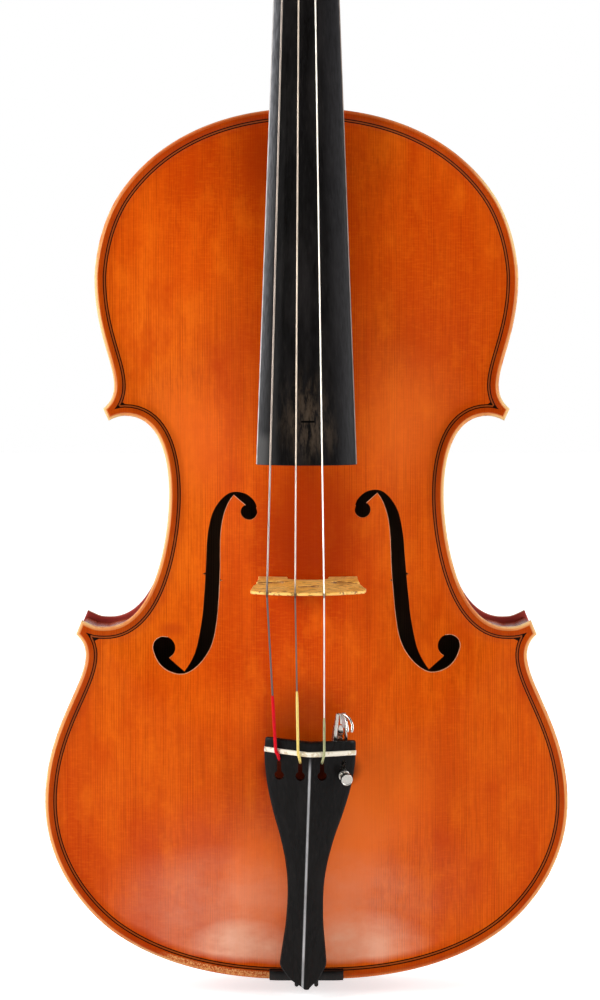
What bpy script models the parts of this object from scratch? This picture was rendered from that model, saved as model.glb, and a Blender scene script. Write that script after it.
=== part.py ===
"""A viola with three of its four strings on, one fine tuner and four pegs, built in metres.

The body stands upright: +Z runs along the neck to the scroll, +X is the treble side, and the
top plate faces -Y. The origin is the middle of the end button's outer face.
"""
import bpy
import bmesh
import math
from mathutils import Matrix, Vector
from mathutils.geometry import delaunay_2d_cdt, intersect_line_line_2d

MM = 0.001
PIECES = "viola"
FIT = 0.3 * MM                      # gap left between pieces that touch

# The body. Heights along the body are measured from its bottom edge.
BUTTON_OUT = 7.0 * MM               # how far the end button stands out of the bottom edge
BODY_LENGTH = 409 * MM
RIB_HEIGHT = 38 * MM
RIB_THICK = 1.2 * MM
OVERHANG = 2.8 * MM                 # plate edge beyond the ribs
LINING = 2.0 * MM
LINING_DEPTH = 8 * MM
EDGE_THICK = 4.0 * MM
CREST = 0.5 * MM                    # the rounded edge stands above the channel's start
CREST_INSET = 1.8 * MM
CHANNEL_INSET = 7.0 * MM
CHANNEL_DROP = 0.6 * MM
EDGE_ROUND = 0.9 * MM
ARCH_RISE = 14.0 * MM
PLATE_THICK = 3.0 * MM
INSIDE_RIM = 7.2 * MM               # flat glueing rim on the plates' inner faces
OUTER_GRID = 11.5 * MM              # spacing of the arching's points
INNER_GRID = 16 * MM

# One half of the outline: x, height, heading in degrees, handle before, handle after.
LOWER_BOUT = [
    (0.0, 0.0, 0.0, 0.0, 10.2),
    (90.5, 22.1, 35.7, 41.6, 9.2),
    (122.7, 83.6, 90.0, 34.8, 42.5),
    (108.05, 162.2, 41.6, 21.0, 0.0),
]
C_BOUT = [
    (105.4, 168.7, 205.5, 0.0, 6.9),
    (94.7, 165.6, 181.0, 4.6, 24.5),
    (64.4, 227.7, 90.0, 17.4, 15.8),
    (85.1, 264.8, 0.0, 17.1, 2.0),
    (92.7, 262.5, -30.0, 3.0, 0.0),
]
UPPER_BOUT = [
    (95.3, 268.1, 139.8, 0.0, 17.8),
    (99.3, 329.3, 90.0, 34.0, 5.0),
    (86.8, 370.0, 125.2, 18.9, 29.2),
    (0.0, 409.0, 180.0, 40.6, 0.0),
]
UNIT = BODY_LENGTH / UPPER_BOUT[-1][1]   # one unit of the drawing above
SPINE = (95 * UNIT, 330 * UNIT)     # the arch's highest line runs between these heights
STEPS = {"lower": (8, 5, 8), "c": (2, 7, 5, 2), "upper": (7, 4, 8)}

# The treble sound hole: its two eyes, and the stem's middle line with half widths.
UPPER_EYE = (26.1, 222.3, 3.5)
LOWER_EYE = (66.3, 157.0, 5.05)
HOLE_STEM = [
    (25.4, 224.0, 2.2), (27.3, 227.2, 2.3), (31.6, 229.3, 1.2), (35.4, 228.1, 1.7),
    (37.7, 225.4, 2.3), (40.4, 218.3, 2.75), (41.9, 210.8, 3.1), (42.9, 195.9, 3.4),
    (43.9, 181.0, 3.5), (45.7, 166.0, 3.45), (47.4, 159.5, 3.25), (50.0, 153.9, 2.6),
    (53.8, 149.0, 1.9), (58.6, 146.9, 1.1), (63.6, 149.0, 1.9), (66.8, 153.4, 3.3),
]
HOLE_NICKS = ((191.2, 1), (188.4, -1))
NICK = 0.9 * MM
NICK_ROOT = 2.4 * MM
NICK_HALF = 3 * MM

# Blocks, bar and post inside the body.
BLOCK_HALF = 27 * MM
BOTTOM_BLOCK = 18 * MM
TOP_BLOCK = 20 * MM
CORNER_LEG_BOUT = 25 * MM
CORNER_LEG_C = 22 * MM
BAR_X = -18.0 * MM
BAR_WIDTH = 5.5 * MM
BAR_ENDS = (62 * UNIT, 348 * UNIT)
BAR_DEPTH = 11 * MM
BAR_TIP = 3 * MM
CARVED_FIT = 0.45 * MM              # gap under carved faces, whose facets dip a little

# The fingerboard: a cambered top that rises towards the bridge.
BOARD_ENDS = (BODY_LENGTH - 165 * MM, BODY_LENGTH + 146 * MM)
BOARD_RISE = 16.3 * MM              # top line above the plate's edge at the body's upper end
BOARD_SLOPE = 0.1343
BOARD_HALF = 17.27 * MM             # half width at the body's upper end
BOARD_TAPER = 0.03535
BOARD_RADIUS = 42 * MM
BOARD_SIDE = 5.5 * MM
BOARD_FLAT = 9 * MM                 # flat planed under the lowest string
BOARD_HOLLOW = 5 * MM
HOLLOW_END = BODY_LENGTH - 9 * MM

# The neck and head. The head's own frame starts at the nut: u upwards, v to the front.
NUT_TOP = BODY_LENGTH + 152 * MM
NUT_LONG = 5.5 * MM
NUT_RISE = 1.0 * MM
NUT_FLAT = 4.4 * MM                 # the nut's top is level this far, then it is rounded off
NUT_ROUND = 0.7 * MM
SLOT_RUN = 8 * MM                   # string slots are cut this far past the bend, both ways
NECK_DEPTH = (22.0 * MM, 20.0 * MM)  # neck with fingerboard, at the heel and at the nut
HEEL_START = BODY_LENGTH + 36 * MM
HEAD_TILT = math.radians(15)
HEAD_SET_BACK = 2.3 * MM            # pegbox front behind the board's top line at the nut
# u, half width, front and back of the solid pegbox
PEGBOX = [
    (-10, 11.4, -7.6, -17.0), (-4, 12.4, -7.2, -19.5), (1.0, 13.0, -6.6, -22.0),
    (2.4, 13.3, -0.4, -22.8), (7, 14.1, 0.0, -24.0), (32, 13.2, 0.0, -24.4),
    (60, 12.0, 0.0, -22.4), (82, 11.0, 0.0, -20.0), (88, 10.8, -2.5, -19.2),
    (93, 10.5, -7.5, -18.8), (98, 10.2, -10.0, -18.4), (104.5, 9.2, -12.0, -17.0),
]
# u, half width, bottom of the trough for the strings
TROUGH = [(7, 9.0, -16.5), (30, 8.6, -18.5), (58, 7.4, -17.5), (81, 6.3, -14.0)]
SCROLL_MIDDLE = (109.0, 1.0)
SCROLL_START = math.radians(200)
SCROLL_RADIUS = 21.0
SCROLL_SHRINK = 0.0915
SCROLL_TURNS = 2.5
SCROLL_STEPS = 24                   # per turn
SCROLL_WIDTHS = [9.8, 8.8, 11.5, 14.5, 17.5, 20.5]   # half widths, every half turn
SCROLL_GROOVE = 1.5
FLUTE = 1.3
PEG_V = -8.5
PEGS = {"a": (18, 1), "c": (33, -1), "d": (57, 1), "g": (72, -1)}
PEG_RADIUS = 4.2 * MM
PEG_TAPER = 1 / 30
PEG_COLLAR = 6.2
PEG_OVERHANG = 3.0                  # shaft beyond the far cheek
THUMB = (11.5, 3.4, 10.5)           # half width, half thickness and half length of the grip
# Windings: x where the string meets its peg, and turns round it, outwards to the cheek.
WINDINGS = {"c": (-3.4, 2.6), "g": (-2.6, 2.2), "d": (2.8, 2.2)}
TURN_POINTS = 24
TURN_GAP = 0.45 * MM

# The bridge. Heights are in front of the top plate's edge plane, like all heights here.
BRIDGE_X = 0.7 * MM
BRIDGE_BACK = 189.8 * UNIT - 4.6 * MM   # its upright face, below the sound holes' notches
BRIDGE_FOOT_THICK = 4.8 * MM
BRIDGE_CROWN_THICK = 1.8 * MM
CROWN_HEIGHT = 52.5
CROWN_RADIUS = 42.0
CROWN_ENDS = ((26.3, 36.5), (-26.3, 41.0))
STRING_LINE = BRIDGE_BACK + 1 * MM  # where the strings bend over the crown
POST = (20 * MM, BRIDGE_BACK - 4.2 * MM, 3.2 * MM)

# Tailpiece stations: height, half width, sideways step off its own middle line.
TAILPIECE = [
    (117.0, 20.8, 0), (108.4, 21.0, 0), (102.7, 20.5, 0), (97.0, 19.7, 0), (91.3, 18.5, 0),
    (85.5, 17.0, 0), (79.8, 15.3, 0), (74.0, 13.4, 0), (68.3, 11.8, 0), (60.0, 9.9, 0),
    (50.9, 8.65, 0), (42.0, 8.3, 0), (30.5, 8.7, 0), (22.0, 9.6, 0), (13.0, 10.6, 0),
    (9.0, 10.8, 0), (6.0, 9.3, 0.2), (1.7, 6.3, 0.9), (-0.8, 2.9, 1.5), (-2.6, 0.9, 2.0),
]
TAIL_HEIGHT = 10.0                  # middle ridge at the lower tip
TAIL_SLOPE = 0.217
TAIL_CAMBER = 0.36
TAIL_EDGE = 3.2
TAIL_HOLLOW = 0.7                   # share of the camber that the underside follows
TAIL_SWING = 0.0318                 # the tailpiece leans to the treble side
TAIL_X = -1.65
FRET_Z = 111.3
FRET_LONG = 2.3
FRET_RISE = 1.5
# name, x on the bridge, x on the nut, x at the tailpiece's keyhole, string and silk radius
STRINGS = {
    "c": (-18.0, -8.9, -12.6, 0.60, 0.72),
    "g": (-5.2, -3.1, -2.9, 0.475, 0.62),
    "d": (7.9, 2.7, 7.1, 0.425, 0.56),
    "a": (21.0, 8.5, 17.1, 0.35, 0.50),
}
KEYHOLE_Z = 100.8
KEYHOLE = 2.15
SLOT_HALF = 1.05
SLOT_END = 108.8
SILK_ENDS = {"c": 138.8, "g": 141.3, "d": 128.7}
# The silk dives behind the fret into its slot: distance below the fret, lift off the face.
SILK_DIVE = ((1.9, 1.8), (3.4, 0.6), (4.8, -1.4), (6.1, -3.2), (6.5, -5.0))
BALL_BELOW = 6.6
BALL_DEPTH = 7.4
BALL = 1.9
TUNER_LEAN = math.radians(13)       # the fine tuner leans to the treble side
TUNER_PIN = (12.0, -9.2)            # pivot, up from the screw and in front of the tailpiece
PIN_RADIUS = 0.8
TUNER_SCREW = 1.0
TUNER_TIP = -10.2
TUNER_HEAD = (2.8, 8.0, 10.2)       # radius, bottom and top of the knurled head
TUNER_COLLAR = 2.8
SADDLE_RISE = 3.2
SADDLE_ROUND = 0.9 * MM
GUT = 1.0
GUT_SPREAD = 4.6
GUT_FRONT = -1.45                   # the gut's middle where it runs down the bottom edge
COLLAR = 6.0 * MM

# Neck root and end button as the body meets them.
ROOT_HALF = 16.5 * MM
ROOT_FOOT = 10.2 * MM               # half width where the heel meets the back plate's button
ROOT_TAPER_START = 4 * MM           # the root starts to narrow this far before the plate
ROOT_BOTTOM = BODY_LENGTH - 9 * MM
BACK_BUTTON = 10.5 * MM
BACK_BUTTON_OUT = 14 * MM
SHANK = 3.4 * MM
SADDLE_HALF = 17.35 * MM
SADDLE_LONG = 4.7 * MM


def lay(name):
    return bpy.data.collections[name]


def height(body_height):
    """World Z of a height measured from the body's bottom edge."""
    return body_height + BUTTON_OUT


def front(above):
    """World Y of a point so far in front of the top plate's edge."""
    return -(RIB_HEIGHT / 2 + EDGE_THICK + above)


def head_y():
    """World Y of the pegbox's front face at the nut."""
    return front(board_top(NUT_TOP)) + HEAD_SET_BACK


def clear_scene():
    for obj in list(bpy.data.objects):
        bpy.data.objects.remove(obj, do_unlink=True)
    for name in (PIECES, "cutters"):
        if name not in bpy.data.collections:
            bpy.context.scene.collection.children.link(bpy.data.collections.new(name))


def material(name, colour, roughness, metallic=0.0):
    mat = bpy.data.materials.get(name) or bpy.data.materials.new(name)
    mat.use_nodes = True
    shader = mat.node_tree.nodes["Principled BSDF"]
    shader.inputs["Base Color"].default_value = (*colour, 1.0)
    shader.inputs["Roughness"].default_value = roughness
    shader.inputs["Metallic"].default_value = metallic
    mat.diffuse_color = (*colour, 1.0)
    return mat


def add_object(name, data, mat, collection=PIECES):
    obj = bpy.data.objects.new(name, data)
    lay(collection).objects.link(obj)
    if mat is not None:
        data.materials.append(mat)
    return obj


def add_mesh(name, points, faces, mat, collection=PIECES):
    data = bpy.data.meshes.new(name)
    data.from_pydata([tuple(p) for p in points], [], faces)
    mesh = bmesh.new()
    mesh.from_mesh(data)
    bmesh.ops.remove_doubles(mesh, verts=mesh.verts, dist=0.01 * MM)
    bmesh.ops.recalc_face_normals(mesh, faces=mesh.faces)
    mesh.to_mesh(data)
    mesh.free()
    return add_object(name, data, mat, collection)


def smooth(obj, angle=35):
    """Shade a rounded piece smooth, with its sharp edges kept."""
    if isinstance(obj.data, bpy.types.Mesh):
        obj.data.shade_smooth()
        obj.data.set_sharp_from_angle(angle=math.radians(angle))
    return obj


def as_mesh(obj):
    """Turn a curve or a piece with modifiers into a plain welded mesh."""
    bpy.context.view_layer.update()
    evaluated = obj.evaluated_get(bpy.context.evaluated_depsgraph_get())
    data = bpy.data.meshes.new_from_object(evaluated)
    data.transform(obj.matrix_world)
    mesh = bmesh.new()
    mesh.from_mesh(data)
    bmesh.ops.remove_doubles(mesh, verts=mesh.verts, dist=0.005 * MM)
    bmesh.ops.recalc_face_normals(mesh, faces=mesh.faces)
    mesh.to_mesh(data)
    mesh.free()
    name = obj.name
    mats = [slot.material for slot in obj.material_slots]
    home = obj.users_collection[0]
    bpy.data.objects.remove(obj, do_unlink=True)
    data.name = name
    fresh = bpy.data.objects.new(name, data)
    home.objects.link(fresh)
    if not data.materials:
        for mat in mats:
            data.materials.append(mat)
    return fresh


def hide_cutter(obj):
    obj.hide_render = True
    obj.display_type = "WIRE"
    return obj


def combine(obj, other, how):
    """Cut with, or join on, another solid that stays in the cutters' collection."""
    hide_cutter(other)
    step = obj.modifiers.new(how.lower() + " " + other.name, "BOOLEAN")
    step.operation = how
    step.solver = "EXACT"
    step.object = other
    return obj


def cut(obj, cutter):
    return combine(obj, cutter, "DIFFERENCE")


def join(obj, other):
    return combine(obj, other, "UNION")


def block(name, low, high, mat=None, collection="cutters"):
    """A box between two corners."""
    mesh = bmesh.new()
    bmesh.ops.create_cube(mesh, size=1.0)
    size = [b - a for a, b in zip(low, high)]
    middle = [(a + b) / 2 for a, b in zip(low, high)]
    bmesh.ops.scale(mesh, vec=size, verts=mesh.verts)
    data = bpy.data.meshes.new(name)
    mesh.to_mesh(data)
    mesh.free()
    obj = add_object(name, data, mat, collection)
    obj.location = middle
    return obj


def rod(name, start, end, radius, mat=None, collection="cutters", sides=24, end_radius=None):
    """A round or tapered bar between two points."""
    start = Vector(start)
    end = Vector(end)
    along = end - start
    mesh = bmesh.new()
    bmesh.ops.create_cone(mesh, cap_ends=True, segments=sides, radius1=radius,
                          radius2=radius if end_radius is None else end_radius,
                          depth=along.length)
    data = bpy.data.meshes.new(name)
    mesh.to_mesh(data)
    mesh.free()
    obj = add_object(name, data, mat, collection)
    obj.rotation_mode = "QUATERNION"
    obj.rotation_quaternion = along.to_track_quat("Z", "Y")
    obj.location = (start + end) / 2
    return obj


def slab(name, outlines, near, far, mat=None, collection=PIECES, solid=False):
    """A flat piece seen from the front: outlines in x and world z, from one y to another."""
    curve = bpy.data.curves.new(name, "CURVE")
    curve.dimensions = "2D"
    curve.fill_mode = "BOTH"
    curve.extrude = abs(far - near) / 2
    for outline in outlines:
        spline = curve.splines.new("POLY")
        spline.points.add(len(outline) - 1)
        for point, (x, z) in zip(spline.points, outline):
            point.co = (x, z, 0.0, 1.0)
        spline.use_cyclic_u = True
    obj = add_object(name, curve, mat, collection)
    obj.location = (0, (near + far) / 2, 0)
    obj.rotation_euler = (math.radians(90), 0, 0)
    return as_mesh(obj) if solid else obj


def wire(name, points, radius, mat, sides=2, collection=PIECES):
    """A round wire through points, with closed ends."""
    curve = bpy.data.curves.new(name, "CURVE")
    curve.dimensions = "3D"
    curve.bevel_depth = radius
    curve.bevel_resolution = sides
    curve.use_fill_caps = True
    spline = curve.splines.new("POLY")
    spline.points.add(len(points) - 1)
    for point, place in zip(spline.points, points):
        point.co = (*place, 1.0)
    return add_object(name, curve, mat, collection)


def loft(name, sections, mat, collection=PIECES):
    """A closed skin over rings of equal length, with flat ends."""
    count = len(sections[0])
    points = [p for section in sections for p in section]
    faces = []
    for k in range(len(sections) - 1):
        for i in range(count):
            j = (i + 1) % count
            faces.append((k * count + i, k * count + j, (k + 1) * count + j, (k + 1) * count + i))
    last = (len(sections) - 1) * count
    faces.append(tuple(range(count)))
    faces.append(tuple(last + i for i in reversed(range(count))))
    return add_mesh(name, points, faces, mat, collection)


def bezier(a, b, count):
    """Points and headings between two outline stations, without the last one."""
    def control(station, reach):
        turn = math.radians(station[2])
        return Vector((station[0] + reach * math.cos(turn), station[1] + reach * math.sin(turn)))
    p0 = Vector(a[:2])
    p1 = control(a, a[4])
    p2 = control(b, -b[3])
    p3 = Vector(b[:2])
    found = []
    for k in range(count + 1):
        t = k / count
        s = 1 - t
        place = s ** 3 * p0 + 3 * s * s * t * p1 + 3 * s * t * t * p2 + t ** 3 * p3
        pull = s * s * (p1 - p0) + 2 * s * t * (p2 - p1) + t * t * (p3 - p2)
        found.append((place * UNIT, pull.normalized()))
    return found


def stretch(stations, steps, inset=0.0, reach=2 * MM):
    """One bout of the outline moved inwards, run on a little at its corner ends."""
    path = []
    for a, b, count in zip(stations, stations[1:], steps):
        path += bezier(a, b, count)[0 if not path else 1:]
    moved = [p + Vector((-h.y, h.x)) * inset for p, h in path]
    if stations[0][0] > 0:
        moved.insert(0, moved[0] - path[0][1] * reach)
    if stations[-1][0] > 0:
        moved.append(moved[-1] + path[-1][1] * reach)
    return moved


def crossing(a, b):
    """Where two polylines cross, as (segment of a, segment of b, point)."""
    for i in reversed(range(len(a) - 1)):
        for j in range(len(b) - 1):
            hit = intersect_line_line_2d(a[i], a[i + 1], b[j], b[j + 1])
            if hit is not None:
                return i, j, hit
    return None


def corner_line(low, high, inset):
    """The short straight end of a corner, moved inwards."""
    a = Vector(low[:2]) * UNIT
    b = Vector(high[:2]) * UNIT
    along = (b - a).normalized()
    push = Vector((-along.y, along.x)) * inset
    return [a + push - along * 3 * MM, b + push + along * 3 * MM]


def meet(a, end_line, b):
    """Join two bouts round a corner, with or without the corner's straight end."""
    first = crossing(a, end_line)
    second = crossing(end_line, b)
    if first and second:
        along = end_line[1] - end_line[0]
        if (first[2] - end_line[0]).dot(along) < (second[2] - end_line[0]).dot(along):
            return a[:first[0] + 1] + [first[2]], [second[2]] + b[second[1] + 1:]
    i, j, hit = crossing(a, b)
    return a[:i + 1] + [hit], b[j + 1:]


def half_ring(inset):
    """The treble half of the outline, moved inwards, from bottom to top centre."""
    low = stretch(LOWER_BOUT, STEPS["lower"], inset)
    waist = stretch(C_BOUT, STEPS["c"], inset)
    top = stretch(UPPER_BOUT, STEPS["upper"], inset)
    low, waist = meet(low, corner_line(LOWER_BOUT[-1], C_BOUT[0], inset), waist)
    waist, top = meet(waist, corner_line(C_BOUT[-1], UPPER_BOUT[0], inset), top)
    low[0].x = 0.0
    top[-1].x = 0.0
    found = []
    for place in low + waist + top:
        if not found or (place - found[-1]).length > 0.2 * MM:
            found.append(place)
    return found


def ring(inset):
    """The whole outline moved inwards, anticlockwise seen from the front."""
    half = half_ring(inset)
    return half + [Vector((-p.x, p.y)) for p in reversed(half[1:-1])]


def edge_distance(place, outline):
    nearest = 1.0
    for a, b in zip(outline, outline[1:] + outline[:1]):
        side = b - a
        t = max(0.0, min(1.0, (place - a).dot(side) / side.length_squared))
        nearest = min(nearest, (place - a - side * t).length)
    return nearest


def inside(place, outline):
    odd = False
    for a, b in zip(outline, outline[1:] + outline[:1]):
        if (a.y > place.y) != (b.y > place.y):
            if place.x < a.x + (place.y - a.y) / (b.y - a.y) * (b.x - a.x):
                odd = not odd
    return odd


OUTLINE = ring(0.0)


def outer_height(place):
    """How far a plate's outer face stands in front of its edge plane."""
    edge = edge_distance(place, OUTLINE)
    if edge < EDGE_ROUND:
        return -EDGE_ROUND + math.sqrt(EDGE_ROUND ** 2 - (EDGE_ROUND - edge) ** 2)
    if edge < CREST_INSET:
        return CREST * (edge - EDGE_ROUND) / (CREST_INSET - EDGE_ROUND)
    channel = CREST - CHANNEL_DROP - 0.5 * MM
    if edge < CHANNEL_INSET:
        fall = (edge - CREST_INSET) / (CHANNEL_INSET - CREST_INSET)
        return CREST + (channel - CREST) * (1 - math.cos(math.pi * fall)) / 2
    top = Vector((0, max(SPINE[0], min(SPINE[1], place.y))))
    inner = edge - CHANNEL_INSET
    share = inner / (inner + (place - top).length)
    swell = (1 - math.cos(math.pi * share ** 0.8)) / 2
    return channel + (ARCH_RISE - channel) * swell


def inner_height(place):
    """The hollowed inner face, measured from the same edge plane."""
    edge = edge_distance(place, OUTLINE)
    rim = -EDGE_THICK
    if edge < EDGE_ROUND:
        return rim + EDGE_ROUND - math.sqrt(EDGE_ROUND ** 2 - (EDGE_ROUND - edge) ** 2)
    if edge < INSIDE_RIM:
        return rim
    over_block = min(place.y - 24 * MM, BODY_LENGTH - 26 * MM - place.y)
    if over_block < 0:
        return rim
    ease = min(1.0, over_block / (8 * MM), (edge - INSIDE_RIM) / (4 * MM))
    return rim + max(0.0, outer_height(place) - PLATE_THICK - rim) * ease


def surface(rings, step, height_of):
    """Fill the outermost ring with triangles that pass through every ring."""
    points = []
    edges = []
    for loop in rings:
        start = len(points)
        points += loop
        edges += [(start + i, start + (i + 1) % len(loop)) for i in range(len(loop))]
    inner = rings[-1]
    columns = int(max(p.x for p in inner) / step)
    rows = int(BODY_LENGTH / step)
    for column in range(-columns, columns + 1):
        for row in range(1, rows):
            shift = 0.5 * step if column % 2 else 0.0
            place = Vector((column * step, row * step + shift))
            if inside(place, inner) and edge_distance(place, inner) > 0.45 * step:
                points.append(place)
    found, _, faces, _, _, _ = delaunay_2d_cdt(points, edges, [], 1, 1e-7)
    placed = [(p.x, p.y, height_of(p)) for p in found]
    return placed, [tuple(f) for f in faces]


def plate(name, mat, side):
    """A carved plate: arched outside, hollowed inside; side is -1 in front, 1 behind."""
    round_start = ring(EDGE_ROUND)
    outer, outer_faces = surface([OUTLINE, round_start, ring(CREST_INSET), ring(CHANNEL_INSET)],
                                 OUTER_GRID, outer_height)
    inner, inner_faces = surface([OUTLINE, round_start, ring(INSIDE_RIM)], INNER_GRID,
                                 inner_height)
    points = outer + inner
    shift = len(outer)
    faces = list(outer_faces) + [tuple(shift + i for i in reversed(f)) for f in inner_faces]
    count = len(OUTLINE)
    for i in range(count):
        j = (i + 1) % count
        faces.append((j, i, shift + i, shift + j))
    placed = [(x, -side * front(above), height(z)) for x, z, above in points]
    return smooth(add_mesh(name, placed, faces, mat), 50)


def hole_outline(side):
    """The stem of one sound hole: its middle line widened to both sides."""
    middle = [Vector(p[:2]) * UNIT for p in HOLE_STEM]
    left = []
    right = []
    for i, place in enumerate(middle):
        along = middle[min(i + 1, len(middle) - 1)] - middle[max(i - 1, 0)]
        across = Vector((along.y, -along.x)).normalized() * HOLE_STEM[i][2] * MM
        left.append(place - across)
        right.append(place + across)
    outline = left + list(reversed(right))
    return [(side * p.x, height(p.y)) for p in outline]


def nick_outline(level, way, side):
    """A small pointed notch half way down a sound hole's edge."""
    stem = [p for p in HOLE_STEM if p[1] > 175 and p[1] < 200]
    low, high = stem[-1], stem[0]
    share = (level - low[1]) / (high[1] - low[1])
    middle = (low[0] + (high[0] - low[0]) * share) * UNIT
    edge = middle - way * NICK_ROOT
    tip = middle + way * (low[2] * MM + NICK)
    points = [(edge, height(level * UNIT - NICK_HALF)), (tip, height(level * UNIT)),
              (edge, height(level * UNIT + NICK_HALF))]
    return [(side * x, z) for x, z in points]


def cut_sound_hole(obj, side, name):
    through = (front(ARCH_RISE + 10 * MM), front(-EDGE_THICK - 6 * MM))
    cut(obj, slab(name + "_stem", [hole_outline(side)], *through, collection="cutters",
                  solid=True))
    for level, way in HOLE_NICKS:
        cut(obj, slab(name + "_nick_%d" % way, [nick_outline(level, way, side)], *through,
                      collection="cutters", solid=True))
    for eye, (x, z, radius) in (("upper", UPPER_EYE), ("lower", LOWER_EYE)):
        x, z = side * x * UNIT, height(z * UNIT)
        cut(obj, rod(name + "_eye_" + eye, (x, through[0], z), (x, through[1], z),
                     radius * MM, sides=20))


def along_path(path, start, end):
    """The piece of a polyline between two distances from its first point."""
    found = []
    gone = 0.0
    for a, b in zip(path, path[1:]):
        span = (b - a).length
        if span > 0 and gone + span > start and gone < end:
            for mark in (start, end):
                if mark == start and gone <= mark < gone + span:
                    found.append(a + (b - a) * (mark - gone) / span)
            if gone + span < end:
                found.append(b)
            else:
                found.append(a + (b - a) * (end - gone) / span)
        gone += span
    return found


def length_of(path):
    return sum((b - a).length for a, b in zip(path, path[1:]))


def reach_at_x(path, x):
    """Distance along a polyline to where it first passes x."""
    gone = 0.0
    for a, b in zip(path, path[1:]):
        if (a.x - x) * (b.x - x) <= 0 and a.x != b.x:
            return gone + (b - a).length * abs((x - a.x) / (b.x - a.x))
        gone += (b - a).length
    return gone


def mirrored(points, side):
    return [(side * p.x, height(p.y)) for p in points]


def trimmed(path, end_line, other, at_end):
    """A bout trimmed at a corner by the corner's end and the neighbouring bout."""
    if at_end:
        return meet(path, end_line, other)[0]
    return meet(other, end_line, path)[1]


OUT = OVERHANG
IN = OVERHANG + RIB_THICK
BEHIND = IN + FIT
LINED = BEHIND + LINING


def make_ribs(mat, socket):
    low_line = corner_line(LOWER_BOUT[-1], C_BOUT[0], OUT)
    high_line = corner_line(C_BOUT[-1], UPPER_BOUT[0], OUT)
    waist_out = stretch(C_BOUT, STEPS["c"], OUT)
    waist_in = stretch(C_BOUT, STEPS["c"], IN)
    low_back = stretch(LOWER_BOUT, STEPS["lower"], BEHIND)
    top_back = stretch(UPPER_BOUT, STEPS["upper"], BEHIND)
    outlines = {}
    outer = trimmed(stretch(LOWER_BOUT, STEPS["lower"], OUT), low_line, waist_out, True)
    inner = trimmed(stretch(LOWER_BOUT, STEPS["lower"], IN), low_line, waist_out, True)
    outer = along_path(outer, FIT / 2, length_of(outer))
    inner = along_path(inner, FIT / 2, length_of(inner))
    outlines["lower"] = outer + inner[::-1]
    outer = trimmed(stretch(UPPER_BOUT, STEPS["upper"], OUT), high_line, waist_out, False)
    inner = trimmed(stretch(UPPER_BOUT, STEPS["upper"], IN), high_line, waist_out, False)
    outer = along_path(outer, 0, reach_at_x(outer, ROOT_FOOT))
    inner = along_path(inner, 0, reach_at_x(inner, ROOT_FOOT))
    outlines["upper"] = outer + inner[::-1]
    sides = []
    for path in (waist_out, waist_in):
        i, j, hit = crossing(low_back, path)
        path = [hit] + path[j + 1:]
        i, j, hit = crossing(path, top_back)
        sides.append(path[:i + 1] + [hit])
    outlines["middle"] = sides[0] + sides[1][::-1]
    half = RIB_HEIGHT / 2 - FIT
    for place in ("lower", "middle", "upper"):
        for hand, side in (("treble", 1), ("bass", -1)):
            name = "rib_%s_%s" % (place, hand)
            obj = slab(name, [mirrored(outlines[place], side)], -half, half, mat, solid=True)
            if place == "lower":
                cut(obj, rod(name + "_shank_hole", (0, 0, 0), (0, 0, height(12 * MM)),
                             SHANK + FIT))
            if place == "upper":
                cut(obj, socket)
            smooth(obj)


def make_blocks_and_linings(block_mat, lining_mat):
    low = stretch(LOWER_BOUT, STEPS["lower"], BEHIND)
    waist = stretch(C_BOUT, STEPS["c"], BEHIND)
    top = stretch(UPPER_BOUT, STEPS["upper"], BEHIND)
    low_i, waist_j, low_tip = crossing(low, waist)
    waist_i, top_j, top_tip = crossing(waist, top)
    low = low[:low_i + 1] + [low_tip]
    top = [top_tip] + top[top_j + 1:]
    waist = [low_tip] + waist[waist_j + 1:waist_i + 1] + [top_tip]
    spans = [length_of(path) for path in (low, waist, top)]
    legs = {
        "lower": along_path(low, spans[0] - CORNER_LEG_BOUT, spans[0])
        + along_path(waist, 0, CORNER_LEG_C)[1:],
        "upper": along_path(waist, spans[1] - CORNER_LEG_C, spans[1])
        + along_path(top, 0, CORNER_LEG_BOUT)[1:],
    }
    half = RIB_HEIGHT / 2 - FIT
    for place, outline in legs.items():
        for hand, side in (("treble", 1), ("bass", -1)):
            smooth(slab("corner_block_%s_%s" % (place, hand), [mirrored(outline, side)],
                        -half, half, block_mat, solid=True))
    inner = {
        "lower": stretch(LOWER_BOUT, STEPS["lower"], LINED),
        "middle": stretch(C_BOUT, STEPS["c"], LINED),
        "upper": stretch(UPPER_BOUT, STEPS["upper"], LINED),
    }
    edge = BLOCK_HALF + FIT
    runs = {
        "lower": (low, reach_at_x(low, edge), spans[0] - CORNER_LEG_BOUT - FIT),
        "middle": (waist, CORNER_LEG_C + FIT, spans[1] - CORNER_LEG_C - FIT),
        "upper": (top, CORNER_LEG_BOUT + FIT, reach_at_x(top, edge)),
    }
    for place, (path, start, end) in runs.items():
        outer = along_path(path, start, end)
        thin = [nearest_on(inner[place], p) for p in outer]
        outline = outer + thin[::-1]
        for face, low_y, high_y in (("top", -half, -half + LINING_DEPTH),
                                    ("back", half - LINING_DEPTH, half)):
            for hand, side in (("treble", 1), ("bass", -1)):
                smooth(slab("lining_%s_%s_%s" % (face, place, hand), [mirrored(outline, side)],
                            low_y, high_y, lining_mat, solid=True))


def nearest_on(path, place):
    """The nearest point of a polyline."""
    best = path[0]
    for a, b in zip(path, path[1:]):
        side = b - a
        if side.length_squared == 0:
            continue
        t = max(0.0, min(1.0, (place - a).dot(side) / side.length_squared))
        found = a + side * t
        if (found - place).length < (best - place).length:
            best = found
    return best


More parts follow.
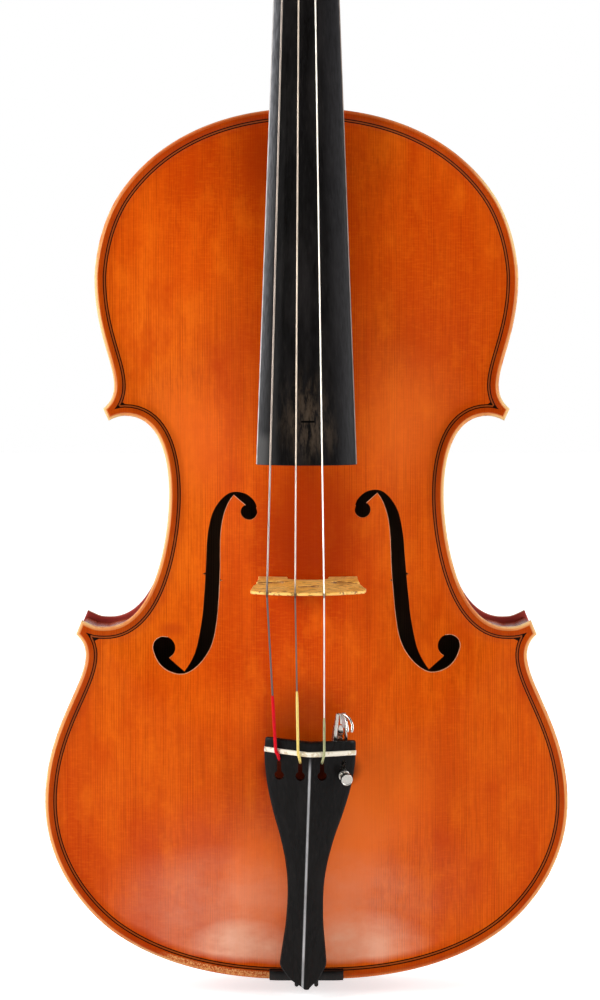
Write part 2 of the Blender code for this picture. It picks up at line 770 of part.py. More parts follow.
def end_block(name, mat, path, near_centre, far_z):
    """A block behind the ribs at the body's top or bottom centre."""
    span = reach_at_x(path, BLOCK_HALF)
    if near_centre:
        arc = along_path(path, 0, span)
    else:
        arc = along_path(path, span, length_of(path))[::-1]
    half_side = [p for p in arc if p.x > 0.01 * MM]
    centre = Vector((0, path[0].y if near_centre else path[-1].y))
    outline = [Vector((-p.x, p.y)) for p in half_side[::-1]] + [centre] + half_side
    outline += [Vector((BLOCK_HALF, far_z)), Vector((-BLOCK_HALF, far_z))]
    half = RIB_HEIGHT / 2 - FIT
    return slab(name, [mirrored(outline, 1)], -half, half, mat, solid=True)


def fit_under(x, z, reach):
    """Lowest inner face of a plate round a spot, seen from inside."""
    spots = [(0, 0)] + [(math.cos(a), math.sin(a)) for a in
                        [k * math.pi / 4 for k in range(8)]]
    return min(inner_height(Vector((x + dx * reach, z + dz * reach))) for dx, dz in spots)


def make_body(spruce, maple, rib_mat, pale):
    top = plate("top_plate", spruce, -1)
    for hand, side in (("treble", 1), ("bass", -1)):
        cut_sound_hole(top, side, "hole_" + hand)
    deep = RIB_HEIGHT
    socket = root_socket()
    cut(top, socket)
    cut(top, block("plate_saddle_notch", (-SADDLE_HALF - FIT, -deep, height(-10 * MM)),
                   (SADDLE_HALF + FIT, 0, height(SADDLE_LONG + FIT))))
    back = plate("back_plate", maple, 1)
    centre = BODY_LENGTH + BACK_BUTTON_OUT - BACK_BUTTON
    join(back, rod("back_button", (0, RIB_HEIGHT / 2, height(centre)),
                   (0, RIB_HEIGHT / 2 + EDGE_THICK, height(centre)), BACK_BUTTON, sides=32))
    make_ribs(rib_mat, socket)
    make_blocks_and_linings(pale, pale)
    bottom = end_block("bottom_block", pale, stretch(LOWER_BOUT, STEPS["lower"], BEHIND), True,
                       BEHIND + BOTTOM_BLOCK)
    cut(bottom, rod("shank_hole", (0, 0, 0), (0, 0, height(40 * MM)), SHANK + FIT))
    upper = end_block("top_block", pale, stretch(UPPER_BOUT, STEPS["upper"], BEHIND), False,
                      BODY_LENGTH - BEHIND - TOP_BLOCK)
    cut(upper, socket)
    sections = []
    count = 14
    for k in range(count + 1):
        t = k / count
        z = BAR_ENDS[0] + t * (BAR_ENDS[1] - BAR_ENDS[0])
        depth = BAR_TIP + (BAR_DEPTH - BAR_TIP) * math.sin(math.pi * t)
        left, right = BAR_X - BAR_WIDTH / 2, BAR_X + BAR_WIDTH / 2
        near = [front(inner_height(Vector((x, z))) - CARVED_FIT) for x in (left, right)]
        flat = max(near) + depth
        sections.append([(left, near[0], height(z)), (right, near[1], height(z)),
                         (right, flat, height(z)), (left, flat, height(z))])
    smooth(loft("bass_bar", sections, pale))
    x, z, radius = POST
    reach = front(fit_under(x, z, radius) - CARVED_FIT)
    smooth(rod("sound_post", (x, reach, height(z)), (x, -reach, height(z)), radius, pale,
               PIECES, 20))


def root_half(y, room=0.0):
    """Half width of the neck root, which narrows from the front to the back plate."""
    back = RIB_HEIGHT / 2 - FIT
    start = front(ROOT_TAPER_START)
    share = max(0.0, min(1.0, (y - start) / (back - start)))
    return ROOT_HALF + (ROOT_FOOT - ROOT_HALF) * share + room


def root_socket():
    """The space that the neck root needs in the top plate, the ribs and the block."""
    levels = (-3 * RIB_HEIGHT, front(ROOT_TAPER_START), RIB_HEIGHT / 2)
    sections = []
    for z in (ROOT_BOTTOM - FIT, HEEL_START):
        right = [(root_half(y, FIT), y, height(z)) for y in levels]
        left = [(-x, y, z) for x, y, z in reversed(right)]
        sections.append(right + left)
    return loft("root_socket", sections, None, "cutters")


def board_top(z):
    return BOARD_RISE - BOARD_SLOPE * (z - BODY_LENGTH)


def board_half(z):
    return BOARD_HALF - BOARD_TAPER * (z - BODY_LENGTH)


def camber(x):
    return BOARD_RADIUS - math.sqrt(BOARD_RADIUS ** 2 - x ** 2)


def board_under(z):
    return board_top(z) - camber(board_half(z)) - BOARD_SIDE


def board_section(z, hollow, rise=0.0, steps=12):
    """One cross section of the fingerboard, with a flat under the lowest string."""
    half = board_half(z)
    flat = -half + BOARD_FLAT
    low = board_under(z)
    ring_points = [(-half, low)]
    for k in range(steps + 1):
        x = -half + 2 * half * k / steps
        drop = camber(x)
        if x < flat:
            share = (x + half) / BOARD_FLAT
            drop = camber(half) + (camber(flat) - camber(half)) * share
        ring_points.append((x, board_top(z) - drop + rise))
    ring_points.append((half, low))
    wall = half - 0.8 * BOARD_SIDE
    for k in range(7):
        x = wall * (1 - k / 3)
        ring_points.append((x, low + hollow * math.cos(x / wall * math.pi / 2)))
    return [(x, front(h), height(z)) for x, h in ring_points]


def make_fingerboard(mat):
    low, high = BOARD_ENDS
    sections = [board_section(low, BOARD_HOLLOW), board_section(HOLLOW_END, BOARD_HOLLOW),
                board_section(HOLLOW_END + 5 * MM, 0.0), board_section(high, 0.0)]
    return smooth(loft("fingerboard", sections, mat), 30)


def head_point(x, u, v):
    """A point in the head's own frame, given in millimetres."""
    rise = u * math.cos(HEAD_TILT) + v * math.sin(HEAD_TILT)
    depth = u * math.sin(HEAD_TILT) - v * math.cos(HEAD_TILT)
    return Vector((x * MM, head_y() + depth * MM, height(NUT_TOP) + rise * MM))


def neck_section(z, y_front, y_back, square, count=16):
    """From a rounded D (square 0) to the heel's tapered block (square 1)."""
    half = min(board_half(z) - FIT, ROOT_HALF)
    ring_points = []
    for i in range(count + 1):
        turn = math.pi * i / count
        oval = Vector((-half * math.cos(turn),
                       y_front + (y_back - y_front) * math.sin(turn) ** 0.85))
        side = min(1.0, min(i, count - i) / 6)
        y = y_front + (y_back - y_front) * side
        wide = min(root_half(y), half)
        x = -wide if i <= 6 else wide
        if 6 < i < count - 6:
            x = wide * (i - count / 2) / (count / 2 - 6)
        place = oval.lerp(Vector((x, y)), square)
        ring_points.append((place.x, place.y, height(z)))
    return ring_points


def make_neck(mat):
    sections = []
    heel_depth, nut_depth = NECK_DEPTH
    back = RIB_HEIGHT / 2 - FIT
    neck_end = NUT_TOP - 1.5 * MM

    def back_of(z):
        share = (z - HEEL_START) / (NUT_TOP - HEEL_START)
        return front(board_top(z)) + heel_depth + (nut_depth - heel_depth) * share

    def front_of(z):
        return front(board_under(z) - FIT)

    for z in (ROOT_BOTTOM, BODY_LENGTH):
        sections.append(neck_section(z, front_of(z), back, 1.0))
    heel_from = back_of(HEEL_START)
    reach = HEEL_START - BODY_LENGTH - BACK_BUTTON_OUT + 0.5 * MM
    for degrees in (90, 82, 72, 60, 45, 28, 12):
        turn = math.radians(degrees)
        z = HEEL_START - reach * math.sin(turn)
        y = heel_from + (back - heel_from) * (1 - math.cos(turn))
        sections.append(neck_section(z, front_of(z), y, min(1.0, degrees / 60)))
    for k in range(5):
        z = HEEL_START + (neck_end - HEEL_START) * k / 4
        sections.append(neck_section(z, front_of(z), back_of(z), 0.0))
    neck = loft("neck", sections, mat)
    box = []
    for u, half, v_front, v_back in PEGBOX:
        deep = v_front - v_back
        profile = [(half, v_front), (half, v_back + 0.3 * deep), (0.8 * half, v_back + 0.08 * deep),
                   (0.45 * half, v_back)]
        profile += [(-x, v) for x, v in reversed(profile)]
        box.append([head_point(x, u, v) for x, v in profile])
    join(neck, loft("pegbox", box, mat, "cutters"))
    join(neck, make_scroll(mat))
    trough = []
    for u, half, bottom in TROUGH:
        profile = [(half, 12), (half, bottom + 2), (half - 2, bottom)]
        profile += [(-x, v) for x, v in reversed(profile)]
        trough.append([head_point(x, u, v) for x, v in profile])
    cut(neck, loft("string_trough", trough, None, "cutters"))
    for name, (u, side) in PEGS.items():
        wide = cheek(u)
        start = PEG_RADIUS + (20 * PEG_TAPER) * MM + FIT
        shrink = (20 + 2 * wide + 10) * MM * PEG_TAPER
        cut(neck, rod("peg_hole_" + name, head_point(side * (wide + 20), u, PEG_V),
                      head_point(-side * (wide + 10), u, PEG_V), start,
                      end_radius=start - shrink))
    return smooth(neck, 40)


def cheek(u):
    """Half width of the pegbox at one height, in millimetres."""
    for (u0, w0, _, _), (u1, w1, _, _) in zip(PEGBOX, PEGBOX[1:]):
        if u0 <= u <= u1:
            return w0 + (w1 - w0) * (u - u0) / (u1 - u0)
    return PEGBOX[-1][1]


def make_scroll(mat):
    """The volute: a band that shrinks as it turns and steps outwards towards its eye."""
    total = int(SCROLL_STEPS * SCROLL_TURNS)
    points = []

    def place(radius, turn, x):
        angle = SCROLL_START - turn
        u = SCROLL_MIDDLE[0] + radius * math.sin(angle)
        v = SCROLL_MIDDLE[1] + radius * math.cos(angle)
        points.append(head_point(x, u, v))
        return len(points) - 1

    def radius_at(k):
        return SCROLL_RADIUS * math.exp(-SCROLL_SHRINK * 2 * math.pi * k / SCROLL_STEPS)

    def width_at(k):
        share = 2 * k / SCROLL_STEPS
        low = min(int(share), len(SCROLL_WIDTHS) - 2)
        a, b = SCROLL_WIDTHS[low:low + 2]
        return a + (b - a) * (share - low)

    tops = {1: [], -1: []}
    feet = {1: [], -1: []}
    faces = []
    for k in range(total + 1):
        turn = 2 * math.pi * k / SCROLL_STEPS
        for side in (1, -1):
            tops[side].append(place(radius_at(k), turn, side * width_at(k)))
            foot = None
            if k >= SCROLL_STEPS:
                level = width_at(k - SCROLL_STEPS) - SCROLL_GROOVE
                foot = place(radius_at(k), turn, side * level)
            feet[side].append(foot)
    belt = []
    for k in range(SCROLL_STEPS + 1):
        turn = 2 * math.pi * k / SCROLL_STEPS
        row = [tops[1][k]]
        for share, dip in ((0.55, FLUTE), (0.0, 0.2), (-0.55, FLUTE)):
            row.append(place(radius_at(k) - dip, turn, share * width_at(k)))
        row.append(tops[-1][k])
        belt.append(row)
    for a, b in zip(belt, belt[1:]):
        for i in range(4):
            faces.append((a[i], b[i], b[i + 1], a[i + 1]))
    for side in (1, -1):
        top = tops[side]
        foot = feet[side]
        for k in range(SCROLL_STEPS, total):
            faces.append((foot[k], foot[k + 1], top[k + 1], top[k]))
        for k in range(total - SCROLL_STEPS):
            n = k + SCROLL_STEPS
            faces.append((top[k], top[k + 1], foot[n + 1], foot[n]))
        eye = place(0.0, 0.0, side * (width_at(total) + 0.6))
        for k in range(total - SCROLL_STEPS, total):
            faces.append((top[k], top[k + 1], eye))
        faces.append((top[total - SCROLL_STEPS], foot[total], top[total], eye))
    first, last = belt[0], belt[-1]
    cap = first + [feet[-1][SCROLL_STEPS]] + last[::-1] + [feet[1][SCROLL_STEPS]]
    faces.append(tuple(cap))
    return add_mesh("scroll", points, faces, mat, "cutters")


def real_point(x, above, z):
    """A world point from millimetres: x, height in front of the edge plane, body height."""
    return Vector((x * MM, front(above * MM), height(z * MM)))


def nut_height(x):
    """The nut's top, in millimetres in front of the edge plane."""
    return (board_top(NUT_TOP - NUT_LONG / 2) - camber(x * MM) + NUT_RISE) / MM


def crown_height(x):
    return CROWN_HEIGHT - CROWN_RADIUS + math.sqrt(CROWN_RADIUS ** 2 - (x + 0.5) ** 2)


def tail_middle(z):
    return TAIL_X + TAIL_SWING * (z - 6)


def tail_half(z):
    for (z1, w1, _), (z0, w0, _) in zip(TAILPIECE, TAILPIECE[1:]):
        if z0 <= z <= z1:
            return w0 + (w1 - w0) * (z - z0) / (z1 - z0)
    return TAILPIECE[0][1]


def tail_surface(x, z):
    """The tailpiece's front face: two gently rounded slopes that meet in a ridge."""
    half = tail_half(z)
    share = min(1.0, abs(x - tail_middle(z)) / half)
    drop = TAIL_CAMBER * half * (0.72 * share + 0.28 * share ** 2)
    return TAIL_HEIGHT + TAIL_SLOPE * (z + 3) - drop


def string_route(name):
    """Middle of one string where it bends: fret, crown and nut."""
    x_crown, x_nut, x_key, radius, silk = STRINGS[name]
    x_fret = x_key + (x_crown - x_key) * (FRET_Z - KEYHOLE_Z) / (STRING_LINE / MM - KEYHOLE_Z)
    fret = real_point(x_fret, tail_surface(x_fret, FRET_Z) + FRET_RISE + 0.3 + silk, FRET_Z)
    crown = real_point(x_crown, crown_height(x_crown) + 0.1, STRING_LINE / MM)
    nut = real_point(x_nut, nut_height(x_nut) + 0.1, NUT_TOP / MM - 1.2)
    return fret, crown, nut


def notch(obj, name, points, radius):
    """Cut room for a string along its route."""
    for i, (a, b) in enumerate(zip(points, points[1:])):
        cut(obj, rod("%s_%d" % (name, i), a, b, radius, sides=14))


def make_nut(mat):
    low, high = NUT_TOP - NUT_LONG, NUT_TOP
    half = board_half(high)
    sections = []
    for z, drop in ((low, 0.0), (low + NUT_FLAT, 0.0), (high, NUT_ROUND)):
        base = board_under(z)
        row = [(-half, front(base), height(z))]
        for k in range(11):
            x = -half + 2 * half * k / 10
            rise = board_top(z) - camber(x) + NUT_RISE - drop
            row.append((x, front(rise), height(z)))
        row.append((half, front(base), height(z)))
        sections.append(row)
    nut = loft("nut", sections, mat)
    for name in STRINGS:
        _, crown, bend = string_route(name)
        away = (bend - crown).normalized()
        down = (PEGS_ENTRY[name] - bend).normalized()
        room = STRINGS[name][3] * MM + FIT
        notch(nut, "nut_slot_" + name, [bend - away * SLOT_RUN, bend, bend + down * SLOT_RUN], room)
    return smooth(nut, 30)


def bridge_side(side, end):
    """One side of the bridge, from the middle of its arch round to the crown's corner."""
    foot_inner = 9.4
    foot_outer = 22.9
    level = {}
    for x in (foot_inner, 13.9, 18.4, foot_outer):
        spots = [Vector((BRIDGE_X + side * x * MM, z))
                 for z in (BRIDGE_BACK, BRIDGE_BACK + BRIDGE_FOOT_THICK)]
        level[x] = max(outer_height(spot) for spot in spots) / MM + 0.35
    points = [(0.0, 32.0), (4.2, 31.0), (7.4, 28.0), (8.8, 24.0), (8.6, level[foot_inner] + 2.5)]
    points += [(x, level[x]) for x in (foot_inner, 13.9, 18.4, foot_outer)]
    points += [(foot_outer + 0.2, level[foot_outer] + 1.6), (21.0, level[foot_outer] + 4.0),
               (19.0, 24.0), (18.8, 27.0), (16.6, 28.6), (13.0, 28.0), (11.2, 29.6), (10.6, 32.4),
               (11.8, 35.2), (14.6, 36.2), (17.0, 35.0), (16.2, 33.0), (17.8, 31.6), (20.4, 31.8),
               (23.0, 33.4), end]
    return [(side * x, h) for x, h in points[:-1]] + [(end[0], end[1])]


def make_bridge(mat):
    right = bridge_side(1, CROWN_ENDS[0])
    left = bridge_side(-1, CROWN_ENDS[1])
    crown = []
    for x in (23.4, 20, 15, 10, 5, 0, -5, -10, -15, -20, -23.6):
        crown.append((x, crown_height(x + BRIDGE_X / MM)))
    outline = right + crown + left[::-1][:-1]
    heart = [(0, 37.0), (2.6, 39.6), (3.4, 41.6), (2.6, 43.4), (1.0, 43.4), (0, 42.2),
             (-1.0, 43.4), (-2.6, 43.4), (-3.4, 41.6), (-2.6, 39.6)]
    flat = [[(x * MM, h * MM) for x, h in shape] for shape in (outline, heart)]
    bridge = slab("bridge", flat, 0.0, 1 * MM, mat, solid=True)
    low, high = 18 * MM, CROWN_HEIGHT * MM
    for vertex in bridge.data.vertices:
        rise = vertex.co.z
        share = max(0.0, min(1.0, (rise - low) / (high - low)))
        thick = BRIDGE_FOOT_THICK + (BRIDGE_CROWN_THICK - BRIDGE_FOOT_THICK) * share
        depth = thick * (vertex.co.y / MM)
        vertex.co = (vertex.co.x + BRIDGE_X, front(rise), height(BRIDGE_BACK + depth))
    settle(bridge)
    for name in STRINGS:
        fret, top, nut = string_route(name)
        room = (STRINGS[name][3]) * MM + FIT
        before = (top - fret).normalized() * SLOT_RUN
        after = (nut - top).normalized() * SLOT_RUN
        notch(bridge, "crown_notch_" + name, [top - before, top, top + after], room)
    return smooth(bridge, 30)


def settle(obj):
    """Point every face outwards again after its points have been moved."""
    mesh = bmesh.new()
    mesh.from_mesh(obj.data)
    bmesh.ops.recalc_face_normals(mesh, faces=mesh.faces)
    mesh.to_mesh(obj.data)
    mesh.free()


def make_saddle(mat):
    back = -RIB_HEIGHT / 2
    saddle = block("saddle", (-SADDLE_HALF, front(SADDLE_RISE * MM), height(0)),
                   (SADDLE_HALF, back, height(SADDLE_LONG)), mat, PIECES)
    bevel = saddle.modifiers.new("rounded edges", "BEVEL")
    bevel.width = SADDLE_ROUND
    bevel.segments = 2
    return smooth(saddle, 30)


def tail_section(z, half, step):
    middle = tail_middle(z) + step
    top = []
    for share in (-1, -0.8, -0.5, -0.25, 0, 0.25, 0.5, 0.8, 1):
        drop = TAIL_CAMBER * half * (0.72 * abs(share) + 0.28 * share ** 2)
        top.append((middle + share * half, TAIL_HEIGHT + TAIL_SLOPE * (z + 3) - drop))
    edge = top[0][1] - TAIL_EDGE
    under = [(middle + 0.92 * half, edge), (middle, edge + TAIL_HOLLOW * TAIL_CAMBER * half),
             (middle - 0.92 * half, edge)]
    return [real_point(x, h, z) for x, h in top + under]


def make_tailpiece(mat, fret_mat):
    tail = loft("tailpiece", [tail_section(*station) for station in TAILPIECE], mat)
    for name, values in STRINGS.items():
        x = values[2]
        face = tail_surface(x, KEYHOLE_Z)
        low, high = face - 25, face + 15
        if name == "a":
            cut(tail, tuner_rod("keyhole_a", KEYHOLE, -15, 15, None))
        else:
            cut(tail, rod("keyhole_" + name, real_point(x, low, KEYHOLE_Z),
                          real_point(x, high, KEYHOLE_Z), KEYHOLE * MM, sides=20))
        cut(tail, block("keyslot_" + name,
                        real_point(x - SLOT_HALF, high, KEYHOLE_Z),
                        real_point(x + SLOT_HALF, low, SLOT_END)))
    smooth(tail, 30)
    half = tail_half(FRET_Z) - 0.3
    sections = []
    for z in (FRET_Z - FRET_LONG / 2, FRET_Z + FRET_LONG / 2):
        over = []
        under = []
        for k in range(13):
            x = tail_middle(z) + half * (-1 + k / 6)
            lift = 0.9 if k == 12 else 0.0
            over.append(real_point(x, tail_surface(x, z) + FRET_RISE + lift, z))
            under.append(real_point(x, tail_surface(x, z) + 0.3 + lift, z))
        sections.append(over + under[::-1])
    return smooth(loft("tailpiece_fret", sections, fret_mat), 40)


def turned(name, profile, mat, steps=28, collection=PIECES):
    """A turned piece round its own Z axis: pairs of radius and place, from the top down."""
    data = bpy.data.meshes.new(name)
    points = [(r, 0.0, z) for r, z in profile]
    data.from_pydata(points, [(i, i + 1) for i in range(len(points) - 1)], [])
    obj = add_object(name, data, mat, collection)
    screw = obj.modifiers.new("turn", "SCREW")
    screw.axis = "Z"
    screw.steps = steps
    screw.render_steps = steps
    screw.use_merge_vertices = True
    screw.merge_threshold = 0.01 * MM
    screw.use_smooth_shade = True
    return obj


def make_tail_end(black, gut_mat):
    groove = COLLAR - 2.4 * MM
    base = height(OVERHANG) - FIT
    profile = [
        (0.0, height(22 * MM)), (SHANK * 0.86, height(22 * MM)), (SHANK, base),
        (COLLAR * 0.9, base), (COLLAR * 0.9, height(0.0)), (groove, height(-0.1 * MM)),
        (groove, height(-2.8 * MM)), (COLLAR * 0.95, height(-3.2 * MM)),
        (COLLAR, height(-4.4 * MM)), (COLLAR * 0.8, height(-6.4 * MM)),
        (COLLAR * 0.55, 0.0), (0.0, 0.0),
    ]
    smooth(turned("end_button", profile, black, 22))
    reach = COLLAR / MM - 2.4 + 0.3 + GUT
    side = RIB_HEIGHT / 2 / MM + EDGE_THICK / MM
    under_saddle = SADDLE_RISE + 0.35 + GUT
    arm = [(GUT_SPREAD, under_saddle + 0.9, 17.0), (GUT_SPREAD, under_saddle + 0.1, 8.0),
           (GUT_SPREAD, under_saddle, 4.5), (GUT_SPREAD, under_saddle, 0.9),
           (GUT_SPREAD, under_saddle - 0.5, -0.6), (GUT_SPREAD, under_saddle - 1.8, GUT_FRONT)]
    route = [real_point(*p) for p in arm]
    loop = []
    for k in range(11):
        turn = math.radians(-8 - 16.4 * k)
        loop.append(Vector((reach * MM * math.cos(turn), -reach * MM * math.sin(turn),
                            height(GUT_FRONT * MM))))
    back = [real_point(-x, h, z) for x, h, z in reversed(arm)]
    gut = as_mesh(wire("tailgut", route + loop + back, GUT * MM, gut_mat, sides=1))
    for hand in (1, -1):
        knot = real_point(hand * GUT_SPREAD, under_saddle + 0.5, 18.0)
        mesh = bmesh.new()
        bmesh.ops.create_uvsphere(mesh, u_segments=12, v_segments=8, radius=1.6 * MM)
        data = bpy.data.meshes.new("gut_knot")
        mesh.to_mesh(data)
        mesh.free()
        ball = add_object("gut_knot_%d" % hand, data, gut_mat, "cutters")
        ball.location = knot
        join(gut, ball)
    return smooth(gut)


def peg_radius(depth):
    """The tapered shaft's radius so far inside the head-side cheek, in millimetres."""
    return PEG_RADIUS / MM - depth * PEG_TAPER


def winding(name):
    """The string from the nut to its peg, and round the shaft towards the cheek."""
    start_x, turns = WINDINGS.get(name, (9.0 if name == "a" else 0.0, 0.0))
    u_peg, side = PEGS[name]
    radius = STRINGS[name][3]
    bend = string_route(name)[2]
    rise = (bend.z - height(NUT_TOP)) / MM
    depth = (bend.y - head_y()) / MM
    u0 = rise * math.cos(HEAD_TILT) + depth * math.sin(HEAD_TILT)
    v0 = rise * math.sin(HEAD_TILT) - depth * math.cos(HEAD_TILT)
    wrap = peg_radius(cheek(u_peg) - abs(start_x)) + FIT / MM + radius
    du, dv = u_peg - u0, PEG_V - v0
    heading = math.atan2(dv, du) + math.asin(wrap / math.hypot(du, dv))
    pitch = side * (2 * radius + TURN_GAP / MM)
    points = []
    for k in range(int(TURN_POINTS * turns) + 1):
        angle = heading + math.pi / 2 - 2 * math.pi * k / TURN_POINTS
        x = start_x + pitch * k / TURN_POINTS
        points.append(head_point(x, u_peg + wrap * math.cos(angle),
                                 PEG_V + wrap * math.sin(angle)))
    return points


PEGS_ENTRY = {name: winding(name)[0] for name in STRINGS}


def least_gap(points, radius):
    """The smallest gap between turns of one winding, measured on its points."""
    nearest = 1.0
    apart = TURN_POINTS // 2
    for i, a in enumerate(points):
        for b in points[i + apart:]:
            nearest = min(nearest, (a - b).length)
    return nearest - 2 * radius


def make_strings(metals, silks):
    for name, level in SILK_ENDS.items():
        x_crown, x_nut, x_key, radius, silk = STRINGS[name]
        fret, crown, bend = string_route(name)
        share = (height(level * MM) - fret.z) / (crown.z - fret.z)
        silk_end = fret.lerp(crown, share)
        away = (crown - silk_end).normalized()
        turns = winding(name)
        route = [silk_end + away * FIT, crown, bend] + turns
        smooth(wire("string_" + name, route, radius * MM, metals[name], sides=1))
        print("string_%s: least gap between turns %.2f mm, length %.0f mm"
              % (name, least_gap(turns, radius * MM) / MM, length_of(route) / MM))
        down = []
        for below, lift in SILK_DIVE:
            z = FRET_Z - below
            down.append(real_point(x_key, tail_surface(x_key, z) + lift + silk, z))
        z = FRET_Z - BALL_BELOW
        ball_place = real_point(x_key, tail_surface(x_key, z) - BALL_DEPTH, z)
        tail = as_mesh(wire("silk_" + name, [silk_end, fret] + down + [ball_place],
                            silk * MM, silks[name]))
        mesh = bmesh.new()
        bmesh.ops.create_uvsphere(mesh, u_segments=14, v_segments=8, radius=BALL * MM)
        data = bpy.data.meshes.new("ball_" + name)
        mesh.to_mesh(data)
        mesh.free()
        ball = add_object("ball_" + name, data, silks[name], "cutters")
        ball.location = ball_place
        smooth(join(tail, ball))


def hang(obj, place):
    """Parent a moving piece to an empty on its joint's axis."""
    empty = bpy.data.objects.new(obj.name + "_axis", None)
    empty.empty_display_size = 10 * MM
    empty.location = place
    lay(PIECES).objects.link(empty)
    bpy.context.view_layer.update()
    obj.parent = empty
    obj.matrix_parent_inverse = empty.matrix_world.inverted()
    return obj


def make_pegs(mat):
    for name, (u, side) in PEGS.items():
        wide = cheek(u)
        far = -(2 * wide + PEG_OVERHANG)
        profile = [
            (0.0, 9.0), (3.4, 9.0), (3.6, 6.5), (5.4, 5.2), (PEG_COLLAR, 3.6),
            (5.6, 2.2), (peg_radius(-1.6), 1.6), (peg_radius(-far), far),
            (peg_radius(-far) * 0.7, far - 0.9), (0.0, far - 1.2),
        ]
        peg = turned("peg_" + name, [(r * MM, z * MM) for r, z in profile], mat, 16)
        centre = head_point(side * wide, u, PEG_V)
        out = Vector((side, 0, 0))
        peg.rotation_mode = "QUATERNION"
        peg.rotation_quaternion = out.to_track_quat("Z", "Y")
        peg.location = centre
        peg = as_mesh(peg)
        mesh = bmesh.new()
        bmesh.ops.create_uvsphere(mesh, u_segments=16, v_segments=10, radius=1.0)
        bmesh.ops.scale(mesh, vec=[size * MM for size in THUMB], verts=mesh.verts)
        data = bpy.data.meshes.new("grip_" + name)
        mesh.to_mesh(data)
        mesh.free()
        grip = add_object("grip_" + name, data, mat, "cutters")
        grip.rotation_mode = "QUATERNION"
        grip.rotation_quaternion = out.to_track_quat("Z", "Y")
        grip.location = centre + out * (8.0 + THUMB[2] - 2.0) * MM
        smooth(join(peg, grip))
        hang(peg, centre)


def tuner_frame_matrix(s, t, n, order="stn"):
    """The fine tuner's frame: s sideways, t up along the tailpiece, n in front of it."""
    slope = math.atan(TAIL_SLOPE)
    up = Vector((0, -math.sin(slope), math.cos(slope)))
    plain = Vector((0, -math.cos(slope), -math.sin(slope)))
    side = Vector((1, 0, 0))
    out = plain * math.cos(TUNER_LEAN) + side * math.sin(TUNER_LEAN)
    across = side * math.cos(TUNER_LEAN) - plain * math.sin(TUNER_LEAN)
    x_key = STRINGS["a"][2]
    origin = real_point(x_key, tail_surface(x_key, KEYHOLE_Z), KEYHOLE_Z)
    origin = origin + (across * s + up * t + out * n) * MM
    axes = {"s": across, "t": up, "n": out}
    matrix = Matrix([axes[letter] for letter in order]).transposed().to_4x4()
    matrix.translation = origin
    return matrix


def tuner_profile(name, outline, half, mat, collection=PIECES, holes=()):
    """A bent strip of the tuner: an outline in t and n with a width along s."""
    flat = [[(t * MM, n * MM) for t, n in shape] for shape in (outline, *holes)]
    obj = slab(name, flat, -half * MM, half * MM, mat, collection)
    obj.rotation_euler = (0, 0, 0)
    obj.location = (0, 0, 0)
    obj.matrix_world = tuner_frame_matrix(0, 0, 0, "tns")
    bpy.context.view_layer.update()
    return as_mesh(obj)


def tuner_rod(name, radius, low, high, mat, collection="cutters", at=(0.0, 0.0), sides=20):
    start = tuner_frame_matrix(at[0], at[1], low).translation
    end = tuner_frame_matrix(at[0], at[1], high).translation
    return rod(name, start, end, radius * MM, mat, collection, sides)


def circle(middle, radius, count=12):
    return [(middle[0] + radius * math.cos(2 * math.pi * k / count),
             middle[1] + radius * math.sin(2 * math.pi * k / count)) for k in range(count)]


